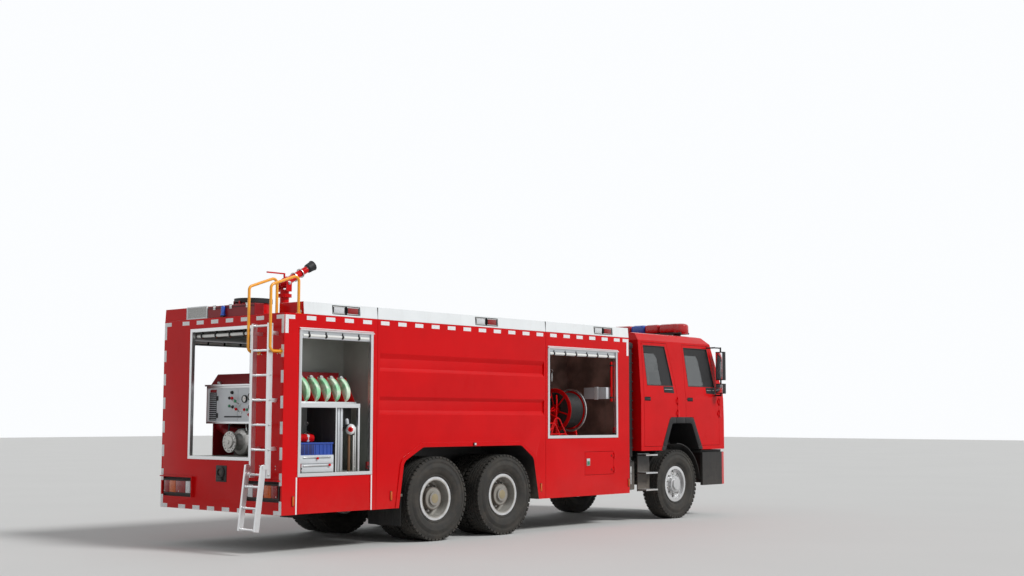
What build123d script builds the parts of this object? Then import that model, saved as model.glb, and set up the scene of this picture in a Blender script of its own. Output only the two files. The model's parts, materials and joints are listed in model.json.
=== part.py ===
from build123d import *
import os
from math import cos, radians, sin

# Foam fire truck on a three-axle cab-over chassis, millimetres.
# +X is forward, +Y is left, +Z is up, and the wheels stand on Z = 0.

# Ladder: stiles, the folding foot and its lean
STILE_X = 65.0
STILE_Y = 32.0
LADDER_BACK = 90.0
FOOT_LENGTH = 765.0
FOOT_TILT = 6.5
FOOT_GAP = 6.0
FOOT_BACK = LADDER_BACK + STILE_X + FOOT_GAP + STILE_X / 2
FOOT_LEAN_SIN = sin(radians(FOOT_TILT))
FOOT_LEAN_COS = cos(radians(FOOT_TILT))

# Lengths along the truck, from the ladder's foot to the bumper
LADDER_REACH = FOOT_BACK + FOOT_LENGTH * FOOT_LEAN_SIN + STILE_X / 2 * FOOT_LEAN_COS
REAR_BODY_L = 1534.0
TANK_BODY_L = 3362.0
FRONT_BODY_L = 2038.0
CAB_GAP = 326.0
CAB_L = 2400.0
BUMPER_PROUD = 190.0

# Stations along the truck
BODY_L = REAR_BODY_L + TANK_BODY_L + FRONT_BODY_L
OVERALL_L = LADDER_REACH + BODY_L + CAB_GAP + CAB_L + BUMPER_PROUD
REAR_X = LADDER_REACH - OVERALL_L / 2
SEAM_1 = REAR_X + REAR_BODY_L
SEAM_2 = SEAM_1 + TANK_BODY_L
BODY_FRONT = SEAM_2 + FRONT_BODY_L
CAB_REAR = BODY_FRONT + CAB_GAP
CAB_FRONT = CAB_REAR + CAB_L
NOSE = CAB_FRONT + BUMPER_PROUD

# Body heights and widths
BODY_W = 2500.0
BODY_BOTTOM = 470.0
BODY_TOP = 2910.0
HALF_W = BODY_W / 2
SEAM = 4.0
WALL = 45.0
ROOF_T = 60.0
LOWER_BOX_IN = 640.0
PARTITION_T = 20.0
REAR_SILL_T = 60.0

# Running clearances
PIN_FIT = 0.3
DOOR_GAP = 5.0

# Chassis frame
RAIL_OUT = 425.0
RAIL_FLANGE = 80.0
RAIL_WEB = 10.0
RAIL_TOP = 1020.0
RAIL_DEPTH = 280.0
RAIL_REAR = 70.0
RAIL_FRONT_BACK = 250.0
SUBFRAME_H = 80.0
FLOOR_Z = RAIL_TOP + SUBFRAME_H
CROSS_HALF = 40.0
CROSS_DROP = (60.0, 200.0)
AIR_CROSS_AHEAD = 500.0

# Fuel tank on the left and battery box on the right, between the body and the steps
SIDE_BOX_Y = (445.0, 1035.0)
SIDE_BOX_Z = (500.0, 960.0)
SIDE_BOX_GAP = 30.0
SIDE_BOX_PAST_CAB = 90.0
FUEL_ROUND = 90.0
BATTERY_ROUND = 15.0

# Air tanks between the rails
AIR_TANK_R = 125.0
AIR_TANK_Y = 215.0
AIR_TANK_L = 760.0
AIR_DOME = 40.0
AIR_STRAP_H = 15.0

# Wheels and axles
TYRE_R = 562.0
TYRE_W = 315.0
AXLE_Z = TYRE_R
BEAD_R = 262.0
RIM_FLANGE_R = 290.0
RIM_W = 232.0
RIM_T = 16.0
RIM_LIP = 12.0
REAR_OVERHANG = 2654.0
TANDEM = 1350.0
WHEELBASE = 4325.0
REAR_TRACK = 1830.0
TWIN_PITCH = 350.0
FRONT_TRACK = 2060.0
KINGPIN_IN = 150.0
AXLE_1 = REAR_X + REAR_OVERHANG
AXLE_2 = AXLE_1 + TANDEM
AXLE_3 = AXLE_2 + WHEELBASE
TANDEM_X = (AXLE_1 + AXLE_2) / 2
KINGPIN_Y = FRONT_TRACK / 2 - KINGPIN_IN
STUB_R = 55.0
REAR_HUB_IN = 560.0
REAR_STUB_END = 1120.0
FRONT_STUB_PAST = 60.0
AXLE_TUBE_R = 85.0
DRUM_R = 200.0
DRUM_IN = 62.0
HAND_HOLES = 8
HAND_HOLE_R = 30.0
HAND_HOLE_RING = 195.0
FRONT_DISC = 50.0
FRONT_HUB_OUT = 120.0
FRONT_HUB_R = 130.0
INNER_DISC = 90.0
OUTER_DISC = -60.0
OUTER_HUB_OUT = 75.0
REAR_HUB_R = 150.0
CAP_R = 90.0
CAP_H = 30.0
TYRE_BULGE = 14.0
TREAD_IN = 36.0
TREAD_CROWN = 10.0

# Front axle beam and its kingpins
BEAM_HALF_X = 45.0
BEAM_HALF_Z = 40.0
PAD_HALF_X = 70.0
PAD_OVER = 10.0
BOSS_H = 130.0
BOSS_R = 52.0
KINGPIN_R = 22.0
KNUCKLE_EAR_T = 34.0
KNUCKLE_GAP = 8.0
KNUCKLE_PLATE_T = 24.0

# Springs
SPRING_W = 90.0
SPRING_Y = (RAIL_OUT, RAIL_OUT + SPRING_W)
REAR_LEAF_T = 24.0
REAR_LEAVES = 4
REAR_LEAF_STEP = 150.0
REAR_LEAF_PAST = 60.0
SADDLE_HALF = 110.0
SADDLE_DROP = 60.0
FRONT_LEAF_T = 18.0
FRONT_LEAVES = 3
FRONT_LEAF_REACH = 650.0
FRONT_LEAF_STEP = 160.0
FRONT_PAD_H = 72.0
SHACKLE_HALF = 35.0
SHACKLE_UP = 90.0

# Engine and gearbox as plain blocks, and the propeller shaft
ENGINE_BEHIND = 280.0
ENGINE_AHEAD = 1000.0
ENGINE_HALF = 320.0
ENGINE_Z = (AXLE_Z + 130, RAIL_TOP + 250)
ENGINE_FOOT_IN = 200.0
ENGINE_FOOT_L = 100.0
ENGINE_FOOT_UP = 60.0
ENGINE_FOOT_H = 60.0
GEARBOX_L = 760.0
GEARBOX_HALF = 220.0
GEARBOX_Z = (AXLE_Z + 150, RAIL_TOP - 40)
SHAFT_Z = AXLE_Z + 190
SHAFT_R = 55.0
SHAFT_START = 560.0

# Locker openings, from the body's rear face
REAR_LOCKER_X = (275.0, 1412.0)
REAR_LOCKER_Z = (963.0, 2700.0)
FRONT_LOCKER_X = (4979.0, 6592.0)
FRONT_LOCKER_Z = (1382.0, 2662.0)
LOCKER_LIP = 40.0
TRIM_W = 42.0
TRIM_T = 9.0
GUTTER_OUT = 34.0
GUTTER_H = 26.0
REAR_DOOR_Y = (-600.0, 620.0)
REAR_DOOR_Z = (1150.0, 2740.0)
REAR_PANEL_T = 40.0

# Roller shutters
SHUTTER_SET = 12.0
SHUTTER_T = 26.0
SHUTTER_END_GAP = 3.0
SHUTTER_LINK = 20.0
SHUTTER_SLATS = 2
SLAT_PITCH = 45.0
SLAT_GROOVE = 6.0
ROLL_R = 95.0

# Fold-down flaps under the rear lockers
FLAP_X = (250.0, 1420.0)
FLAP_TOP = 923.0
FLAP_T = 38.0
FLAP_RECESS = 50.0
FLAP_PIN_R = 8.0
FLAP_PIN_L = 16.0
FLAP_PIN_UP = 16.0
FLAP_PIN_END = 2.0
FLAP_BOX_DEPTH = 400.0

# Tail lamp recesses: from the middle outwards, and the hood over each
TAIL_Y = (530.0, 1222.0)
TAIL_Z = (620.0, 872.0)
TAIL_DEPTH = 32.0
TAIL_SET = 6.0
TAIL_RIM = 30.0
HOOD_OUT = 42.0
HOOD_T = 14.0

# Amber markers low on the sides, from the body's rear face
MARKER_X = (170.0, 1790.0, 4780.0, 6905.0)
MARKER_Z = (575.0, 695.0)
MARKER_HALF = 14.0
MARKER_OUT = 12.0

# Small hatch in the front body's side
HATCH_X = (5808.0, 6524.0)
HATCH_Z = (778.0, 1132.0)
HATCH_T = 28.0
HATCH_DEPTH = 260.0
HATCH_REBATE = 30.0
HATCH_HINGE_IN = 70.0
HATCH_HINGE_HALF = 40.0
HATCH_LEAF_HALF = 20.0
HATCH_LEAF_L = 50.0
BARREL_R = 8.0

# Wheel arch over the tandem, from the body's rear face
ARCH_FOOT_X = (1926.0, 4725.0)
ARCH_KNEE_X = (2014.0, 4607.0)
ARCH_TOP_X = (2364.0, 4336.0)
ARCH_KNEE_Z = 1065.0
ARCH_TOP_Z = 1250.0
ARCH_ROUND = 120.0
ARCH_BEAD_W = 60.0
ARCH_BEAD_T = 14.0
WHEELHOUSE_IN = 430.0

# Pressed bands along the tank's sides: outer and inner edge heights
BANDS = ((2237.0, 2287.0, 2406.0, 2475.0), (1677.0, 1736.0, 1864.0, 1914.0))
BAND_DEPTH = 24.0
BAND_END = 42.0

# Roof
FAIRING_H = 155.0
FAIRING_W = 480.0
FAIRING_LEAN = 14.0
FAIRING_TOP = BODY_TOP + FAIRING_H
RIGHT_FAIRING_START = 300.0
LAMP_RECESS = 26.0
LAMP_H = 96.0
LAMP_L = 200.0
LAMP_GAP = 34.0
LAMP_RIM = 18.0
LAMP_X = (780.0, 3400.0, 6070.0)

# Cab
CAB_W = 2490.0
CAB_BOTTOM = 1120.0
CAB_TOP = 3030.0
CAB_WALL = 58.0
CAB_WAIST = 1960.0
CAB_GUTTER = 2900.0
CAB_LEAN = 60.0
CAB_BREAK_Z = 1660.0
WAIST_RISE = 110.0
NOSE_LEAN = 15.0
SCREEN_LEAN = 330.0
ROOF_END = 470.0
ROOF_ROUND = 200.0
ROOF_CROWN = 20.0
HALF_CAB = CAB_W / 2
TUNNEL_W = 960.0
TUNNEL_TOP = 1300.0
TUNNEL_END = 160.0
GLASS_SET = 14.0
GLASS_T = 6.0
TILT_BACK = 25.0
TILT_Z = CAB_BOTTOM - 10.0
TILT_PIN_R = 12.0
TILT_EAR_Y = 458.0
TILT_EAR_T = 22.0
TILT_BOSS_R = 26.0
TILT_SIDE_GAP = 2.0
TILT_PLATE_T = 15.0
TILT_PLATE_BACK = 60.0
TILT_PLATE_AHEAD = 20.0
TILT_PLATE_DROP = 120.0
TILT_PIN_HALF = 28.0
TILT_POCKET_UP = 30.0
TILT_X = CAB_FRONT - TILT_BACK

# Wheel arch in the cab, from the front axle, and the housing over it
CAB_ARCH_FOOT = (-487.0, 641.0)
CAB_ARCH_TOP = (-246.0, 380.0)
CAB_ARCH_TOP_Z = 1627.0
ARCH_RIM = 28.0

# Doors, from the cab's rear wall and, for the front edge, from its front
DOOR_SILL = 7.0
DOOR_TOP = 2868.0
BELT_RISE = 90.0
REAR_DOOR_EDGES = (85.0, 780.0, 1010.0)
FRONT_DOOR_BACK = (1275.0, 1225.0)
FRONT_DOOR_AHEAD = (400.0, 150.0)
HANDLE_L = 160.0
HANDLE_H = 64.0
HANDLE_DEPTH = 18.0
HANDLE_BAR_T = 8.0
HANDLE_BAR_H = 24.0
REAR_HANDLE = 180.0
FRONT_HANDLE = 1380.0
HANDLE_Z = 1953.0
DOOR_HINGE_Z = (1720.0, 1920.0)
HINGE_R = 10.0
HINGE_H = 60.0
HINGE_LEAF_L = 45.0
HINGE_CLEAR = 3.0

# Windows: low rear, high rear, high front and low front corner, from the cab's rear wall
WINDOW_Z = (2172.0, 2812.0)
REAR_WINDOW_X = (190.0, 130.0, 720.0, 900.0)
FRONT_WINDOW_X = (1350.0, 1265.0, CAB_L - 440, CAB_L - 270)
SCREEN_HALF = (1060.0, 1010.0)
SCREEN_Z = (2120.0, 2800.0)
BACK_LIGHT_HALF = 700.0
BACK_LIGHT_Z = (2150.0, 2600.0)

# Bumper
BUMPER_Z = (520.0, 1070.0)
BUMPER_REAR = 1730.0
BUMPER_BOW = 140.0
BUMPER_TURN = 130.0
BUMPER_T = 50.0
BUMPER_CORNER_IN = 45.0
HEADLAMP_Y = (800.0, 1120.0)
HEADLAMP_Z = (790.0, 950.0)
HEADLAMP_SET = 12.0
INTAKE_HALF = 560.0
INTAKES_Z = ((590.0, 640.0), (670.0, 720.0))

# Grille on the cab's front
GRILLE_HALF = 820.0
GRILLE_Z = (1240.0, 1600.0)
GRILLE_T = 28.0
GRILLE_FRAME = 40.0
GRILLE_SLATS = 5
GRILLE_BAR_H = 20.0

# Cab steps
STEP_PLATE_Y = 1050.0
STEP_PLATE_T = 20.0
STEP_Z = (495.0, 765.0, 1050.0)
STEP_T = 24.0
STEP_START = 130.0
STEP_END = 618.0
STEP_ARM = 60.0
STEP_IN = 10.0

# Mudguards of the front wheels
GUARD_R = 656.0
GUARD_T = 14.0
GUARD_LOW = 60.0
GUARD_IN = KINGPIN_Y - 40
GUARD_BAR = 44.0
GUARD_BAR_OFF = 4.0
GUARD_BAR_H = 50.0

# Ladder and rails
LADDER_Y = (-1130.0, -825.0)
LADDER_Z = (915.0, BODY_TOP - 130)
RUNG_PITCH = 300.0
RUNG_R = 15.0
FOOT_HINGE_Z = 1045.0
FOOT_RUNG_PITCH = 255.0
FOOT_RUNGS = 3
FIRST_RUNG_UP = 35.0
BRACKET_UP = 350.0
BRACKET_DOWN = 120.0
BRACKET_T = 24.0
HINGE_PLATE_T = 10.0
HINGE_PLATE_H = 50.0
RAIL_R = 18.0
RAIL_FLANGE_R = 36.0
RAIL_FLANGE_T = 8.0
RAIL_Y = (-1190.0, -765.0)
RAIL_FOOT_Z = BODY_TOP - 470
RAIL_BACK = 168.0
RAIL_BEND_Z = BODY_TOP + 330
RAIL_PEAK_Z = BODY_TOP + 480
RAIL_AHEAD = 262.0
RAIL_BEND_R = 60.0

# Monitor
MONITOR_X = 1000.0
MONITOR_PIPE_R = 60.0
MONITOR_FLANGE_R = 95.0
MONITOR_FLANGE_T = 22.0
MONITOR_SWIVEL_Z = BODY_TOP + 340
MONITOR_PIVOT_Z = MONITOR_SWIVEL_Z + 170
CHEEK_Y = 78.0
CHEEK_T = 18.0
CHEEK_HALF = 45.0
YOKE_DROP = 90.0
YOKE_T = 25.0
BARREL_TILT = 30.0
TRUNNION_R = 30.0
LEVER_L = 300.0
LEVER_T = 18.0
LEVER_Z = 115.0

# Foam filler on the roof
FILLER_X = 420.0
FILLER_Y = -90.0
FILLER_R = 250.0
FILLER_NECK_H = 190.0
FILLER_LID_T = 60.0
LID_OVER = 25.0
LID_EAR_Y = 40.0
LID_EAR_T = 20.0
LID_EAR_R = 12.0
LID_PIN_R = 9.5
LID_PIN_OUT = 14.0
LID_PIN_UP = 10.0

# Roof lockers behind the filler, from the body's rear face
OPEN_LOCKER_X = (15.0, 640.0)
OPEN_LOCKER_Y = 345.0
LOW_LOCKER_X = (15.0, 160.0)
LOW_LOCKER_Y = (-640.0, 325.0)

# Pump in the rear bay, from the body's rear face
PUMP_X = (420.0, 1180.0)
PUMP_HALF = 260.0
PUMP_TOP = 1500.0
PUMP_Z = 1330.0
PUMP_FACE = 150.0
PUMP_FLANGE_R = 135.0
PUMP_FLANGE_T = 24.0
FLANGE_BOLTS = 8
FLANGE_BOLT_R = 9.0
FLANGE_BOLT_RING = 113.0

# Control cabinet over the pump
CABINET_BACK = 200.0
CABINET_DEPTH = 700.0
CABINET_Y = (-590.0, 560.0)
CABINET_Z = (1560.0, 2040.0)
CABINET_POST_IN = 100.0
COVER_SLOPE = 120.0
COVER_H = 160.0
COVER_SHORT = 60.0

# Shelf, drawers and crate of the right rear locker, from the body's rear face
SHELF_Z = (1763.0, 1818.0)
SHELF_END = 1290.0
RACK_DIVIDER = 880.0
DRAWERS_X = (300.0, 860.0)
DRAWERS_IN = 10.0
DRAWERS_TOP = 1180.0
CRATE_X = (310.0, 850.0)
CRATE_BACK = 100.0
CRATE_TOP = 1330.0

# Rolled hoses on the shelf
HOSE_ROLLS = 6
HOSE_START = 330.0
HOSE_PITCH = 165.0
HOSE_Y = -960.0
HOSE_R = 170.0
HOSE_T = 70.0
HOSE_EYE_R = 20.0
HOSE_ROUND = 12.0

# Hose reel, from the body's rear face
REEL_BACK = 5700.0
REEL_Z = 1760.0
REEL_R = 330.0
REEL_HOSE_R = 270.0
REEL_HALF = 190.0
REEL_Y = -900.0
REEL_SHAFT_R = 25.0
REEL_FLANGE_T = 10.0
REEL_SPOKES = 6
REEL_RING_W = 30.0
REEL_GAP = 15.0
REEL_POST_T = 30.0
REEL_POST_HALF = 35.0
REEL_FOOT_HALF = 110.0

# Mirrors on the front doors, from the cab's front
MIRROR_BACK = 250.0
MIRROR_ARM_BACK = 440.0
MIRROR_Y = (1275.0, 1435.0)
MIRROR_D = 100.0
MIRROR_HEADS_Z = ((2290.0, 2775.0), (2060.0, 2230.0))
MIRROR_ARMS_Z = (2030.0, 2838.0)
MIRROR_POLE_R = 14.0
MIRROR_ARM_R = 11.0
MIRROR_FOOT_R = 12.5

# Seats, bench, dashboard and steering wheel
SEAT_BACK = 1080.0
SEAT_Y = 740.0
SEAT_HALF = 240.0
PEDESTAL_IN = 70.0
PEDESTAL_L = 330.0
PEDESTAL_HALF = 150.0
BENCH_HALF = 1080.0
DASH_Z = 1560.0
DASH_HALF = 1130.0
DASH_GAP = 20.0
DASH_FOOT_H = 80.0
WHEEL_BACK = 360.0
WHEEL_Z = 2080.0
WHEEL_LEAN = 55.0
WHEEL_R = 225.0
WHEEL_RIM_R = 14.0
COLUMN_R = 22.0
COLUMN_L = 420.0

# Light bar on the cab's roof
BAR_BACK = 1940.0
BAR_D = 280.0
BAR_ROUND = 126.0
BAR_HALF = 820.0
BAR_H = 190.0
BAR_FOOT_H = 60.0
BAR_FOOT_Y = 600.0
BAR_FOOT_HALF = 50.0

RIGHT = -1
LEFT = 1
SIDES = ((RIGHT, "right"), (LEFT, "left"))


def slab(x, y, z, mode=Mode.ADD):
    """Block between the limits x, y and z, in the part being built."""
    with Locations(((x[0] + x[1]) / 2, (y[0] + y[1]) / 2, (z[0] + z[1]) / 2)):
        Box(x[1] - x[0], y[1] - y[0], z[1] - z[0], mode=mode)


def side_plate(outline, y, mode=Mode.ADD):
    """Plate with an outline seen from the side, between two widths y."""
    with BuildSketch(Plane.XZ.offset(-y[0])) as profile:
        with BuildLine():
            Polyline(*outline, close=True)
        make_face()
    extrude(profile.sketch, amount=y[0] - y[1], mode=mode)


def cross_plate(outline, x, mode=Mode.ADD):
    """Plate with an outline seen from the front, between two lengths x."""
    with BuildSketch(Plane.YZ.offset(x[0])) as profile:
        with BuildLine():
            Polyline(*outline, close=True)
        make_face()
    extrude(profile.sketch, amount=x[1] - x[0], mode=mode)


def rod_y(x, z, radius, y, mode=Mode.ADD):
    """Round bar across the truck, between two widths y."""
    with BuildSketch(Plane.XZ.offset(-y[0])) as disc:
        with Locations((x, z)):
            Circle(radius)
    extrude(disc.sketch, amount=y[0] - y[1], mode=mode)


def rod_z(x, y, radius, z, mode=Mode.ADD):
    """Upright round bar between two heights z."""
    with BuildSketch(Plane.XY.offset(z[0])) as disc:
        with Locations((x, y)):
            Circle(radius)
    extrude(disc.sketch, amount=z[1] - z[0], mode=mode)


def rod_x(y, z, radius, x, mode=Mode.ADD):
    """Round bar along the truck, between two lengths x."""
    with BuildSketch(Plane.YZ.offset(x[0])) as disc:
        with Locations((y, z)):
            Circle(radius)
    extrude(disc.sketch, amount=x[1] - x[0], mode=mode)


def round_box(x, y, z, radius, mode=Mode.ADD):
    """Block along the truck whose four long edges are rounded."""
    with BuildSketch(Plane.YZ.offset(x[0])) as profile:
        with Locations(((y[0] + y[1]) / 2, (z[0] + z[1]) / 2)):
            RectangleRounded(y[1] - y[0], z[1] - z[0], radius)
    extrude(profile.sketch, amount=x[1] - x[0], mode=mode)


def ring_y(x, z, profile):
    """Ring turned about a crosswise axis; profile rows are width, radius."""
    with BuildSketch(Plane.YZ.offset(x)) as section:
        with BuildLine():
            Polyline(*[(width, z + radius) for width, radius in profile], close=True)
        make_face()
    revolve(section.sketch, axis=Axis((x, 0, z), (0, 1, 0)))


def ring_x(y, z, profile):
    """Ring turned about a lengthwise axis; profile rows are length, radius."""
    with BuildSketch(Plane.XZ.offset(-y)) as section:
        with BuildLine():
            Polyline(*[(length, z + radius) for length, radius in profile], close=True)
        make_face()
    revolve(section.sketch, axis=Axis((0, y, z), (1, 0, 0)))


def span(pair, sign):
    """Width limits of the side with this sign, lowest first."""
    return (min(sign * pair[0], sign * pair[1]), max(sign * pair[0], sign * pair[1]))


def from_rear(pair):
    """Lengths given from the body's rear face, in the truck's frame."""
    return (REAR_X + pair[0], REAR_X + pair[1])


def finish(piece, label):
    """Name a piece and write it."""
    piece.part.label = label
    export_step(piece.part, f"parts/{label}.step")


os.makedirs("parts", exist_ok=True)

# Chassis frame: two channel rails, crossmembers and the body's subframe
RAIL_X = (REAR_X + RAIL_REAR, NOSE - RAIL_FRONT_BACK)
RAIL_IN = RAIL_OUT - RAIL_FLANGE
RAIL_BOTTOM = RAIL_TOP - RAIL_DEPTH
CROSS_Z = (RAIL_TOP - CROSS_DROP[1], RAIL_TOP - CROSS_DROP[0])
TILT_EAR_HALF = TILT_EAR_T / 2
TILT_PLATE_X = (TILT_X - TILT_PLATE_BACK, TILT_X + TILT_PLATE_AHEAD)
# Crossmembers: station, distance ahead of it
CROSSMEMBERS = ((REAR_X, 160.0), (AXLE_1, -340.0), (TANDEM_X, 0.0), (AXLE_2, 500.0),
                (SEAM_2, AIR_CROSS_AHEAD), (BODY_FRONT, -200.0), (AXLE_3, -1100.0), (NOSE, -380.0))
with BuildPart() as chassis_frame:
    for sign, side in SIDES:
        slab(RAIL_X, span((RAIL_IN, RAIL_OUT), sign), (RAIL_BOTTOM, RAIL_TOP))
        slab(RAIL_X, span((RAIL_IN - 1, RAIL_OUT - RAIL_WEB), sign),
             (RAIL_BOTTOM + RAIL_WEB, RAIL_TOP - RAIL_WEB), Mode.SUBTRACT)
        slab((RAIL_X[0], BODY_FRONT), span((RAIL_IN, RAIL_OUT), sign), (RAIL_TOP, FLOOR_Z))
        for plate in (TILT_EAR_Y - TILT_EAR_HALF - TILT_PLATE_T - TILT_SIDE_GAP,
                      TILT_EAR_Y + TILT_EAR_HALF + TILT_SIDE_GAP):
            y = span((plate, plate + TILT_PLATE_T), sign)
            slab(TILT_PLATE_X, y, (RAIL_TOP - TILT_PLATE_DROP, TILT_Z))
            rod_y(TILT_X, TILT_Z, TILT_PLATE_AHEAD, y)
        slab((TILT_PLATE_X[0], TILT_PLATE_X[0] + TILT_PLATE_T),
             span((RAIL_OUT - 1, TILT_EAR_Y + TILT_EAR_HALF + TILT_PLATE_T), sign),
             (RAIL_TOP - TILT_PLATE_DROP, RAIL_TOP - TILT_PLATE_AHEAD))
        rod_y(TILT_X, TILT_Z, TILT_PIN_R,
              span((TILT_EAR_Y - TILT_PIN_HALF, TILT_EAR_Y + TILT_PIN_HALF), sign))
    for station, ahead in CROSSMEMBERS:
        slab((station + ahead - CROSS_HALF, station + ahead + CROSS_HALF),
             (RAIL_WEB - RAIL_OUT, RAIL_OUT - RAIL_WEB), CROSS_Z)
finish(chassis_frame, "chassis_frame")

# Leaf springs: long rocking packs at the tandem, short packs with shackles in front
AXLE_PAD_Z = AXLE_Z + AXLE_TUBE_R
REAR_PACK_TOP = AXLE_PAD_Z + REAR_LEAVES * REAR_LEAF_T
FRONT_PACK_Z = AXLE_Z + FRONT_PAD_H
FRONT_PACK_TOP = FRONT_PACK_Z + FRONT_LEAVES * FRONT_LEAF_T
with BuildPart() as leaf_springs:
    for sign, side in SIDES:
        y = span(SPRING_Y, sign)
        for leaf in range(REAR_LEAVES):
            reach = TANDEM / 2 + REAR_LEAF_PAST - leaf * REAR_LEAF_STEP
            low = AXLE_PAD_Z + leaf * REAR_LEAF_T
            slab((TANDEM_X - reach, TANDEM_X + reach), y, (low, low + REAR_LEAF_T))
        slab((TANDEM_X - SADDLE_HALF, TANDEM_X + SADDLE_HALF), y, (REAR_PACK_TOP, RAIL_TOP - SADDLE_DROP))
        for leaf in range(FRONT_LEAVES):
            reach = FRONT_LEAF_REACH - leaf * FRONT_LEAF_STEP
            high = FRONT_PACK_TOP - leaf * FRONT_LEAF_T
            slab((AXLE_3 - reach, AXLE_3 + reach), y, (high - FRONT_LEAF_T, high))
        for shackle in (SHACKLE_HALF - FRONT_LEAF_REACH, FRONT_LEAF_REACH - SHACKLE_HALF):
            slab((AXLE_3 + shackle - SHACKLE_HALF, AXLE_3 + shackle + SHACKLE_HALF), y,
                 (FRONT_PACK_TOP, RAIL_BOTTOM + SHACKLE_UP))
finish(leaf_springs, "leaf_springs")

# Front axle: beam, spring pads and an upright boss for each kingpin
with BuildPart() as front_axle:
    slab((AXLE_3 - BEAM_HALF_X, AXLE_3 + BEAM_HALF_X), (-KINGPIN_Y, KINGPIN_Y),
         (AXLE_Z - BEAM_HALF_Z, AXLE_Z + BEAM_HALF_Z))
    for sign, side in SIDES:
        slab((AXLE_3 - PAD_HALF_X, AXLE_3 + PAD_HALF_X),
             span((SPRING_Y[0] - PAD_OVER, SPRING_Y[1] + PAD_OVER), sign), (AXLE_Z - BEAM_HALF_Z,
                                                                            FRONT_PACK_Z))
        rod_z(AXLE_3, sign * KINGPIN_Y, BOSS_R, (AXLE_Z - BOSS_H / 2, AXLE_Z + BOSS_H / 2))
        rod_z(AXLE_3, sign * KINGPIN_Y, KINGPIN_R + PIN_FIT, (AXLE_Z - BOSS_H, AXLE_Z + BOSS_H),
              Mode.SUBTRACT)
finish(front_axle, "front_axle")

# Rear axles: tube, final drive and the stub that the twin wheels turn on
# Final drive section: distance across the truck, radius
FINAL_DRIVE = ((-190.0, 0.0), (-190.0, 120.0), (-90.0, 205.0), (90.0, 205.0), (190.0, 120.0), (190.0, 0.0))
with BuildPart() as rear_axles:
    for x in (AXLE_1, AXLE_2):
        rod_y(x, AXLE_Z, AXLE_TUBE_R, (-REAR_HUB_IN, REAR_HUB_IN))
        rod_y(x, AXLE_Z, STUB_R, (-REAR_STUB_END, REAR_STUB_END))
        ring_y(x, AXLE_Z, FINAL_DRIVE)
        for sign, side in SIDES:
            slab((x - BEAM_HALF_X, x + BEAM_HALF_X), span(SPRING_Y, sign), (AXLE_Z, AXLE_PAD_Z))
finish(rear_axles, "rear_axles")

# Engine, gearbox and propeller shaft
ENGINE_X = (AXLE_3 - ENGINE_BEHIND, AXLE_3 + ENGINE_AHEAD)
GEARBOX_X = (ENGINE_X[0] - GEARBOX_L, ENGINE_X[0])
with BuildPart() as power_train:
    slab(ENGINE_X, (-ENGINE_HALF, ENGINE_HALF), ENGINE_Z)
    slab(GEARBOX_X, (-GEARBOX_HALF, GEARBOX_HALF), GEARBOX_Z)
    rod_x(0, SHAFT_Z, SHAFT_R, (AXLE_2 + SHAFT_START, GEARBOX_X[0]))
    for sign, side in SIDES:
        for x in (ENGINE_X[0] + ENGINE_FOOT_IN, ENGINE_X[1] - ENGINE_FOOT_IN - ENGINE_FOOT_L):
            slab((x, x + ENGINE_FOOT_L), span((ENGINE_HALF, RAIL_OUT - RAIL_WEB), sign),
                 (RAIL_BOTTOM + ENGINE_FOOT_UP, RAIL_BOTTOM + ENGINE_FOOT_UP + ENGINE_FOOT_H))
finish(power_train, "power_train")

# Fuel tank on the left, battery box on the right, and two air tanks under a crossmember
SIDE_BOX_X = (BODY_FRONT + SIDE_BOX_GAP, CAB_REAR + SIDE_BOX_PAST_CAB)
AIR_TANK_X = SEAM_2 + AIR_CROSS_AHEAD - AIR_TANK_L / 2
AIR_TANK_Z = CROSS_Z[0] - AIR_TANK_R - AIR_STRAP_H
with BuildPart() as side_tanks:
    for sign, corner in ((LEFT, FUEL_ROUND), (RIGHT, BATTERY_ROUND)):
        round_box(SIDE_BOX_X, span(SIDE_BOX_Y, sign), SIDE_BOX_Z, corner)
        slab((SIDE_BOX_X[0] + SIDE_BOX_GAP, SIDE_BOX_X[1] - SIDE_BOX_GAP),
             span((RAIL_OUT, SIDE_BOX_Y[0] + 1), sign),
             (RAIL_BOTTOM + RAIL_WEB, SIDE_BOX_Z[1] - FUEL_ROUND))
    for sign, side in SIDES:
        # Air tank section: length from its end, radius
        ring_x(sign * AIR_TANK_Y, AIR_TANK_Z,
               ((AIR_TANK_X, 0), (AIR_TANK_X, AIR_TANK_R / 2), (AIR_TANK_X + AIR_DOME, AIR_TANK_R),
                (AIR_TANK_X + AIR_TANK_L - AIR_DOME, AIR_TANK_R), (AIR_TANK_X + AIR_TANK_L, AIR_TANK_R / 2),
                (AIR_TANK_X + AIR_TANK_L, 0)))
        slab((AIR_TANK_X + AIR_TANK_L / 2 - CROSS_HALF, AIR_TANK_X + AIR_TANK_L / 2 + CROSS_HALF),
             span((AIR_TANK_Y - CROSS_HALF, AIR_TANK_Y + CROSS_HALF), sign), (AIR_TANK_Z, CROSS_Z[0]))
finish(side_tanks, "side_tanks")

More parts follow.
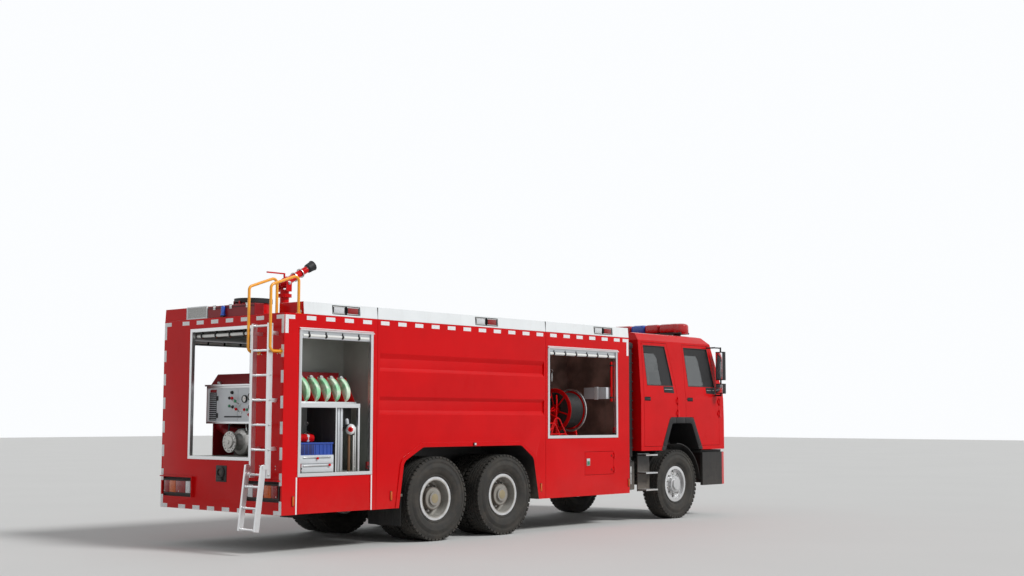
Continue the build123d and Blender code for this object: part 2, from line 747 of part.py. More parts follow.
# Rear body: lockers open to both sides, a pump bay open to the rear and hooded tail lamps
REAR_INSIDE_X = (REAR_X + REAR_PANEL_T, SEAM_1 - WALL)
PARTITION_Y = -LOWER_BOX_IN
FLAP_PIN_Z = BODY_BOTTOM + FLAP_PIN_UP
FLAP_PIN_Y = HALF_W - FLAP_T / 2
with BuildPart() as rear_body:
    slab((REAR_X, SEAM_1 - SEAM), (-HALF_W, HALF_W), (BODY_BOTTOM, BODY_TOP))
    slab((REAR_X + REAR_SILL_T, SEAM_1), (-LOWER_BOX_IN, LOWER_BOX_IN), (BODY_BOTTOM, FLOOR_Z), Mode.SUBTRACT)
    slab(REAR_INSIDE_X, (WALL - HALF_W, PARTITION_Y), (REAR_LOCKER_Z[0], BODY_TOP - ROOF_T), Mode.SUBTRACT)
    slab(REAR_INSIDE_X, (PARTITION_Y + PARTITION_T, LOWER_BOX_IN), (REAR_DOOR_Z[0], BODY_TOP - ROOF_T),
         Mode.SUBTRACT)
    slab(REAR_INSIDE_X, (LOWER_BOX_IN, HALF_W - WALL), (REAR_LOCKER_Z[0], BODY_TOP - ROOF_T), Mode.SUBTRACT)
    slab((REAR_X - 1, REAR_INSIDE_X[0] + 1), REAR_DOOR_Y, REAR_DOOR_Z, Mode.SUBTRACT)
    for sign, side in SIDES:
        slab(from_rear(REAR_LOCKER_X), span((HALF_W - WALL - 1, HALF_W + 1), sign), REAR_LOCKER_Z,
             Mode.SUBTRACT)
        slab(from_rear(FLAP_X), span((HALF_W - FLAP_RECESS, HALF_W + 1), sign), (BODY_BOTTOM - 1, FLAP_TOP),
             Mode.SUBTRACT)
        slab((REAR_X + FLAP_X[0] + WALL, REAR_X + FLAP_X[1] - WALL),
             span((HALF_W - FLAP_BOX_DEPTH, HALF_W - FLAP_RECESS + 1), sign),
             (BODY_BOTTOM + WALL, FLAP_TOP - WALL), Mode.SUBTRACT)
        rod_x(sign * FLAP_PIN_Y, FLAP_PIN_Z, FLAP_PIN_R + PIN_FIT,
              (REAR_X + FLAP_X[0] - FLAP_PIN_L, REAR_X + FLAP_X[1] + FLAP_PIN_L), Mode.SUBTRACT)
        slab((REAR_X - 1, REAR_X + TAIL_DEPTH), span(TAIL_Y, sign), TAIL_Z, Mode.SUBTRACT)
        slab((REAR_X - HOOD_OUT, REAR_X), span((TAIL_Y[0] - HOOD_T, TAIL_Y[1]), sign),
             (TAIL_Z[1], TAIL_Z[1] + HOOD_T))
        slab((REAR_X - HOOD_OUT, REAR_X), span((TAIL_Y[0] - HOOD_T, TAIL_Y[0]), sign),
             (TAIL_Z[0], TAIL_Z[1] + HOOD_T))
finish(rear_body, "rear_body")

# Flaps that fold down into steps; each turns on two pins in its lower corners
for sign, side in SIDES:
    with BuildPart() as flap:
        slab((REAR_X + FLAP_X[0] + DOOR_GAP, REAR_X + FLAP_X[1] - DOOR_GAP),
             span((HALF_W - FLAP_T, HALF_W), sign),
             (BODY_BOTTOM + SEAM, FLAP_TOP - DOOR_GAP))
        rod_x(sign * FLAP_PIN_Y, FLAP_PIN_Z, FLAP_PIN_R,
              (REAR_X + FLAP_X[0] - FLAP_PIN_L + FLAP_PIN_END,
               REAR_X + FLAP_X[1] + FLAP_PIN_L - FLAP_PIN_END))
    finish(flap, f"flap_{side}")

# Tank body: pressed side panels and the wheel arch over both rear axles
ARCH = [(REAR_X + ARCH_FOOT_X[0], BODY_BOTTOM - 1), (REAR_X + ARCH_KNEE_X[0], ARCH_KNEE_Z),
        (REAR_X + ARCH_TOP_X[0], ARCH_TOP_Z), (REAR_X + ARCH_TOP_X[1], ARCH_TOP_Z),
        (REAR_X + ARCH_KNEE_X[1], ARCH_KNEE_Z), (REAR_X + ARCH_FOOT_X[1], BODY_BOTTOM - 1)]


def arch_sketch(y, grow):
    """Outline of the tandem's wheel arch, in the plane of width y."""
    with BuildSketch(Plane.XZ.offset(-y)) as arch:
        with BuildLine():
            FilletPolyline(*ARCH, radius=ARCH_ROUND)
            Line(ARCH[-1], ARCH[0])
        make_face()
        if grow:
            offset(amount=grow)
            with Locations((TANDEM_X, BODY_BOTTOM - BODY_W / 2)):
                Rectangle(2 * TANK_BODY_L, BODY_W, mode=Mode.SUBTRACT)
    return arch.sketch


with BuildPart() as tank_body:
    slab((SEAM_1, SEAM_2 - SEAM), (-HALF_W, HALF_W), (BODY_BOTTOM, BODY_TOP))
    slab((SEAM_1 - 1, SEAM_2), (-LOWER_BOX_IN, LOWER_BOX_IN), (BODY_BOTTOM - 1, FLOOR_Z), Mode.SUBTRACT)
    for sign, side in SIDES:
        extrude(arch_sketch(sign * HALF_W, ARCH_BEAD_W), amount=-sign * ARCH_BEAD_T, mode=Mode.ADD)
        extrude(arch_sketch(sign * WHEELHOUSE_IN, 0),
                amount=-sign * (HALF_W + 2 * ARCH_BEAD_T - WHEELHOUSE_IN),
                mode=Mode.SUBTRACT)
        for low, low_in, high_in, high in BANDS:
            cross_plate([(sign * (HALF_W + 1), low), (sign * (HALF_W - BAND_DEPTH), low_in),
                         (sign * (HALF_W - BAND_DEPTH), high_in), (sign * (HALF_W + 1), high)],
                        (SEAM_1 + BAND_END, SEAM_2 - BAND_END), Mode.SUBTRACT)
finish(tank_body, "tank_body")

# Front body: a load space behind a locker opening on each side, and a hatch in the right side
HATCH_PIN_X = REAR_X + HATCH_X[1]
HATCH_PIN_Y = -HALF_W - BARREL_R
HATCH_HINGES_Z = (HATCH_Z[0] + HATCH_HINGE_IN, HATCH_Z[1] - HATCH_HINGE_IN)
with BuildPart() as front_body:
    slab((SEAM_2, BODY_FRONT), (-HALF_W, HALF_W), (BODY_BOTTOM, BODY_TOP))
    slab((SEAM_2 - 1, BODY_FRONT + 1), (-LOWER_BOX_IN, LOWER_BOX_IN), (BODY_BOTTOM - 1, FLOOR_Z),
         Mode.SUBTRACT)
    for sign, side in SIDES:
        slab((SEAM_2 + WALL, BODY_FRONT - WALL), span((PARTITION_T, HALF_W - WALL), sign),
             (FRONT_LOCKER_Z[0] - LOCKER_LIP, BODY_TOP - ROOF_T), Mode.SUBTRACT)
        slab(from_rear(FRONT_LOCKER_X), span((HALF_W - WALL - 1, HALF_W + 1), sign), FRONT_LOCKER_Z,
             Mode.SUBTRACT)
    slab((REAR_X + HATCH_X[0] + HATCH_REBATE, REAR_X + HATCH_X[1] - HATCH_REBATE),
         (-HALF_W, HATCH_DEPTH - HALF_W),
         (HATCH_Z[0] + HATCH_REBATE, HATCH_Z[1] - HATCH_REBATE), Mode.SUBTRACT)
    for z in HATCH_HINGES_Z:
        slab((HATCH_PIN_X, HATCH_PIN_X + HATCH_HINGE_HALF), (HATCH_PIN_Y, -HALF_W),
             (z - HATCH_HINGE_HALF, z + HATCH_HINGE_HALF))
        rod_z(HATCH_PIN_X, HATCH_PIN_Y, BARREL_R, (z - HATCH_HINGE_HALF, z + HATCH_HINGE_HALF))
        slab((HATCH_PIN_X - 1, HATCH_PIN_X + HATCH_LEAF_HALF),
             (HATCH_PIN_Y - 2 * BARREL_R, BARREL_R - HALF_W),
             (z - HATCH_LEAF_HALF, z + HATCH_LEAF_HALF), Mode.SUBTRACT)
    slab(from_rear(HATCH_X), (-HALF_W - 4 * BARREL_R, HATCH_T + DOOR_GAP - HALF_W), HATCH_Z, Mode.SUBTRACT)
finish(front_body, "front_body")

# Hatch with two hinge barrels at its front edge
with BuildPart() as hatch:
    slab((REAR_X + HATCH_X[0] + DOOR_GAP, REAR_X + HATCH_X[1] - DOOR_GAP), (-HALF_W, HATCH_T - HALF_W),
         (HATCH_Z[0] + DOOR_GAP, HATCH_Z[1] - DOOR_GAP))
    for z in HATCH_HINGES_Z:
        leaf_z = (z - HATCH_LEAF_HALF + PIN_FIT, z + HATCH_LEAF_HALF - PIN_FIT)
        slab((HATCH_PIN_X - HATCH_LEAF_L, HATCH_PIN_X), (HATCH_PIN_Y, -HALF_W), leaf_z)
        rod_z(HATCH_PIN_X, HATCH_PIN_Y, BARREL_R, leaf_z)
finish(hatch, "hatch")

# Aluminium frames round the locker openings, with a rain gutter over each, and round the pump bay
LOCKERS = ((REAR_LOCKER_X, REAR_LOCKER_Z), (FRONT_LOCKER_X, FRONT_LOCKER_Z))
with BuildPart() as locker_frames:
    for sign, side in SIDES:
        y = span((HALF_W, HALF_W + TRIM_T), sign)
        for opening_x, opening_z in LOCKERS:
            x = from_rear(opening_x)
            top = opening_z[1] + TRIM_W
            slab((x[0] - TRIM_W, x[1] + TRIM_W), y, (opening_z[0] - TRIM_W, top))
            slab(x, span((HALF_W - 1, HALF_W + TRIM_T + 1), sign), opening_z, Mode.SUBTRACT)
            cross_plate([(sign * HALF_W, top), (sign * (HALF_W + GUTTER_OUT), top - GUTTER_H),
                         (sign * (HALF_W + GUTTER_OUT), top - GUTTER_H - TRIM_T), (sign * HALF_W,
                                                                                   top - GUTTER_H)],
                        (x[0] - TRIM_W, x[1] + TRIM_W))
    slab((REAR_X - TRIM_T, REAR_X), (REAR_DOOR_Y[0] - TRIM_W, REAR_DOOR_Y[1] + TRIM_W),
         (REAR_DOOR_Z[0] - TRIM_W, REAR_DOOR_Z[1] + TRIM_W))
    slab((REAR_X - TRIM_T - 1, REAR_X + 1), REAR_DOOR_Y, REAR_DOOR_Z, Mode.SUBTRACT)
finish(locker_frames, "locker_frames")

# Roller shutters, rolled up under the roof with their last slats hanging in the opening
with BuildPart() as roller_shutters:
    for sign, side in SIDES:
        hang_y = span((HALF_W - SHUTTER_SET - SHUTTER_T, HALF_W - SHUTTER_SET), sign)
        for opening_x, opening_z in LOCKERS:
            x = (REAR_X + opening_x[0] + SHUTTER_END_GAP, REAR_X + opening_x[1] - SHUTTER_END_GAP)
            top = opening_z[1]
            rod_x(sign * (HALF_W - WALL - ROLL_R - SEAM), BODY_TOP - ROOF_T - ROLL_R, ROLL_R, x)
            for slat in range(SHUTTER_SLATS):
                low = top - (slat + 1) * SLAT_PITCH
                slab(x, hang_y, (low, low + SLAT_PITCH))
                slab(x, span((HALF_W - SHUTTER_SET - SLAT_GROOVE, HALF_W - SHUTTER_SET + 1), sign),
                     (low, low + SLAT_GROOVE), Mode.SUBTRACT)
            slab(x, span((HALF_W - WALL - ROLL_R, HALF_W - WALL - SEAM), sign),
                 (top - SHUTTER_LINK, BODY_TOP - ROOF_T - ROLL_R))
            slab(x, span((HALF_W - WALL - SHUTTER_LINK, HALF_W - SHUTTER_SET - SHUTTER_T), sign),
                 (top - SHUTTER_LINK, top))
finish(roller_shutters, "roller_shutters")

# Roof fairings with recessed lamps
LAMP_Z = BODY_TOP + FAIRING_H / 2
FAIRING_SPANS = ((REAR_X, SEAM_1), (SEAM_1, SEAM_2), (SEAM_2, BODY_FRONT))
with BuildPart() as roof_fairings:
    for sign, side in SIDES:
        for start, end in FAIRING_SPANS:
            if side == "right" and start == REAR_X:
                start = REAR_X + RIGHT_FAIRING_START
            cross_plate([(sign * HALF_W, BODY_TOP), (sign * (HALF_W - FAIRING_LEAN), FAIRING_TOP),
                         (sign * (HALF_W - FAIRING_W), FAIRING_TOP), (sign * (HALF_W - FAIRING_W), BODY_TOP)],
                        (start, end - SEAM))
        for lamp in LAMP_X:
            slab((REAR_X + lamp - LAMP_RIM, REAR_X + lamp + 2 * LAMP_L + LAMP_GAP + LAMP_RIM),
                 span((HALF_W - FAIRING_LEAN - LAMP_RECESS, HALF_W + 1), sign),
                 (LAMP_Z - LAMP_H / 2 - LAMP_RIM / 2, LAMP_Z + LAMP_H / 2 + LAMP_RIM / 2), Mode.SUBTRACT)
finish(roof_fairings, "roof_fairings")

# Roof lockers at the rear: an open red one, a low one across, and the foam filler's neck
LID_PIN_X = REAR_X + FILLER_X - FILLER_R - LID_PIN_OUT
LID_PIN_Z = BODY_TOP + FILLER_NECK_H + LID_PIN_UP
FILLER_TOP = BODY_TOP + FILLER_NECK_H
LEFT_FAIRING_Y = HALF_W - FAIRING_W
with BuildPart() as roof_lockers:
    slab(from_rear(OPEN_LOCKER_X), (OPEN_LOCKER_Y, LEFT_FAIRING_Y - SEAM), (BODY_TOP, FAIRING_TOP))
    slab((REAR_X + OPEN_LOCKER_X[0] + PARTITION_T, REAR_X + OPEN_LOCKER_X[1] - PARTITION_T),
         (OPEN_LOCKER_Y + PARTITION_T, LEFT_FAIRING_Y - SEAM - PARTITION_T),
         (BODY_TOP + PARTITION_T, FAIRING_TOP + 1), Mode.SUBTRACT)
    slab(from_rear(LOW_LOCKER_X), LOW_LOCKER_Y, (BODY_TOP, FAIRING_TOP - SEAM))
    rod_z(REAR_X + FILLER_X, FILLER_Y, FILLER_R - LID_OVER, (BODY_TOP, FILLER_TOP))
    slab((LID_PIN_X - LID_EAR_R, REAR_X + FILLER_X - FILLER_R + 2 * LID_OVER),
         (FILLER_Y - LID_EAR_Y - LID_EAR_T, FILLER_Y + LID_EAR_Y + LID_EAR_T), (BODY_TOP,
                                                                                FILLER_TOP - LID_EAR_T))
    for edge in (-LID_EAR_Y - LID_EAR_T, LID_EAR_Y):
        slab((LID_PIN_X - LID_EAR_R, LID_PIN_X + LID_EAR_R), (FILLER_Y + edge, FILLER_Y + edge + LID_EAR_T),
             (BODY_TOP, LID_PIN_Z + LID_EAR_R))
finish(roof_lockers, "roof_lockers")

# Foam filler lid, hinged on its rear side
LID_TONGUE_Y = (FILLER_Y - LID_EAR_Y + PIN_FIT, FILLER_Y + LID_EAR_Y - PIN_FIT)
with BuildPart() as foam_lid:
    rod_z(REAR_X + FILLER_X, FILLER_Y, FILLER_R - SEAM, (FILLER_TOP + PIN_FIT, FILLER_TOP + FILLER_LID_T))
    slab((LID_PIN_X, REAR_X + FILLER_X - FILLER_R + 2 * LID_OVER), LID_TONGUE_Y,
         (FILLER_TOP + PIN_FIT, FILLER_TOP + 2 * LID_PIN_UP))
    rod_y(LID_PIN_X, LID_PIN_Z, LID_PIN_R, LID_TONGUE_Y)
finish(foam_lid, "foam_lid")

# Rear ladder, fixed section on three pairs of brackets
STILE_X0 = REAR_X - LADDER_BACK - STILE_X
FOOT_X = REAR_X - FOOT_BACK
BRACKETS_Z = (LADDER_Z[0] + BRACKET_UP, (LADDER_Z[0] + LADDER_Z[1]) / 2, LADDER_Z[1] - BRACKET_DOWN)
with BuildPart() as rear_ladder:
    for y in LADDER_Y:
        slab((STILE_X0, STILE_X0 + STILE_X), (y - STILE_Y / 2, y + STILE_Y / 2), LADDER_Z)
        for z in BRACKETS_Z:
            slab((STILE_X0 + STILE_X, REAR_X), (y - BRACKET_T / 2, y + BRACKET_T / 2),
                 (z - BRACKET_T, z + BRACKET_T))
        outer = y + (STILE_Y / 2 if y > sum(LADDER_Y) / 2 else -STILE_Y / 2 - HINGE_PLATE_T)
        slab((FOOT_X - HINGE_PLATE_H / 2, STILE_X0 + STILE_X / 2), (outer, outer + HINGE_PLATE_T),
             (FOOT_HINGE_Z - HINGE_PLATE_H / 2, FOOT_HINGE_Z + HINGE_PLATE_H / 2))
    rung = LADDER_Z[0] + FIRST_RUNG_UP
    while rung < LADDER_Z[1]:
        rod_y(STILE_X0 + STILE_X / 2, rung, RUNG_R, LADDER_Y)
        rung += RUNG_PITCH
finish(rear_ladder, "rear_ladder")

# Folding ladder section; its stiles turn in the hinge plates
with BuildPart() as ladder_foot:
    tilt = Plane((FOOT_X, 0, FOOT_HINGE_Z), x_dir=(FOOT_LEAN_COS, 0, -FOOT_LEAN_SIN), z_dir=(0, -1, 0))
    for y in LADDER_Y:
        with BuildSketch(tilt.offset(-(y - STILE_Y / 2 + PIN_FIT))) as stile:
            with Locations((0, -FOOT_LENGTH / 2)):
                Rectangle(STILE_X, FOOT_LENGTH)
            Circle(STILE_X / 2)
        extrude(stile.sketch, amount=-(STILE_Y - 2 * PIN_FIT))
    for step in range(FOOT_RUNGS):
        drop = FOOT_LENGTH - RUNG_R - SEAM - step * FOOT_RUNG_PITCH
        rod_y(FOOT_X - drop * FOOT_LEAN_SIN, FOOT_HINGE_Z - drop * FOOT_LEAN_COS, RUNG_R, LADDER_Y)
finish(ladder_foot, "ladder_foot")

# Grab rails from the rear face over the edge of the roof, each end on a round foot plate
with BuildPart() as grab_rails:
    for y in RAIL_Y:
        with BuildLine() as route:
            FilletPolyline((REAR_X, y, RAIL_FOOT_Z), (REAR_X - RAIL_BACK, y, RAIL_FOOT_Z),
                           (REAR_X - RAIL_BACK, y, RAIL_BEND_Z), (REAR_X + RAIL_AHEAD, y, RAIL_PEAK_Z),
                           (REAR_X + RAIL_AHEAD, y, BODY_TOP), radius=RAIL_BEND_R)
        with BuildSketch(Plane(origin=route.line @ 0, z_dir=route.line % 0)) as tube:
            Circle(RAIL_R)
        sweep(tube.sketch, path=route.line)
        rod_x(y, RAIL_FOOT_Z, RAIL_FLANGE_R, (REAR_X - RAIL_FLANGE_T, REAR_X))
        rod_z(REAR_X + RAIL_AHEAD, y, RAIL_FLANGE_R, (BODY_TOP, BODY_TOP + RAIL_FLANGE_T))
finish(grab_rails, "grab_rails")

# Water monitor: fixed riser on a flange
MONITOR_PLACE = (REAR_X + MONITOR_X, 0)
SWIVEL_LOW = MONITOR_SWIVEL_Z - PIN_FIT
with BuildPart() as monitor_base:
    rod_z(*MONITOR_PLACE, MONITOR_PIPE_R, (BODY_TOP, SWIVEL_LOW))
    rod_z(*MONITOR_PLACE, MONITOR_FLANGE_R, (BODY_TOP, BODY_TOP + MONITOR_FLANGE_T))
    rod_z(*MONITOR_PLACE, MONITOR_FLANGE_R, (SWIVEL_LOW - MONITOR_FLANGE_T, SWIVEL_LOW))
finish(monitor_base, "monitor_base")

# Turning elbow: a short pipe that carries two cheeks for the barrel
YOKE_Z = MONITOR_PIVOT_Z - YOKE_DROP
with BuildPart() as monitor_elbow:
    rod_z(*MONITOR_PLACE, MONITOR_FLANGE_R, (MONITOR_SWIVEL_Z, MONITOR_SWIVEL_Z + MONITOR_FLANGE_T))
    rod_z(*MONITOR_PLACE, MONITOR_PIPE_R, (MONITOR_SWIVEL_Z, YOKE_Z))
    slab((MONITOR_PLACE[0] - CHEEK_HALF, MONITOR_PLACE[0] + CHEEK_HALF),
         (-CHEEK_Y - CHEEK_T, CHEEK_Y + CHEEK_T),
         (YOKE_Z - YOKE_T, YOKE_Z))
    for sign, side in SIDES:
        y = span((CHEEK_Y, CHEEK_Y + CHEEK_T), sign)
        slab((MONITOR_PLACE[0] - CHEEK_HALF, MONITOR_PLACE[0] + CHEEK_HALF), y,
             (YOKE_Z - YOKE_T, MONITOR_PIVOT_Z))
        rod_y(MONITOR_PLACE[0], MONITOR_PIVOT_Z, CHEEK_HALF, y)
finish(monitor_elbow, "monitor_elbow")

# Barrel and its hand lever. Barrel section: distance along the bore from the pivot, radius
BARREL = ((-70.0, 0.0), (-62.0, 34.0), (-38.0, 60.0), (0.0, 70.0), (60.0, 70.0), (90.0, 52.0),
          (430.0, 44.0), (445.0, 60.0), (530.0, 66.0), (550.0, 72.0), (550.0, 46.0), (520.0, 30.0), (520.0,
                                                                                                     0.0))
with BuildPart() as monitor_barrel:
    bore = Plane((MONITOR_PLACE[0], 0, MONITOR_PIVOT_Z),
                 x_dir=(cos(radians(BARREL_TILT)), 0, sin(radians(BARREL_TILT))), z_dir=(0, -1, 0))
    with BuildSketch(bore) as section:
        with BuildLine():
            Polyline(*BARREL, close=True)
        make_face()
    revolve(section.sketch, axis=Axis(bore.origin, bore.x_dir))
    rod_y(MONITOR_PLACE[0], MONITOR_PIVOT_Z, TRUNNION_R, (PIN_FIT - CHEEK_Y, CHEEK_Y - PIN_FIT))
    slab((MONITOR_PLACE[0] - LEVER_L, MONITOR_PLACE[0]), (-LEVER_T / 2, LEVER_T / 2),
         (MONITOR_PIVOT_Z + LEVER_Z, MONITOR_PIVOT_Z + LEVER_Z + LEVER_T))
    slab((MONITOR_PLACE[0] - LEVER_T, MONITOR_PLACE[0]), (-LEVER_T / 2, LEVER_T / 2),
         (MONITOR_PIVOT_Z + LEVER_T, MONITOR_PIVOT_Z + LEVER_Z))
finish(monitor_barrel, "monitor_barrel")

# Pump on the floor of the rear bay. Section of its turned end: distance from the rear face, radius
PUMP_NECK = PUMP_FACE + PUMP_FLANGE_T
PUMP_END = ((PUMP_FACE, 0.0), (PUMP_FACE, PUMP_FLANGE_R), (PUMP_NECK, PUMP_FLANGE_R), (PUMP_NECK, 90.0),
            (235.0, 82.0), (300.0, 110.0), (318.0, 160.0), (345.0, 174.0), (395.0, 174.0), (PUMP_X[0], 155.0),
            (PUMP_X[0] + 1, 155.0), (PUMP_X[0] + 1, 0.0))
with BuildPart() as pump_set:
    slab((REAR_X + PUMP_X[0], REAR_X + PUMP_X[1]), (-PUMP_HALF, PUMP_HALF), (REAR_DOOR_Z[0], PUMP_TOP))
    ring_x(0, PUMP_Z, [(REAR_X + length, radius) for length, radius in PUMP_END])
    with BuildSketch(Plane.YZ.offset(REAR_X + PUMP_FACE)) as bolt_holes:
        with Locations((0, PUMP_Z)):
            with PolarLocations(FLANGE_BOLT_RING, FLANGE_BOLTS):
                Circle(FLANGE_BOLT_R)
    extrude(bolt_holes.sketch, amount=PUMP_FLANGE_T, mode=Mode.SUBTRACT)
finish(pump_set, "pump_set")

# Control cabinet on two posts over the pump, with a sloping cover
CABINET_X = (REAR_X + CABINET_BACK, REAR_X + CABINET_BACK + CABINET_DEPTH)
with BuildPart() as pump_panel:
    slab(CABINET_X, CABINET_Y, CABINET_Z)
    side_plate([(CABINET_X[0], CABINET_Z[1]), (CABINET_X[0] + COVER_SLOPE, CABINET_Z[1] + COVER_H),
                (CABINET_X[1], CABINET_Z[1] + COVER_H), (CABINET_X[1], CABINET_Z[1])],
               (CABINET_Y[0], CABINET_Y[1] - COVER_SHORT))
    for y in (CABINET_Y[0], CABINET_Y[1] - PARTITION_T):
        slab((CABINET_X[0] + CABINET_POST_IN, CABINET_X[1] - PARTITION_T), (y, y + PARTITION_T),
             (REAR_DOOR_Z[0], CABINET_Z[0]))
finish(pump_panel, "pump_panel")

# Shelf, divider and drawers of the right rear locker, and the posts and shaft of the hose reel
REEL_X = REAR_X + REEL_BACK
REEL_POSTS = (-REEL_HALF - REEL_GAP - REEL_POST_T, REEL_HALF + REEL_GAP)
RACK_Y = (WALL + DOOR_GAP - HALF_W, PARTITION_Y)
with BuildPart() as locker_racks:
    slab((REAR_INSIDE_X[0], REAR_X + SHELF_END), RACK_Y, SHELF_Z)
    slab((REAR_X + RACK_DIVIDER, REAR_X + RACK_DIVIDER + PARTITION_T), RACK_Y, (REAR_LOCKER_Z[0], SHELF_Z[0]))
    slab(from_rear(DRAWERS_X), (RACK_Y[0] + DRAWERS_IN, RACK_Y[1]), (REAR_LOCKER_Z[0], DRAWERS_TOP))
    slab(from_rear(CRATE_X), (RACK_Y[0] + 2 * DRAWERS_IN, RACK_Y[1] - CRATE_BACK), (DRAWERS_TOP, CRATE_TOP))
    for post in REEL_POSTS:
        cross_plate([(REEL_Y - REEL_FOOT_HALF, FRONT_LOCKER_Z[0] - LOCKER_LIP),
                     (REEL_Y + REEL_FOOT_HALF, FRONT_LOCKER_Z[0] - LOCKER_LIP),
                     (REEL_Y + REEL_POST_HALF, REEL_Z + REEL_POST_HALF), (REEL_Y - REEL_POST_HALF,
                                                                          REEL_Z + REEL_POST_HALF)],
                    (REEL_X + post, REEL_X + post + REEL_POST_T))
    rod_x(REEL_Y, REEL_Z, REEL_SHAFT_R, (REEL_X + REEL_POSTS[0], REEL_X + REEL_POSTS[1] + REEL_POST_T))
finish(locker_racks, "locker_racks")

# Rolled delivery hoses standing in a row on the shelf
with BuildPart() as hose_rolls:
    for place in range(HOSE_ROLLS):
        x = REAR_X + HOSE_START + place * HOSE_PITCH
        # Roll section: length from its first face, radius
        ring_x(HOSE_Y, SHELF_Z[1] + HOSE_R,
               ((x, HOSE_EYE_R), (x, HOSE_R - HOSE_ROUND), (x + HOSE_ROUND, HOSE_R),
                (x + HOSE_T - HOSE_ROUND, HOSE_R), (x + HOSE_T, HOSE_R - HOSE_ROUND), (x + HOSE_T,
                                                                                       HOSE_EYE_R)))
finish(hose_rolls, "hose_rolls")

# Hose reel: spoked end rings, and the wound hose between them
with BuildPart() as hose_reel:
    rod_x(REEL_Y, REEL_Z, REEL_HOSE_R,
          (REEL_X - REEL_HALF + REEL_FLANGE_T, REEL_X + REEL_HALF - REEL_FLANGE_T))
    for start in (-REEL_HALF, REEL_HALF - REEL_FLANGE_T):
        with BuildSketch(Plane.YZ.offset(REEL_X + start)) as wheel:
            with Locations((REEL_Y, REEL_Z)):
                Circle(REEL_R)
                Circle(REEL_R - REEL_RING_W, mode=Mode.SUBTRACT)
                Circle(3 * REEL_SHAFT_R)
                with PolarLocations(0, REEL_SPOKES):
                    with Locations((REEL_R / 2, 0)):
                        Rectangle(REEL_R - REEL_RING_W, REEL_RING_W)
        extrude(wheel.sketch, amount=REEL_FLANGE_T)
    rod_x(REEL_Y, REEL_Z, REEL_SHAFT_R + PIN_FIT, (REEL_X - REEL_HALF - 1, REEL_X + REEL_HALF + 1),
          Mode.SUBTRACT)
finish(hose_reel, "hose_reel")

# Cab outlines: side view from the cab's rear wall, front view from the middle
CAB_SIDE = [(CAB_REAR, CAB_BOTTOM), (CAB_REAR, CAB_GUTTER), (CAB_REAR + CAB_LEAN, CAB_TOP),
            (CAB_FRONT - ROOF_END, CAB_TOP), (CAB_FRONT - SCREEN_LEAN, CAB_GUTTER),
            (CAB_FRONT - NOSE_LEAN, CAB_WAIST + WAIST_RISE), (CAB_FRONT, CAB_BREAK_Z), (CAB_FRONT,
                                                                                        CAB_BOTTOM)]
CAB_EDGE = [(HALF_CAB - CAB_LEAN - ROOF_ROUND, CAB_TOP),
            (HALF_CAB - CAB_LEAN - ROOF_ROUND / 2, CAB_TOP - ROOF_CROWN),
            (HALF_CAB - CAB_LEAN, CAB_GUTTER), (HALF_CAB, CAB_WAIST), (HALF_CAB, CAB_BOTTOM)]
CAB_CROSS = CAB_EDGE + [(-y, z) for y, z in reversed(CAB_EDGE)]


def cab_block(inset):
    """The cab's outer form, drawn in by the same amount all round."""
    with BuildPart() as block:
        with BuildSketch(Plane.XZ) as side_view:
            with BuildLine():
                Polyline(*CAB_SIDE, close=True)
            make_face()
            if inset:
                offset(amount=-inset, kind=Kind.INTERSECTION, mode=Mode.REPLACE)
        extrude(side_view.sketch, amount=CAB_W, both=True)
        with BuildSketch(Plane.YZ.offset(CAB_REAR - 1)) as front_view:
            with BuildLine():
                Polyline(*CAB_CROSS, close=True)
            make_face()
            if inset:
                offset(amount=-inset, kind=Kind.INTERSECTION, mode=Mode.REPLACE)
        extrude(front_view.sketch, amount=CAB_L + 2, mode=Mode.INTERSECT)
    return block.part


TUNNEL_X = (CAB_REAR - 1, CAB_FRONT - TUNNEL_END)
HALF_TUNNEL = TUNNEL_W / 2
with BuildPart() as cab_wall:
    add(cab_block(0))
    add(cab_block(CAB_WALL), mode=Mode.SUBTRACT)
    slab((CAB_REAR, TUNNEL_X[1] + CAB_WALL), (-HALF_TUNNEL - CAB_WALL, HALF_TUNNEL + CAB_WALL),
         (CAB_BOTTOM + 1, TUNNEL_TOP + CAB_WALL))
    slab(TUNNEL_X, (-HALF_TUNNEL, HALF_TUNNEL), (CAB_BOTTOM - 1, TUNNEL_TOP), Mode.SUBTRACT)
with BuildPart() as glass_skin:
    add(cab_block(GLASS_SET))
    add(cab_block(GLASS_SET + GLASS_T), mode=Mode.SUBTRACT)

# Door and window outlines seen from the side; the front wheel's arch cuts both doors
DOOR_BOTTOM = CAB_BOTTOM + CAB_WALL + DOOR_SILL
BELT_Z = CAB_WAIST + BELT_RISE
HOUSING_Z = CAB_ARCH_TOP_Z
CAB_ARCH = [(AXLE_3 + CAB_ARCH_FOOT[0], CAB_BOTTOM - 1), (AXLE_3 + CAB_ARCH_TOP[0], HOUSING_Z),
            (AXLE_3 + CAB_ARCH_TOP[1], HOUSING_Z), (AXLE_3 + CAB_ARCH_FOOT[1], CAB_BOTTOM - 1)]
REAR_DOOR = [(CAB_REAR + REAR_DOOR_EDGES[0], DOOR_BOTTOM), (CAB_REAR + REAR_DOOR_EDGES[0], DOOR_TOP),
             (CAB_REAR + REAR_DOOR_EDGES[1], DOOR_TOP), (CAB_REAR + REAR_DOOR_EDGES[2], BELT_Z),
             (CAB_REAR + REAR_DOOR_EDGES[2], DOOR_BOTTOM)]
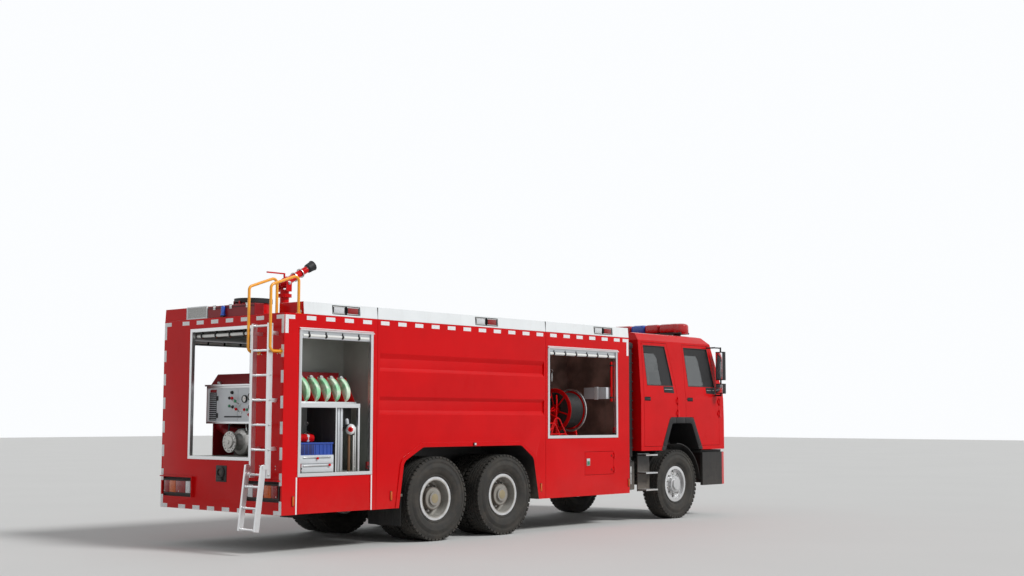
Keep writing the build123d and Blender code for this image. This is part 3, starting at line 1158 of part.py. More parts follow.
FRONT_DOOR = [(CAB_REAR + FRONT_DOOR_BACK[0], DOOR_BOTTOM), (CAB_REAR + FRONT_DOOR_BACK[1], DOOR_TOP),
              (CAB_FRONT - FRONT_DOOR_AHEAD[0], DOOR_TOP), (CAB_FRONT - FRONT_DOOR_AHEAD[1], BELT_Z),
              (CAB_FRONT - FRONT_DOOR_AHEAD[1], DOOR_BOTTOM)]
WINDOW_CORNERS_Z = (WINDOW_Z[0], WINDOW_Z[1], WINDOW_Z[1], WINDOW_Z[0])
REAR_WINDOW = [(CAB_REAR + x, z) for x, z in zip(REAR_WINDOW_X, WINDOW_CORNERS_Z)]
FRONT_WINDOW = [(CAB_REAR + x, z) for x, z in zip(FRONT_WINDOW_X, WINDOW_CORNERS_Z)]
SCREEN = [(-SCREEN_HALF[0], SCREEN_Z[0]), (-SCREEN_HALF[1], SCREEN_Z[1]), (SCREEN_HALF[1], SCREEN_Z[1]),
          (SCREEN_HALF[0], SCREEN_Z[0])]
BACK_LIGHT = [(-BACK_LIGHT_HALF, BACK_LIGHT_Z[0]), (-BACK_LIGHT_HALF, BACK_LIGHT_Z[1]),
              (BACK_LIGHT_HALF, BACK_LIGHT_Z[1]), (BACK_LIGHT_HALF, BACK_LIGHT_Z[0])]
# Doors of a side: name, outline, window, middle of the handle
DOORS = (("rear", REAR_DOOR, REAR_WINDOW, CAB_REAR + REAR_HANDLE),
         ("front", FRONT_DOOR, FRONT_WINDOW, CAB_REAR + FRONT_HANDLE))


def outline_prism(outline, grow, y, mode):
    """Prism of a side outline that is grown or shrunk, between widths y."""
    with BuildSketch(Plane.XZ.offset(-y[0])) as profile:
        with BuildLine():
            Polyline(*outline, close=True)
        make_face()
        if grow:
            offset(amount=grow, kind=Kind.INTERSECTION, mode=Mode.REPLACE)
    extrude(profile.sketch, amount=y[0] - y[1], mode=mode)


def screen_prism(outline, grow, x, mode):
    """Prism of a front outline that is grown or shrunk, between lengths x."""
    with BuildSketch(Plane.YZ.offset(x[0])) as profile:
        with BuildLine():
            Polyline(*outline, close=True)
        make_face()
        if grow:
            offset(amount=grow, kind=Kind.INTERSECTION, mode=Mode.REPLACE)
    extrude(profile.sketch, amount=x[1] - x[0], mode=mode)


def hinge_x(outline):
    """Length of a door's hinge axis, at its foremost edge."""
    return max(point[0] for point in outline) + DOOR_GAP / 2


SCREEN_X = (CAB_FRONT - ROOF_END - CAB_WALL, CAB_FRONT + 1)
BACK_LIGHT_X = (CAB_REAR - 1, CAB_REAR + 2 * CAB_WALL)
DOOR_Y = (HALF_CAB - CAB_WALL - CAB_LEAN - DOOR_SILL, HALF_CAB + HINGE_R)
ARCH_FLARE_Y = HALF_CAB - CAB_WALL - DOOR_GAP
SLAT_STEP = (GRILLE_Z[1] - GRILLE_Z[0] - 2 * GRILLE_FRAME + GRILLE_BAR_H) / GRILLE_SLATS
TILT_POCKET_X = (TILT_X - TILT_PLATE_BACK - DOOR_GAP, CAB_FRONT + 1)
TILT_POCKET_HALF = TILT_EAR_HALF + TILT_SIDE_GAP + TILT_PLATE_T + DOOR_GAP
with BuildPart() as cab_shell:
    add(cab_wall.part)
    screen_prism(SCREEN, 0, SCREEN_X, Mode.SUBTRACT)
    screen_prism(BACK_LIGHT, 0, BACK_LIGHT_X, Mode.SUBTRACT)
    slab((CAB_FRONT, CAB_FRONT + GRILLE_T), (-GRILLE_HALF, GRILLE_HALF), GRILLE_Z)
    for slat in range(GRILLE_SLATS):
        low = GRILLE_Z[0] + GRILLE_FRAME + slat * SLAT_STEP
        slab((CAB_FRONT, CAB_FRONT + GRILLE_T + 1), (GRILLE_FRAME - GRILLE_HALF, GRILLE_HALF - GRILLE_FRAME),
             (low, low + SLAT_STEP - GRILLE_BAR_H), Mode.SUBTRACT)
    for sign, side in SIDES:
        y = span(DOOR_Y, sign)
        for name, outline, window, handle in DOORS:
            outline_prism(outline, 0, y, Mode.SUBTRACT)
        outline_prism(CAB_ARCH, CAB_WALL, span((LOWER_BOX_IN - CAB_WALL, ARCH_FLARE_Y), sign), Mode.ADD)
        outline_prism(CAB_ARCH, ARCH_RIM, span((ARCH_FLARE_Y, HALF_CAB), sign), Mode.ADD)
        outline_prism(CAB_ARCH, 0, span((LOWER_BOX_IN, HALF_CAB + 1), sign), Mode.SUBTRACT)
        slab((CAB_REAR, CAB_FRONT), span((LOWER_BOX_IN - CAB_WALL - 1, HALF_CAB + 1), sign),
             (CAB_BOTTOM - 2 * CAB_WALL, CAB_BOTTOM), Mode.SUBTRACT)
        for name, outline, window, handle in DOORS:
            for z in DOOR_HINGE_Z:
                x = hinge_x(outline)
                slab((x + HINGE_CLEAR, x + HINGE_LEAF_L), span((HALF_CAB, HALF_CAB + HINGE_R), sign),
                     (z - HINGE_H, z + HINGE_H))
                rod_z(x, sign * (HALF_CAB + HINGE_R), HINGE_R, (z - HINGE_H, z + HINGE_H))
                slab((x - HINGE_R - 1, x + HINGE_R + HINGE_CLEAR),
                     span((HALF_CAB, HALF_CAB + 3 * HINGE_R), sign),
                     (z - HINGE_H / 2, z + HINGE_H / 2), Mode.SUBTRACT)
        slab(TILT_POCKET_X, span((TILT_EAR_Y - TILT_POCKET_HALF, TILT_EAR_Y + TILT_POCKET_HALF), sign),
             (CAB_BOTTOM - 1, CAB_BOTTOM + TILT_POCKET_UP), Mode.SUBTRACT)
        y = span((TILT_EAR_Y - TILT_EAR_HALF, TILT_EAR_Y + TILT_EAR_HALF), sign)
        slab((TILT_X - TILT_BOSS_R, CAB_FRONT), y, (TILT_Z, CAB_BOTTOM + TILT_POCKET_UP))
        rod_y(TILT_X, TILT_Z, TILT_BOSS_R, y)
        rod_y(TILT_X, TILT_Z, TILT_PIN_R + PIN_FIT, y, Mode.SUBTRACT)
finish(cab_shell, "cab_shell")

# Windscreen and back light
with BuildPart() as screen_glass:
    add(glass_skin.part)
    screen_prism(SCREEN, -PIN_FIT, SCREEN_X, Mode.INTERSECT)
with BuildPart() as back_glass:
    add(glass_skin.part)
    screen_prism(BACK_LIGHT, -PIN_FIT, BACK_LIGHT_X, Mode.INTERSECT)
with BuildPart() as cab_glass:
    add(screen_glass.part)
    add(back_glass.part)
finish(cab_glass, "cab_glass")

# Doors: the whole wall inside the door's outline, with a handle in a pocket and barrels in front
for sign, side in SIDES:
    y = span(DOOR_Y, sign)
    for name, outline, window, handle in DOORS:
        x = hinge_x(outline)
        with BuildPart() as door:
            add(cab_wall.part)
            outline_prism(outline, -DOOR_GAP, y, Mode.INTERSECT)
            outline_prism(window, 0, y, Mode.SUBTRACT)
            outline_prism(CAB_ARCH, ARCH_RIM + DOOR_GAP, y, Mode.SUBTRACT)
            slab((handle - HANDLE_L / 2, handle + HANDLE_L / 2),
                 span((HALF_CAB - HANDLE_DEPTH, HALF_CAB + 1), sign),
                 (HANDLE_Z - HANDLE_H / 2, HANDLE_Z + HANDLE_H / 2), Mode.SUBTRACT)
            slab((handle - HANDLE_L / 2 - 1, handle + HANDLE_L / 2 + 1),
                 span((HALF_CAB - HANDLE_BAR_T, HALF_CAB), sign),
                 (HANDLE_Z - HANDLE_BAR_H / 2, HANDLE_Z + HANDLE_BAR_H / 2))
            for z in DOOR_HINGE_Z:
                leaf_z = (z - HINGE_H / 2 + PIN_FIT, z + HINGE_H / 2 - PIN_FIT)
                slab((x - HINGE_LEAF_L, x), span((HALF_CAB, HALF_CAB + HINGE_R), sign), leaf_z)
                rod_z(x, sign * (HALF_CAB + HINGE_R), HINGE_R, leaf_z)
        finish(door, f"door_{name}_{side}")
        with BuildPart() as pane:
            add(glass_skin.part)
            outline_prism(window, -PIN_FIT, y, Mode.INTERSECT)
        finish(pane, f"glass_{name}_{side}")

# Mirrors on the front doors: two heads on a pole, held by an arm above and one below the window
MIRROR_X = CAB_FRONT - MIRROR_BACK
POLE_Y = (MIRROR_Y[0] + MIRROR_Y[1]) / 2
for sign, side in SIDES:
    with BuildPart() as mirror:
        for head_z in MIRROR_HEADS_Z:
            with BuildSketch(Plane.XY.offset(head_z[0])) as head:
                with Locations((MIRROR_X, sign * POLE_Y)):
                    RectangleRounded(MIRROR_D, MIRROR_Y[1] - MIRROR_Y[0], MIRROR_D / 4)
            extrude(head.sketch, amount=head_z[1] - head_z[0])
        rod_z(MIRROR_X, sign * POLE_Y, MIRROR_POLE_R,
              (MIRROR_ARMS_Z[0] - MIRROR_POLE_R, MIRROR_ARMS_Z[1] + MIRROR_POLE_R))
        rod_x(sign * POLE_Y, MIRROR_ARMS_Z[1], MIRROR_ARM_R, (CAB_FRONT - MIRROR_ARM_BACK, MIRROR_X))
        rod_y(CAB_FRONT - MIRROR_ARM_BACK, MIRROR_ARMS_Z[1], MIRROR_FOOT_R,
              span((HALF_CAB - 2 * CAB_LEAN, POLE_Y + MIRROR_ARM_R), sign))
        rod_y(MIRROR_X, MIRROR_ARMS_Z[0], MIRROR_FOOT_R, span((HALF_CAB - CAB_WALL, POLE_Y), sign))
        add(cab_block(0), mode=Mode.SUBTRACT)
    finish(mirror, f"mirror_{side}")

# Front seats on pedestals, a bench for the crew, a dashboard and a steering wheel
CAB_FLOOR = TUNNEL_TOP + CAB_WALL
SEAT_Z = HOUSING_Z + CAB_WALL
SEAT_X = CAB_FRONT - SEAT_BACK
BENCH_X = CAB_REAR + CAB_WALL
DASH_X = CAB_FRONT - CAB_WALL - DASH_GAP
# Seat outline seen from the side: distance ahead of the cushion's rear edge, height over the housing
SEAT_OUTLINE = ((0.0, 80.0), (480.0, 80.0), (480.0, 170.0), (430.0, 205.0), (60.0, 185.0), (-20.0, 760.0),
                (-30.0, 880.0), (-90.0, 880.0), (-110.0, 760.0), (-60.0, 120.0))
BENCH_OUTLINE = ((0.0, 0.0), (430.0, 0.0), (430.0, 400.0), (170.0, 385.0), (95.0, 940.0), (0.0, 940.0))
DASH_OUTLINE = ((0.0, 0.0), (0.0, 410.0), (-90.0, 430.0), (-180.0, 380.0), (-270.0, 230.0), (-230.0, 0.0))
with BuildPart() as cab_interior:
    for sign, side in SIDES:
        seat_y = sign * SEAT_Y
        slab((SEAT_X + PEDESTAL_IN, SEAT_X + PEDESTAL_IN + PEDESTAL_L),
             (seat_y - PEDESTAL_HALF, seat_y + PEDESTAL_HALF),
             (SEAT_Z, SEAT_Z + SEAT_OUTLINE[0][1]))
        side_plate([(SEAT_X + x, SEAT_Z + z) for x, z in SEAT_OUTLINE],
                   (seat_y - SEAT_HALF, seat_y + SEAT_HALF))
    side_plate([(BENCH_X + x, CAB_FLOOR + z) for x, z in BENCH_OUTLINE], (-BENCH_HALF, BENCH_HALF))
    side_plate([(DASH_X + x, DASH_Z + z) for x, z in DASH_OUTLINE], (-DASH_HALF, DASH_HALF))
    slab((DASH_X - 1, DASH_X + DASH_GAP), (-GRILLE_HALF, GRILLE_HALF), (DASH_Z, DASH_Z + DASH_FOOT_H))
    column = Plane((DASH_X - WHEEL_BACK, SEAT_Y, WHEEL_Z), x_dir=(0, 1, 0),
                   z_dir=(-cos(radians(WHEEL_LEAN)), 0, sin(radians(WHEEL_LEAN))))
    with BuildSketch(column) as shaft:
        Circle(COLUMN_R)
    extrude(shaft.sketch, amount=-COLUMN_L)
    with BuildSketch(column) as spokes:
        Rectangle(2 * WHEEL_R, 2 * COLUMN_R)
    extrude(spokes.sketch, amount=-WHEEL_RIM_R)
    with BuildSketch(Plane(column.origin, x_dir=column.x_dir, z_dir=column.y_dir)) as grip:
        with Locations((WHEEL_R, 0)):
            Circle(WHEEL_RIM_R)
    revolve(grip.sketch, axis=Axis(column.origin, column.z_dir))
finish(cab_interior, "cab_interior")

# Light bar on two feet, its ends rounded in plan
BAR_X = CAB_REAR + BAR_BACK
with BuildPart() as light_bar:
    with BuildSketch(Plane.XY.offset(CAB_TOP + BAR_FOOT_H)) as plan:
        with Locations((BAR_X, 0)):
            RectangleRounded(BAR_D, 2 * BAR_HALF, BAR_ROUND)
    extrude(plan.sketch, amount=BAR_H)
    for y in (-BAR_FOOT_Y, BAR_FOOT_Y):
        slab((BAR_X - BAR_FOOT_HALF, BAR_X + BAR_FOOT_HALF), (y - BAR_FOOT_HALF, y + BAR_FOOT_HALF),
             (CAB_TOP, CAB_TOP + BAR_FOOT_H))
finish(light_bar, "light_bar")

# Mudguards round the front wheels, carried by bars from the rails
with BuildPart() as mudguards:
    for sign, side in SIDES:
        for end, outer in ((-1, STEP_PLATE_Y - DOOR_GAP), (1, HALF_CAB - CAB_WALL)):
            y = span((GUARD_IN, outer), sign)
            with BuildSketch(Plane.XZ.offset(-y[0])) as arc:
                with Locations((AXLE_3, AXLE_Z)):
                    Circle(GUARD_R + GUARD_T)
                    Circle(GUARD_R, mode=Mode.SUBTRACT)
                    with Locations((0, GUARD_LOW - GUARD_R)):
                        Rectangle(4 * GUARD_R, 2 * GUARD_R, mode=Mode.SUBTRACT)
                    with Locations((-end * GUARD_R, 0)):
                        Rectangle(2 * GUARD_R, 4 * GUARD_R, mode=Mode.SUBTRACT)
            extrude(arc.sketch, amount=y[0] - y[1])
            bar = sorted((AXLE_3 + end * (GUARD_R + GUARD_BAR_OFF), AXLE_3 + end * (GUARD_R + GUARD_BAR)))
            slab(bar, span((RAIL_OUT, outer), sign), (AXLE_Z + GUARD_LOW, AXLE_Z + GUARD_LOW + GUARD_BAR_H))
            slab(bar, span((RAIL_OUT, RAIL_OUT + GUARD_T), sign),
                 (AXLE_Z + GUARD_LOW, RAIL_BOTTOM + 2 * GUARD_BAR))
finish(mudguards, "mudguards")

# Steps behind each front wheel, on a plate that hangs from the rail
STEP_X = (CAB_REAR + STEP_START, AXLE_3 - STEP_END)
with BuildPart() as cab_steps:
    for sign, side in SIDES:
        slab(STEP_X, span((STEP_PLATE_Y, STEP_PLATE_Y + STEP_PLATE_T), sign),
             (STEP_Z[0] - STEP_T, STEP_Z[2] + STEP_T))
        slab((STEP_X[0], STEP_X[0] + STEP_ARM), span((RAIL_OUT, STEP_PLATE_Y + 1), sign),
             (RAIL_TOP - 2 * STEP_ARM, RAIL_TOP - STEP_ARM))
        for z in STEP_Z:
            slab(STEP_X, span((STEP_PLATE_Y + STEP_PLATE_T, HALF_W - STEP_IN), sign),
                 (z - STEP_T / 2, z + STEP_T / 2))
finish(cab_steps, "cab_steps")

# Front bumper, bowed in plan and hollow behind, with intake slots and headlamp openings
CORNER_X = NOSE - BUMPER_BOW
CORNER_Y = HALF_CAB - BUMPER_CORNER_IN
BUMPER_REAR_X = CAB_REAR + BUMPER_REAR


def bumper_prism(inset, past, z, mode):
    """The bumper's outline in plan, drawn in and carried back past its rear end, between heights z."""
    corner = (CORNER_X - inset, CORNER_Y - inset)
    side = HALF_CAB - inset
    with BuildSketch(Plane.XY.offset(z[0])) as plan:
        with BuildLine():
            ThreePointArc((corner[0], -corner[1]), (NOSE - inset, 0), corner)
            Polyline(corner, (CORNER_X - BUMPER_TURN, side), (BUMPER_REAR_X - past, side),
                     (BUMPER_REAR_X - past, -side), (CORNER_X - BUMPER_TURN, -side), (corner[0], -corner[1]))
        make_face()
    extrude(plan.sketch, amount=z[1] - z[0], mode=mode)


with BuildPart() as front_bumper:
    bumper_prism(0, 0, BUMPER_Z, Mode.ADD)
    bumper_prism(BUMPER_T, 1, BUMPER_Z, Mode.SUBTRACT)
    for z in INTAKES_Z:
        slab((CORNER_X, NOSE + 1), (-INTAKE_HALF, INTAKE_HALF), z, Mode.SUBTRACT)
    for sign, side in SIDES:
        slab((CORNER_X - BUMPER_T, NOSE), span(HEADLAMP_Y, sign), HEADLAMP_Z, Mode.SUBTRACT)
        slab((RAIL_X[1], NOSE - BUMPER_T), span((RAIL_IN, RAIL_OUT), sign),
             (INTAKES_Z[1][1] + DOOR_GAP, RAIL_TOP - CROSS_DROP[0]))
finish(front_bumper, "front_bumper")

# Lamps: pairs in the roof fairings, markers low on the sides, tail lamps, and headlamps that follow the bow
with BuildPart() as lamps:
    bumper_prism(HEADLAMP_SET, 0, (HEADLAMP_Z[0] + PIN_FIT, HEADLAMP_Z[1] - PIN_FIT), Mode.ADD)
    bumper_prism(BUMPER_T, 1, HEADLAMP_Z, Mode.SUBTRACT)
    slab((BUMPER_REAR_X - 1, CORNER_X - BUMPER_T), (-HALF_CAB, HALF_CAB), HEADLAMP_Z, Mode.SUBTRACT)
    slab((BUMPER_REAR_X, NOSE), (-HEADLAMP_Y[0] - PIN_FIT, HEADLAMP_Y[0] + PIN_FIT), HEADLAMP_Z,
         Mode.SUBTRACT)
    for sign, side in SIDES:
        slab((BUMPER_REAR_X, NOSE), span((HEADLAMP_Y[1] - PIN_FIT, HALF_CAB), sign), HEADLAMP_Z,
             Mode.SUBTRACT)
    for sign, side in SIDES:
        y = span((HALF_W - FAIRING_LEAN - LAMP_RECESS, HALF_W - FAIRING_LEAN - SEAM), sign)
        for lamp in LAMP_X:
            for place in (0, LAMP_L + LAMP_GAP):
                slab((REAR_X + lamp + place, REAR_X + lamp + place + LAMP_L), y,
                     (LAMP_Z - LAMP_H / 2, LAMP_Z + LAMP_H / 2))
        for x in MARKER_X:
            slab((REAR_X + x - MARKER_HALF, REAR_X + x + MARKER_HALF),
                 span((HALF_W, HALF_W + MARKER_OUT), sign), MARKER_Z)
        slab((REAR_X + TAIL_SET, REAR_X + TAIL_DEPTH),
             span((TAIL_Y[0] + TAIL_RIM, TAIL_Y[1] - TAIL_RIM), sign),
             (TAIL_Z[0] + TAIL_RIM, TAIL_Z[1] - TAIL_RIM))
finish(lamps, "lamps")

# Steering knuckles: ears above and below the boss, and the stub for the wheel
FRONT_STUB_END = FRONT_TRACK / 2 + FRONT_STUB_PAST
EAR_TOP = BOSS_H / 2 + PIN_FIT + KNUCKLE_EAR_T
KNUCKLE_OUT = (KINGPIN_Y + BOSS_R + KNUCKLE_GAP, KINGPIN_Y + BOSS_R + KNUCKLE_GAP + KNUCKLE_PLATE_T)
for sign, side in SIDES:
    with BuildPart() as knuckle:
        for low in (AXLE_Z + EAR_TOP - KNUCKLE_EAR_T, AXLE_Z - EAR_TOP):
            rod_z(AXLE_3, sign * KINGPIN_Y, BOSS_R, (low, low + KNUCKLE_EAR_T))
            slab((AXLE_3 - BEAM_HALF_X, AXLE_3 + BEAM_HALF_X), span((KINGPIN_Y, KNUCKLE_OUT[1]), sign),
                 (low, low + KNUCKLE_EAR_T))
        rod_z(AXLE_3, sign * KINGPIN_Y, KINGPIN_R, (AXLE_Z - EAR_TOP, AXLE_Z + EAR_TOP))
        slab((AXLE_3 - BEAM_HALF_X - 1, AXLE_3 + BEAM_HALF_X + 1), span(KNUCKLE_OUT, sign),
             (AXLE_Z - EAR_TOP, AXLE_Z + EAR_TOP))
        rod_y(AXLE_3, AXLE_Z, STUB_R, span((KNUCKLE_OUT[0], FRONT_STUB_END), sign))
    finish(knuckle, f"knuckle_{side}")

# Tyre section: distance from the tyre's middle plane, radius
TYRE_HALF = TYRE_W / 2
BEAD_Y = RIM_W / 2 - RIM_LIP - PIN_FIT
TYRE_EDGE = ((BEAD_Y, BEAD_R), (BEAD_Y, RIM_FLANGE_R + PIN_FIT),
             (TYRE_HALF - TYRE_BULGE, RIM_FLANGE_R + 3 * TYRE_BULGE),
             (TYRE_HALF, (BEAD_R + TYRE_R) / 2), (TYRE_HALF - TYRE_BULGE, TYRE_R - 4 * TYRE_BULGE),
             (TYRE_HALF - TREAD_IN, TYRE_R - TREAD_CROWN))
TYRE = TYRE_EDGE + ((0.0, TYRE_R),) + tuple((-width, radius) for width, radius in reversed(TYRE_EDGE))


def tyre(x, y):
    """One tyre with its middle plane at width y."""
    ring_y(x, AXLE_Z, [(y + width, radius) for width, radius in TYRE])


def rim(x, y, sign, disc, hub_out, hub_r, drum):
    """One wheel: rim well, disc with hand holes, hub and, with drum, the brake drum inside it.

    The disc's middle and the hub's outer end lie outwards of the wheel's middle plane y.
    """
    half = RIM_W / 2
    well = BEAD_R - PIN_FIT
    bore = STUB_R + PIN_FIT
    behind = [(DRUM_IN - half, bore), (DRUM_IN - half, DRUM_R), (disc - RIM_LIP, DRUM_R)]
    if not drum:
        behind = [(disc - RIM_LIP, bore)]
    section = behind + [(disc - RIM_LIP, well - RIM_T), (-half, well - RIM_T), (-half, RIM_FLANGE_R),
                        (RIM_LIP - half, RIM_FLANGE_R), (RIM_LIP - half, well), (half - RIM_LIP, well),
                        (half - RIM_LIP, RIM_FLANGE_R), (half, RIM_FLANGE_R), (half, well - RIM_T),
                        (disc + RIM_LIP, well - RIM_T), (disc + RIM_LIP, hub_r), (hub_out, hub_r), (hub_out,
                                                                                                    bore)]
    ring_y(x, AXLE_Z, [(y + sign * width, radius) for width, radius in section])
    faces = span((abs(y) + disc - RIM_LIP - 1, abs(y) + disc + RIM_LIP + 1), sign)
    with BuildSketch(Plane.XZ.offset(-faces[0])) as hand_holes:
        with Locations((x, AXLE_Z)):
            with PolarLocations(HAND_HOLE_RING, HAND_HOLES):
                Circle(HAND_HOLE_R)
    extrude(hand_holes.sketch, amount=faces[0] - faces[1], mode=Mode.SUBTRACT)


# Front wheels
for sign, side in SIDES:
    y = sign * FRONT_TRACK / 2
    with BuildPart() as front_tyre:
        tyre(AXLE_3, y)
    finish(front_tyre, f"tyre_front_{side}")
    with BuildPart() as front_rim:
        rim(AXLE_3, y, sign, FRONT_DISC, FRONT_HUB_OUT, FRONT_HUB_R, True)
        cap = FRONT_TRACK / 2 + FRONT_HUB_OUT
        rod_y(AXLE_3, AXLE_Z, CAP_R, span((cap - 1, cap + CAP_H), sign))
    finish(front_rim, f"rim_front_{side}")

# Twin wheels of the two rear axles: place name, axle length
for axle, x in (("back", AXLE_1), ("middle", AXLE_2)):
    for sign, side in SIDES:
        inner = sign * (REAR_TRACK - TWIN_PITCH) / 2
        outer = sign * (REAR_TRACK + TWIN_PITCH) / 2
        with BuildPart() as twin_tyres:
            tyre(x, inner)
            tyre(x, outer)
        finish(twin_tyres, f"tyres_{axle}_{side}")
        with BuildPart() as twin_rims:
            rim(x, inner, sign, INNER_DISC, TWIN_PITCH + OUTER_DISC, REAR_HUB_R, True)
            rim(x, outer, sign, OUTER_DISC, OUTER_HUB_OUT, REAR_HUB_R, False)
            cap = abs(outer) + OUTER_HUB_OUT
            rod_y(x, AXLE_Z, CAP_R, span((cap - 1, cap + CAP_H), sign))
        finish(twin_rims, f"rims_{axle}_{side}")
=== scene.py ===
import json
import logging
from dataclasses import dataclass, field
from enum import Enum
from math import cos, pi, radians, sin
from typing import Callable, Iterable, Sequence

import bmesh
import bpy
from mathutils import Matrix, Vector


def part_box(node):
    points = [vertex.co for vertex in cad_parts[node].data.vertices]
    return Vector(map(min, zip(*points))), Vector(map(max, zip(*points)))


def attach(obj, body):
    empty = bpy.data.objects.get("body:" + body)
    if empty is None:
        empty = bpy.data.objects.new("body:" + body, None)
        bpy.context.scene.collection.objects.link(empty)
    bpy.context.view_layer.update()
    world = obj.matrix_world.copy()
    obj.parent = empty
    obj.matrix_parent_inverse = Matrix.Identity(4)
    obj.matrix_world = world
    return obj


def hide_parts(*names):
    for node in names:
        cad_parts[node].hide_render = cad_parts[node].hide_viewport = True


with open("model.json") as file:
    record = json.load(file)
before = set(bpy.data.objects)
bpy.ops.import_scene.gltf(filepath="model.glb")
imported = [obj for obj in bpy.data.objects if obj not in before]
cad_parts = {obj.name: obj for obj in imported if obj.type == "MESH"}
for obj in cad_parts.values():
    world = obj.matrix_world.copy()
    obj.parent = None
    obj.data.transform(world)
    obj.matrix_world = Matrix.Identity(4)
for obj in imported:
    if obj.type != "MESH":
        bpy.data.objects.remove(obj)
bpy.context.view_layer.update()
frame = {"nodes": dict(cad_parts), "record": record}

# Foam fire truck: finishes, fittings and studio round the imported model, in metres.

LOG = logging.getLogger("foam_truck")
Point = Sequence[float]
Colour = tuple[float, float, float]
DUST: Colour = (0.30, 0.25, 0.20)

# Stations of the truck, taken from the frame
SEAM_1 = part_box("tank_body")[0].x
SEAM_2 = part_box("front_body")[0].x
REAR = SEAM_1 - 1.534
BODY_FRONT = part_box("front_body")[1].x
CAB_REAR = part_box("cab_shell")[0].x
CAB_FRONT = CAB_REAR + 2.400
HALF_W = 1.250
HALF_CAB = 1.245
BODY_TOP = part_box("tank_body")[1].z
FAIRING_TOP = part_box("roof_fairings")[1].z
CAB_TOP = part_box("cab_shell")[1].z
AXLE_Z = 0.562
AXLES = (REAR + 2.654, REAR + 4.004, REAR + 8.329)
HANDLES = {"rear": 0.180, "front": 1.380}


class Side(Enum):
    """The two sides of the truck, as the sign of their widths."""

    RIGHT = -1
    LEFT = 1


class Way(Enum):
    """Directions that a panel or a bolt can face."""

    BACK = (-1.0, 0.0, 0.0)
    RIGHT = (0.0, -1.0, 0.0)
    LEFT = (0.0, 1.0, 0.0)


class Wire:
    """A shader socket that takes part in Python expressions."""

    def __init__(self, book: "NodeBook", socket: bpy.types.NodeSocket) -> None:
        """Keep the socket and the book that its nodes are written in.

        Args:
            book: The node book of the material.
            socket: The output socket to wrap.
        """
        self.book = book
        self.socket = socket

    def _math(self, operation: str, first: "Wire | float", second: "Wire | float") -> "Wire":
        """Add one Math node.

        Args:
            operation: The node's operation.
            first: Its first operand.
            second: Its second operand.

        Returns:
            The result.
        """
        return self.book.node("ShaderNodeMath", {"operation": operation}, {0: first, 1: second})

    def __add__(self, other: "Wire | float") -> "Wire":
        """Sum of two values."""
        return self._math("ADD", self, other)

    def __sub__(self, other: "Wire | float") -> "Wire":
        """Difference of two values."""
        return self._math("SUBTRACT", self, other)

    def __rsub__(self, other: "Wire | float") -> "Wire":
        """Difference with a number on the left."""
        return self._math("SUBTRACT", other, self)

    def __mul__(self, other: "Wire | float") -> "Wire":
        """Product of two values."""
        return self._math("MULTIPLY", self, other)

    def __truediv__(self, other: "Wire | float") -> "Wire":
        """Quotient of two values."""
        return self._math("DIVIDE", self, other)

    def __pow__(self, other: "Wire | float") -> "Wire":
        """Power of a value."""
        return self._math("POWER", self, other)

    def __mod__(self, other: "Wire | float") -> "Wire":
        """Rest of a division, never negative."""
        return self._math("FLOORED_MODULO", self, other)

    def larger(self, other: "Wire | float") -> "Wire":
        """The larger of two values."""
        return self._math("MAXIMUM", self, other)

    def sine(self) -> "Wire":
        """Sine of the value."""
        return self._math("SINE", self, 0.0)

    def ramp(self, low: float, high: float, start: float = 0.0, end: float = 1.0) -> "Wire":
        """Smooth step between two values.

        Args:
            low: Value where the step starts.
            high: Value where it ends.
            start: Result at the low value.
            end: Result at the high value.

        Returns:
            The stepped value.
        """
        return self.book.node(
            "ShaderNodeMapRange", {"interpolation_type": "SMOOTHSTEP"},
            {"Value": self, "From Min": low, "From Max": high, "To Min": start, "To Max": end})


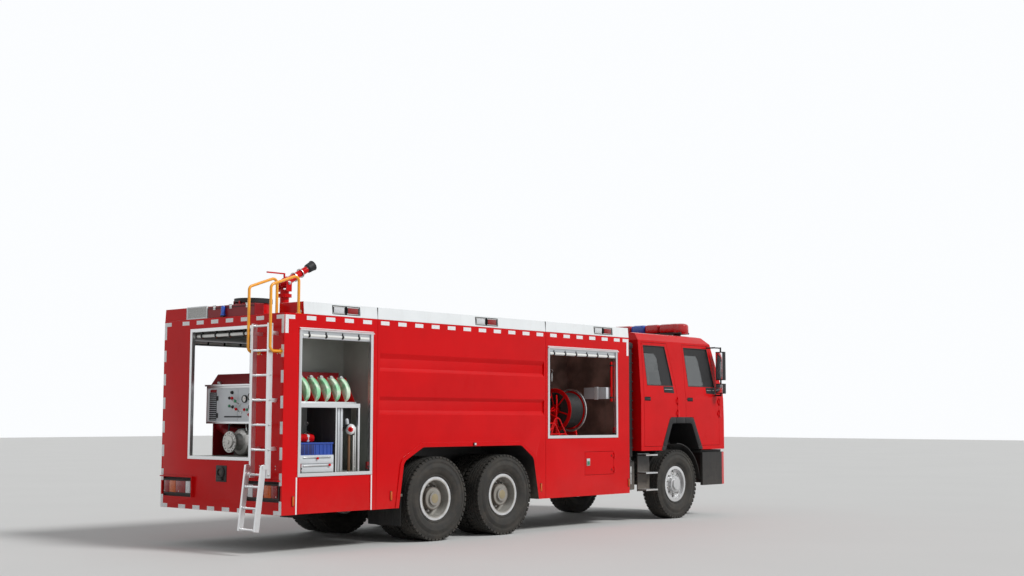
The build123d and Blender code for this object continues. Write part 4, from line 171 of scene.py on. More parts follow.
class NodeBook:
    """The node tree of one material or of the world."""

    def __init__(self, owner: "bpy.types.Material | bpy.types.World") -> None:
        """Start with an empty tree.

        Args:
            owner: The material or world.
        """
        self.owner = owner
        owner.use_nodes = True
        self.tree = owner.node_tree
        self.tree.nodes.clear()

    def node(self, kind: str, settings: dict, sockets: dict, out: "int | str" = 0) -> Wire:
        """Add a node, set it up, then fill its sockets.

        Args:
            kind: The node's type.
            settings: Its own settings.
            sockets: Values or wires by socket name or number.
            out: The output that is wanted.

        Returns:
            That output.
        """
        made = self.tree.nodes.new(kind)
        for key, value in settings.items():
            setattr(made, key, value)
        for key, value in sockets.items():
            if isinstance(value, Wire):
                self.tree.links.new(value.socket, made.inputs[key])
            else:
                made.inputs[key].default_value = value
        return Wire(self, made.outputs[out])

    def place(self) -> Wire:
        """Object coordinates of the surface."""
        return self.node("ShaderNodeTexCoord", {}, {}, "Object")

    def part_of(self, vector: Wire, axis: int) -> Wire:
        """One coordinate of a vector, by number."""
        return self.node("ShaderNodeSeparateXYZ", {}, {0: vector}, axis)

    def stretched(self, vector: Wire, scale: Point) -> Wire:
        """A vector with each coordinate scaled."""
        return self.node("ShaderNodeVectorMath", {"operation": "MULTIPLY"}, {0: vector, 1: tuple(scale)})

    def noise(self, vector: Wire, scale: float, detail: float = 3.0, roughness: float = 0.5) -> Wire:
        """Cloudy pattern between nought and one.

        Args:
            vector: Where it is read.
            scale: Clouds to a metre.
            detail: Finer octaves.
            roughness: How strong the finer octaves are.

        Returns:
            The pattern.
        """
        return self.node("ShaderNodeTexNoise", {},
                         {"Vector": vector, "Scale": scale, "Detail": detail, "Roughness": roughness}, "Fac")

    def mix(self, factor: "Wire | float", first: "Wire | Colour", second: "Wire | Colour") -> Wire:
        """Blend of two colours.

        Args:
            factor: Share of the second colour.
            first: The first colour.
            second: The second colour.

        Returns:
            The blend.
        """
        ends = [value if isinstance(value, Wire) else (*value, 1.0) for value in (first, second)]
        return self.node("ShaderNodeMix", {"data_type": "RGBA"}, {0: factor, 6: ends[0], 7: ends[1]}, 2)

    def bump(self, height: Wire, distance: float) -> Wire:
        """Surface normal of a relief between nought and one, that is some metres deep."""
        return self.node("ShaderNodeBump", {}, {"Height": height, "Distance": distance, "Strength": 1.0},
                         "Normal")

    def close(self, shader: Wire, kind: str) -> None:
        """Join a shader to an output node of some kind."""
        output = self.tree.nodes.new(kind)
        self.tree.links.new(shader.socket, output.inputs["Surface"])


def shaded(colour: Colour, share: float) -> Colour:
    """A colour with each channel scaled, up to one."""
    return tuple(min(1.0, channel * share) for channel in colour)


@dataclass(frozen=True)
class Finish:
    """What every finish has: a name and a way to write its nodes."""

    name: str

    def sockets(self, book: NodeBook, place: Wire) -> dict:
        """Write the finish's own nodes.

        Args:
            book: The material's book.
            place: The object coordinates.

        Returns:
            Values and wires of the Principled shader.
        """
        raise NotImplementedError

    def material(self) -> bpy.types.Material:
        """Write the whole material.

        Returns:
            The material.
        """
        book = NodeBook(bpy.data.materials.new(self.name))
        book.close(book.node("ShaderNodeBsdfPrincipled", {}, self.sockets(book, book.place())),
                   "ShaderNodeOutputMaterial")
        return book.owner


@dataclass(frozen=True)
class Coat(Finish):
    """Paint, moulded plastic or cast metal with mottling, grain, dust and dirt runs."""

    colour: Colour
    roughness: float = 0.4
    metallic: float = 0.0
    clear: float = 0.0
    mottle: float = 0.12
    mottle_scale: float = 2.0
    grain: float = 0.0002
    grain_scale: float = 180.0
    dust: float = 0.35
    dust_low: float = 0.30
    dust_high: float = 1.50
    runs: float = 0.10
    shine: float = 0.5

    def sockets(self, book: NodeBook, place: Wire) -> dict:
        """Write the coat's nodes.

        Args:
            book: The material's book.
            place: The object coordinates.

        Returns:
            Values and wires of the shader.
        """
        clouds = book.noise(place, self.mottle_scale, 4.0)
        fine = book.noise(place, self.grain_scale, 2.0)
        specks = book.noise(place, 14.0, 6.0, 0.7)
        runs = book.noise(book.stretched(place, (22.0, 22.0, 0.9)), 1.0, 3.0, 0.6).ramp(0.52, 0.78)
        low = book.part_of(place, 2).ramp(self.dust_high, self.dust_low)
        cover = low * specks.ramp(0.25, 0.75, 0.35, 1.0) * self.dust + runs * self.runs
        ground = book.mix(clouds.ramp(0.3, 0.7), shaded(self.colour, 1.0 - self.mottle),
                          shaded(self.colour, 1.0 + self.mottle))
        return {"Base Color": book.mix(cover, ground, DUST), "Metallic": self.metallic,
                "Roughness": fine * 0.04 + clouds * 0.05 + cover * 0.4 + (self.roughness - 0.04),
                "Coat Weight": self.clear, "Coat Roughness": 0.05, "Coat IOR": 1.35,
                "Specular IOR Level": self.shine, "Normal": book.bump(fine, self.grain)}


@dataclass(frozen=True)
class Brushed(Finish):
    """Bare or anodised metal with fine brush lines along one axis."""

    colour: Colour
    roughness: float = 0.32
    along: tuple[float, float, float] = (2.0, 2.0, 160.0)
    dust: float = 0.15

    def sockets(self, book: NodeBook, place: Wire) -> dict:
        """Write the metal's nodes.

        Args:
            book: The material's book.
            place: The object coordinates.

        Returns:
            Values and wires of the shader.
        """
        lines = book.noise(book.stretched(place, self.along), 3.0, 4.0, 0.6)
        clouds = book.noise(place, 3.0, 4.0)
        grime = book.part_of(place, 2).ramp(1.6, 0.3) * clouds * self.dust
        ground = book.mix(lines, shaded(self.colour, 0.82), self.colour)
        return {"Base Color": book.mix(grime, ground, DUST), "Metallic": 1.0 - grime,
                "Roughness": lines * 0.16 + clouds * 0.1 + (self.roughness - 0.1),
                "Normal": book.bump(lines, 0.0001)}


@dataclass(frozen=True)
class Rubber(Finish):
    """Tyre rubber, greyed by dust on the tread and in the moulded rings."""

    colour: Colour = (0.016, 0.015, 0.013)
    wear: float = 0.30

    def sockets(self, book: NodeBook, place: Wire) -> dict:
        """Write the rubber's nodes.

        Args:
            book: The material's book.
            place: The object coordinates.

        Returns:
            Values and wires of the shader.
        """
        clouds = book.noise(place, 5.0, 5.0, 0.65)
        fine = book.noise(place, 220.0, 2.0)
        cover = clouds.ramp(0.35, 0.75) * self.wear
        return {"Base Color": book.mix(cover, self.colour, (0.105, 0.088, 0.068)),
                "Roughness": fine * 0.1 + cover * 0.15 + 0.72, "Normal": book.bump(fine, 0.0004)}


@dataclass(frozen=True)
class Lens(Finish):
    """Moulded lamp lens with prisms behind a smooth face."""

    colour: Colour
    pitch: float = 110.0
    glow: float = 0.04

    def sockets(self, book: NodeBook, place: Wire) -> dict:
        """Write the lens's nodes.

        Args:
            book: The material's book.
            place: The object coordinates.

        Returns:
            Values and wires of the shader.
        """
        across = (book.part_of(place, 0) + book.part_of(place, 1)) * (2 * pi * self.pitch)
        up = book.part_of(place, 2) * (2 * pi * self.pitch)
        prisms = across.sine() * up.sine() * 0.5 + 0.5
        colour = book.mix(prisms, shaded(self.colour, 0.45), self.colour)
        return {"Base Color": colour, "Roughness": 0.16, "Coat Weight": 0.4, "Coat Roughness": 0.03,
                "Specular IOR Level": 0.3, "Emission Color": colour, "Emission Strength": self.glow,
                "Normal": book.bump(prisms, 0.0006)}


@dataclass(frozen=True)
class Pane(Finish):
    """Tinted window glass with a faint film of dust."""

    colour: Colour = (0.045, 0.055, 0.060)
    cover: float = 0.62

    def sockets(self, book: NodeBook, place: Wire) -> dict:
        """Write the glass's nodes."""
        film = book.noise(place, 4.0, 5.0, 0.7)
        return {"Base Color": book.mix(film * 0.12, self.colour, (0.5, 0.5, 0.48)), "IOR": 1.5,
                "Roughness": film * 0.04 + 0.02, "Alpha": film * 0.08 + self.cover, "Coat Weight": 1.0,
                "Coat Roughness": 0.02}


@dataclass(frozen=True)
class Woven(Finish):
    """Woven hose jacket: a fine diagonal weave, with rings of painted shade where the roll's layers lie on
    each other.
    """

    colour: Colour
    second: Colour
    centre: tuple[float, float] = (0.0, 0.0)
    layer: float = 0.0095
    threads: float = 1900.0

    def sockets(self, book: NodeBook, place: Wire) -> dict:
        """Write the jacket's nodes.

        Args:
            book: The material's book.
            place: The object coordinates.

        Returns:
            Values and wires of the shader.
        """
        across = book.part_of(place, 1) - self.centre[0]
        up = book.part_of(place, 2) - self.centre[1]
        radius = (across * across + up * up) ** 0.5
        rings = ((radius % self.layer) / self.layer).ramp(0.0, 0.35)
        warp = ((book.part_of(place, 0) + across) * self.threads).sine()
        weave = warp * ((up - across) * self.threads).sine() * 0.5 + 0.5
        colour = book.mix(book.noise(place, 9.0, 4.0).ramp(0.4, 0.6), self.colour, self.second)
        # Painted shade: the colour is darkened where the roll's layers meet.
        shade = book.mix(rings, shaded(self.colour, 0.35), colour)
        return {"Base Color": book.mix(weave * 0.25, shade, self.second), "Roughness": 0.85,
                "Normal": book.bump(rings * 0.8 + weave * 0.2, 0.0015)}


@dataclass(frozen=True)
class Reflective(Finish):
    """Reflective tape with a honeycomb of cells."""

    colour: Colour
    cell: float = 260.0

    def sockets(self, book: NodeBook, place: Wire) -> dict:
        """Write the tape's nodes.

        Args:
            book: The material's book.
            place: The object coordinates.

        Returns:
            Values and wires of the shader.
        """
        cells = book.node("ShaderNodeTexVoronoi", {"feature": "DISTANCE_TO_EDGE"},
                          {"Vector": place, "Scale": self.cell}, "Distance").ramp(0.0, 0.12)
        clouds = book.noise(place, 6.0, 3.0)
        ground = book.mix(cells * clouds.ramp(0.1, 0.5), shaded(self.colour, 0.72), self.colour)
        return {"Base Color": ground, "Roughness": clouds * 0.1 + 0.28, "Coat Weight": 0.4,
                "Normal": book.bump(cells, 0.0001)}


@dataclass(frozen=True)
class Chequer(Finish):
    """Chequered tread plate: raised bars that alternate in direction."""

    colour: Colour
    pitch: float = 0.032
    metallic: float = 0.9

    def sockets(self, book: NodeBook, place: Wire) -> dict:
        """Write the plate's nodes.

        Args:
            book: The material's book.
            place: The object coordinates.

        Returns:
            Values and wires of the shader.
        """
        turn = pi / self.pitch
        one = ((book.part_of(place, 0) + book.part_of(place, 1)) * turn).sine()
        other = ((book.part_of(place, 0) - book.part_of(place, 1)) * turn).sine()
        bars = (one * other).ramp(0.45, 0.75)
        clouds = book.noise(place, 3.0, 5.0, 0.65)
        dirt = clouds.ramp(0.35, 0.7) * (1.0 - bars) * 0.6
        return {"Base Color": book.mix(dirt, self.colour, DUST), "Metallic": (1.0 - dirt) * self.metallic,
                "Roughness": clouds * 0.25 + 0.3, "Normal": book.bump(bars, 0.0015)}


@dataclass(frozen=True)
class Perforated(Finish):
    """White sheet with round holes."""

    colour: Colour
    pitch: float = 0.016

    def sockets(self, book: NodeBook, place: Wire) -> dict:
        """Write the sheet's nodes.

        Args:
            book: The material's book.
            place: The object coordinates.

        Returns:
            Values and wires of the shader.
        """
        turn = 2 * pi / self.pitch
        across = ((book.part_of(place, 0) + book.part_of(place, 1)) * turn).sine()
        holes = (across * (book.part_of(place, 2) * turn).sine()).ramp(0.15, 0.35)
        clouds = book.noise(place, 7.0, 4.0)
        ground = book.mix(clouds * 0.4, self.colour, shaded(self.colour, 0.7))
        return {"Base Color": book.mix(holes, ground, (0.05, 0.05, 0.05)), "Roughness": clouds * 0.1 + 0.4,
                "Normal": book.bump(1.0 - holes, 0.002)}


@dataclass(frozen=True)
class Dished(Finish):
    """Rear rim: silver flange, dusty barrel, a dish darkened as painted shade and grey hub, by the distance
    from the axle.
    """

    centre: float

    def sockets(self, book: NodeBook, place: Wire) -> dict:
        """Write the rim's nodes.

        Args:
            book: The material's book.
            place: The object coordinates.

        Returns:
            Values and wires of the shader.
        """
        across = book.part_of(place, 0) - self.centre
        up = book.part_of(place, 2) - AXLE_Z
        clouds = book.noise(place, 11.0, 5.0, 0.65)
        radius = (across * across + up * up) ** 0.5 + (clouds - 0.5) * 0.012
        barrel = radius.ramp(0.268, 0.254)
        colour = book.mix(barrel, (0.66, 0.67, 0.68), (0.38, 0.37, 0.34))
        # The first ring is painted shade that darkens the recessed dish; the second is the grey hub.
        for start, end, inner in ((0.222, 0.204, (0.12, 0.105, 0.09)), (0.142, 0.132, (0.27, 0.26, 0.235))):
            colour = book.mix(radius.ramp(start, end), colour, inner)
        colour = book.mix(clouds.ramp(0.35, 0.75) * 0.35, colour, (0.16, 0.13, 0.10))
        return {"Base Color": colour, "Metallic": (1.0 - barrel) * 0.35,
                "Roughness": barrel * 0.25 + clouds * 0.1 + 0.28, "Normal": book.bump(clouds, 0.0006)}


@dataclass(frozen=True)
class FloorPaint(Finish):
    """Matt pale paint of the studio's floor."""

    def sockets(self, book: NodeBook, place: Wire) -> dict:
        """Write the paint's nodes."""
        clouds = book.noise(place, 0.35, 4.0)
        return {"Base Color": book.mix(clouds, (0.60, 0.60, 0.59), (0.65, 0.65, 0.64)),
                "Roughness": clouds * 0.1 + 0.75}


@dataclass(frozen=True)
class Finishes:
    """Every finish of the truck, by the place where it is used."""

    red: Finish = Coat("red_coachwork", (0.60, 0.002, 0.004), 0.28, clear=0.14, mottle=0.05, dust=0.07,
                       dust_high=1.00, runs=0.006, shine=0.10)
    # Dark red paint, which on the roof locker's rear face is painted shade, a darker copy of the red.
    dark_red_and_painted_shade: Finish = Coat("dark_red_paint", (0.22, 0.004, 0.008), 0.42, clear=0.1, dust=0.1, runs=0.03,
                            shine=0.3)
    white: Finish = Coat("white_fairing_paint", (0.80, 0.83, 0.84), 0.25, clear=0.6, mottle=0.03, dust=0.0)
    # Pale grey locker liner, darkened as painted shade for the shaded insides of the lockers.
    liner: Finish = Coat("pale_locker_liner", (0.36, 0.38, 0.35), 0.45, metallic=0.15)
    dim_liner: Finish = Coat("brown_locker_liner", (0.30, 0.185, 0.155), 0.7, mottle=0.45, mottle_scale=3.0,
                             runs=0.25)
    black: Finish = Coat("satin_chassis_black", (0.018, 0.018, 0.019), 0.45, dust=0.55, dust_high=1.2,
                         runs=0.05)
    trim: Finish = Coat("moulded_black_trim", (0.013, 0.013, 0.014), 0.55, grain=0.0005, grain_scale=420.0,
                        dust=0.12, runs=0.04, shine=0.35)
    cloth: Finish = Coat("grey_cab_cloth", (0.060, 0.062, 0.068), 0.9, grain=0.0012, grain_scale=700.0,
                         dust=0.0, runs=0.0)
    iron: Finish = Coat("dusty_axle_iron", (0.030, 0.029, 0.028), 0.62, metallic=0.2, grain=0.0012,
                        grain_scale=60.0, dust=0.65)
    casting: Finish = Coat("silver_pump_casting", (0.48, 0.47, 0.45), 0.38, metallic=0.75, grain=0.0010,
                           grain_scale=110.0, dust=0.1)
    rim: Finish = Coat("silver_wheel_paint", (0.62, 0.63, 0.64), 0.30, metallic=0.35, clear=0.3, dust=0.22,
                       dust_low=0.2, dust_high=1.4, runs=0.02)
    yellow: Finish = Coat("yellow_rail_paint", (0.90, 0.36, 0.008), 0.28, clear=0.6, mottle=0.05, runs=0.02)
    grey: Finish = Coat("cabinet_grey_paint", (0.60, 0.63, 0.66), 0.35, mottle=0.05, clear=0.2, runs=0.05)
    blue: Finish = Coat("blue_crate_plastic", (0.015, 0.060, 0.34), 0.45, grain=0.0004, dust=0.05)
    navy: Finish = Coat("navy_crate_plastic", (0.006, 0.014, 0.11), 0.45, grain=0.0004, dust=0.05)
    wood: Finish = Coat("brown_pole_varnish", (0.20, 0.085, 0.030), 0.4, clear=0.3, mottle=0.3)
    hose: Finish = Coat("black_hose_rubber", (0.012, 0.012, 0.012), 0.6, grain=0.0006, dust=0.1)
    light_tube: Finish = Coat("white_light_tube", (0.82, 0.83, 0.80), 0.3, mottle=0.03, grain=0.0, dust=0.0,
                              runs=0.03)
    green_grip: Finish = Coat("green_grip_plastic", (0.02, 0.20, 0.09), 0.35, clear=0.3, dust=0.0, runs=0.0)
    yellow_cap: Finish = Coat("worn_yellow_cap", (0.24, 0.20, 0.11), 0.5, mottle=0.4, dust=0.3)
    aluminium: Finish = Brushed("satin_aluminium", (0.78, 0.79, 0.80))
    slats: Finish = Brushed("shutter_aluminium", (0.60, 0.62, 0.64), 0.36, (2.0, 160.0, 160.0))
    steel: Finish = Brushed("bright_steel", (0.62, 0.62, 0.61), 0.26, (60.0, 60.0, 60.0), 0.25)
    mirror: Finish = Brushed("mirror_face", (0.80, 0.82, 0.84), 0.11, (3.0, 3.0, 3.0), 0.0)
    rubber: Finish = Rubber("tyre_rubber")
    seal: Finish = Rubber("rubber_seal", (0.012, 0.012, 0.012), 0.12)
    bar_red: Finish = Lens("light_bar_red", (0.62, 0.010, 0.014), 60.0)
    clear_lens: Finish = Lens("clear_lens", (0.82, 0.84, 0.86), 90.0)
    red_lens: Finish = Lens("red_lens", (0.34, 0.003, 0.004))
    amber_lens: Finish = Lens("amber_lens", (0.72, 0.12, 0.004))
    blue_lens: Finish = Lens("blue_lens", (0.03, 0.12, 0.65), 60.0)
    glass: Finish = Pane("tinted_glass")
    tape: Finish = Reflective("white_tape", (0.86, 0.87, 0.88))
    plate: Finish = Chequer("tread_plate", (0.62, 0.63, 0.64))
    mesh_sheet: Finish = Perforated("white_mesh_sheet", (0.74, 0.74, 0.72))


COATS = Finishes()
MATERIALS: dict[str, bpy.types.Material] = {}


def material_of(finish: Finish) -> bpy.types.Material:
    """The material of a finish, written on its first use.

    Args:
        finish: The finish.

    Returns:
        Its material.
    """
    if finish.name not in MATERIALS:
        MATERIALS[finish.name] = finish.material()
    return MATERIALS[finish.name]


def facing(direction: Point) -> Matrix:
    """Turn that brings +Z to a direction of any length, as a 4 x 4 matrix."""
    return Vector(direction).to_track_quat("Z", "Y").to_matrix().to_4x4()


def soften(shape: bmesh.types.BMesh, edges: Iterable[bmesh.types.BMEdge], width: float,
           segments: int = 2) -> None:
    """Round edges of a shape.

    Args:
        shape: The shape.
        edges: The edges.
        width: How far back the rounding starts.
        segments: Its steps.
    """
    bmesh.ops.bevel(shape, geom=list(edges), offset=width, offset_type="OFFSET", segments=segments,
                    profile=0.5, affect="EDGES", clamp_overlap=True, material=-1)


def rounded_route(points: Sequence[Point], bend: float, steps: int = 5) -> list[Vector]:
    """A route whose inner corners are turned into arcs.

    Args:
        points: The route's corners.
        bend: How far from each corner its arc starts.
        steps: Stretches in an arc.

    Returns:
        The points of the rounded route.
    """
    corners = [Vector(point) for point in points]
    route = [corners[0]]
    for before, corner, after in zip(corners, corners[1:], corners[2:]):
        reach = min(bend, (corner - before).length / 2.01, (after - corner).length / 2.01)
        start = corner + (before - corner).normalized() * reach
        end = corner + (after - corner).normalized() * reach
        for step in range(steps + 1):
            share = step / steps
            route.append(start * (1 - share) ** 2 + corner * 2 * share * (1 - share) + end * share ** 2)
    return route + [corners[-1]]


def at(along: float, across: float, up: float) -> Vector:
    """Point of the truck, measured forward from the rear face."""
    return Vector((REAR + along, across, up))


def circle(middle: Vector, radius: float, count: int, axis: int, phase: float = 0.0) -> list[Vector]:
    """Points spread evenly on a circle.

    Args:
        middle: The circle's middle.
        radius: Its radius.
        count: How many points.
        axis: Number of the axis that it goes round.
        phase: Where the first point lies, as a share of the pitch.

    Returns:
        The points.
    """
    points = []
    for step in range(count):
        turn = (step + phase) * 2 * pi / count
        spot = [radius * cos(turn), radius * sin(turn)]
        spot.insert(axis, 0.0)
        points.append(middle + Vector(spot))
    return points


def piece_of(name: str, shape: bmesh.types.BMesh, finishes: Sequence[Finish],
             crease: float = 32.0) -> bpy.types.Object:
    """Make an object of a shape and free the shape.

    Args:
        name: The object's name.
        shape: The shape.
        finishes: Its finishes, in the order of its faces' material numbers.
        crease: Angle in degrees over which an edge is sharp.

    Returns:
        The object.
    """
    mesh = bpy.data.meshes.new(name)
    shape.to_mesh(mesh)
    shape.free()
    for finish in finishes:
        mesh.materials.append(material_of(finish))
    mesh.set_sharp_from_angle(angle=radians(crease))
    piece = bpy.data.objects.new(name, mesh)
    bpy.context.scene.collection.objects.link(piece)
    return piece


@dataclass
class Bench:
    """Where shapes, each with its own finish, grow into a piece."""

    mesh: bmesh.types.BMesh = field(default_factory=bmesh.new, init=False)
    finishes: list[Finish] = field(default_factory=list, init=False)

    def add(self, shape: bmesh.types.BMesh, *finishes: Finish) -> None:
        """Take a shape in and free it.

        Args:
            shape: The shape.
            finishes: Its finishes, in the order of its faces' material numbers.
        """
        for finish in finishes:
            if finish not in self.finishes:
                self.finishes.append(finish)
        for face in shape.faces:
            face.material_index = self.finishes.index(finishes[face.material_index])
            face.smooth = True
        carrier = bpy.data.meshes.new("carrier")
        shape.to_mesh(carrier)
        shape.free()
        self.mesh.from_mesh(carrier)
        bpy.data.meshes.remove(carrier)

    def block(self, low: Point, high: Point, finish: Finish, edge: float = 0.003,
              turn: Matrix | None = None) -> None:
        """Add a block with rounded edges.

        Args:
            low: One corner.
            high: The corner across from it.
            finish: Its finish.
            edge: The rounding of its edges.
            turn: A turn about its own middle.
        """
        shape = bmesh.new()
        bmesh.ops.create_cube(shape, size=1.0)
        size = [abs(b - a) for a, b in zip(low, high)]
        bmesh.ops.scale(shape, vec=size, verts=shape.verts)
        if edge:
            soften(shape, shape.edges[:], min(edge, min(size) / 2.2))
        middle = (Vector(low) + Vector(high)) / 2
        bmesh.ops.transform(shape, matrix=Matrix.Translation(middle) @ (turn or Matrix()), verts=shape.verts)
        self.add(shape, finish)

    def blocks(self, finish: Finish, edge: float, *rows: Sequence[float], both: bool = False) -> None:
        """Add blocks from their limits along, across and up the truck.

        Args:
            finish: Their finish.
            edge: The rounding of their edges.
            rows: Two limits along, two across and two up for each.
            both: Whether each stands on both sides of the truck.
        """
        for x0, x1, y0, y1, z0, z1 in rows:
            for sign in (1, -1) if both else (1,):
                self.block(at(x0, sign * y0, z0), at(x1, sign * y1, z1), finish, edge)

    def rod(self, start: Point, end: Point, radius: float, finish: Finish, sides: int = 24,
            edge: float = 0.0, taper: float = 1.0) -> None:
        """Add a round or many-sided bar between two points.

        Args:
            start: Middle of its first end.
            end: Middle of its other end.
            radius: Its radius at the first end.
            finish: Its finish.
            sides: How many sides it has.
            edge: The rounding of its two rims.
            taper: Radius at the other end as a share of the first.
        """
        shape = bmesh.new()
        run = Vector(end) - Vector(start)
        bmesh.ops.create_cone(shape, cap_ends=True, cap_tris=False, segments=sides, radius1=radius,
                              radius2=radius * taper, depth=run.length)
        if edge:
            rims = [e for e in shape.edges if any(len(face.verts) > 4 for face in e.link_faces)]
            soften(shape, rims, edge)
        middle = (Vector(start) + Vector(end)) / 2
        bmesh.ops.transform(shape, matrix=Matrix.Translation(middle) @ facing(run), verts=shape.verts)
        self.add(shape, finish)

    def loop(self, corners: Sequence[Vector], radius: float, finish: Finish) -> None:
        """Add a closed ring of straight bars.

        Args:
            corners: Where they meet.
            radius: Their radius.
            finish: Their finish.
        """
        for first, second in zip(corners, [*corners[1:], corners[0]]):
            self.rod(first, second, radius, finish, 12)

    def turned(self, profile: Sequence[tuple[float, float]], origin: Point, axis: Point, finish: Finish,
               steps: int = 48, ring: bool = False) -> None:
        """Add a turned piece.

        Args:
            profile: Rows of distance along the axis and radius.
            origin: Where the axis starts.
            axis: Its direction.
            finish: The piece's finish.
            steps: Facets of the full turn.
            ring: Whether the profile closes on itself, as in a ring.
        """
        shape = bmesh.new()
        verts = [shape.verts.new((radius, 0.0, along)) for along, radius in profile]
        edges = [shape.edges.new(pair) for pair in zip(verts, verts[1:])]
        if ring:
            edges.append(shape.edges.new((verts[-1], verts[0])))
        bmesh.ops.spin(shape, geom=verts + edges, cent=(0, 0, 0), axis=(0, 0, 1), angle=2 * pi, steps=steps,
                       use_merge=True)
        bmesh.ops.remove_doubles(shape, verts=shape.verts, dist=1e-5)
        bmesh.ops.recalc_face_normals(shape, faces=shape.faces)
        bmesh.ops.transform(shape, matrix=Matrix.Translation(origin) @ facing(axis), verts=shape.verts)
        self.add(shape, finish)

    def pipe(self, points: Sequence[Point], radius: float, finish: Finish, bend: float = 0.05) -> None:
        """Add a bent pipe.

        Args:
            points: The corners of its route.
            radius: Its radius.
            finish: Its finish.
            bend: How far from a corner the bend starts.
        """
        curve = bpy.data.curves.new("route", "CURVE")
        curve.dimensions = "3D"
        curve.bevel_depth = radius
        curve.bevel_resolution = 3
        curve.use_fill_caps = True
        route = rounded_route(points, bend)
        spline = curve.splines.new("POLY")
        spline.points.add(len(route) - 1)
        for point, place in zip(spline.points, route):
            point.co = (*place, 1.0)
        carrier = bpy.data.objects.new("route", curve)
        drawn = bpy.data.meshes.new_from_object(carrier)
        shape = bmesh.new()
        shape.from_mesh(drawn)
        bmesh.ops.remove_doubles(shape, verts=shape.verts, dist=1e-5)
        bmesh.ops.recalc_face_normals(shape, faces=shape.faces)
        bpy.data.objects.remove(carrier)
        bpy.data.curves.remove(curve)
        bpy.data.meshes.remove(drawn)
        self.add(shape, finish)

    def plate(self, outline: Sequence[Point], rise: Point, finish: Finish, edge: float = 0.0) -> None:
        """Add a plate of any outline.

        Args:
            outline: Its corners, in one plane.
            rise: The way and distance that it is thick.
            finish: Its finish.
            edge: The rounding of its edges.
        """
        shape = bmesh.new()
        face = shape.faces.new([shape.verts.new(point) for point in outline])
        grown = bmesh.ops.extrude_face_region(shape, geom=[face])
        moved = [item for item in grown["geom"] if isinstance(item, bmesh.types.BMVert)]
        bmesh.ops.translate(shape, vec=Vector(rise), verts=moved)
        bmesh.ops.recalc_face_normals(shape, faces=shape.faces)
        if edge:
            soften(shape, shape.edges[:], edge)
        self.add(shape, finish)

    def bolts(self, places: Iterable[Point], way: Point, radius: float, finish: Finish) -> None:
        """Add hexagon heads on washers.

        Args:
            places: Where they sit.
            way: The way they face.
            radius: Radius over the corners.
            finish: Their finish.
        """
        direction = Vector(way).normalized()
        for place in places:
            seat = Vector(place)
            self.rod(seat, seat + direction * radius * 0.25, radius * 1.25, finish, 16)
            self.rod(seat + direction * radius * 0.25, seat + direction * radius, radius, finish, 6,
                     radius * 0.12)

    def done(self, name: str, body: str, slot: str, replaced: Sequence[str] = ()) -> bpy.types.Object:
        """End the piece, let it ride on its body, and clear the bench.

        Args:
            name: The piece's name.
            body: The CAD body that carries it.
            slot: The record's material slot; not used.
            replaced: CAD nodes that it stands for.

        Returns:
            The piece.
        """
        piece = piece_of(name, self.mesh, self.finishes)
        self.mesh, self.finishes = bmesh.new(), []
        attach(piece, body)
        if replaced:
            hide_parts(*replaced)
        LOG.info("%s: %d faces on %s", name, len(piece.data.polygons), body)
        return piece


Painter = Callable[[Vector, Vector], Finish]
BODY_OF = {node: body for body, nodes in frame["record"]["behaviour"]["bodies"].items() for node in nodes}


def skin(node: str, paint: Painter | Finish, edge: float = 0.003, start: float = -99.0,
         crease: float = 32.0) -> None:
    """Dress a CAD node: a merged copy with rounded edges, and a finish for each face.

    Args:
        node: The CAD node's name.
        paint: One finish, or what gives a face's finish from its middle and its normal.
        edge: The rounding of its edges.
        start: What lies behind this station is left to other pieces.
        crease: Angle in degrees over which an edge is sharp.
    """
    shape = bmesh.new()
    shape.from_mesh(frame["nodes"][node].data)
    bmesh.ops.remove_doubles(shape, verts=shape.verts, dist=2e-5)
    bmesh.ops.dissolve_limit(shape, angle_limit=radians(0.4), verts=shape.verts, edges=shape.edges)
    behind = [vert for vert in shape.verts if vert.co.x < start]
    bmesh.ops.delete(shape, geom=behind, context="VERTS")
    finishes: list[Finish] = []
    for face in shape.faces:
        finish = paint(face.calc_center_bounds(), face.normal) if callable(paint) else paint
        if finish not in finishes:
            finishes.append(finish)
        face.material_index = finishes.index(finish)
        face.smooth = True
    piece = piece_of(f"{node}_dressed", shape, finishes, crease)
    if edge:
        rounding = piece.modifiers.new("rounding", "BEVEL")
        rounding.width = edge
        rounding.segments = 2
        rounding.limit_method = "ANGLE"
        rounding.angle_limit = radians(crease + 2.0)
        rounding.harden_normals = True
    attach(piece, BODY_OF[node])
    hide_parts(node)
    LOG.info("%s dressed: %d faces", node, len(piece.data.polygons))


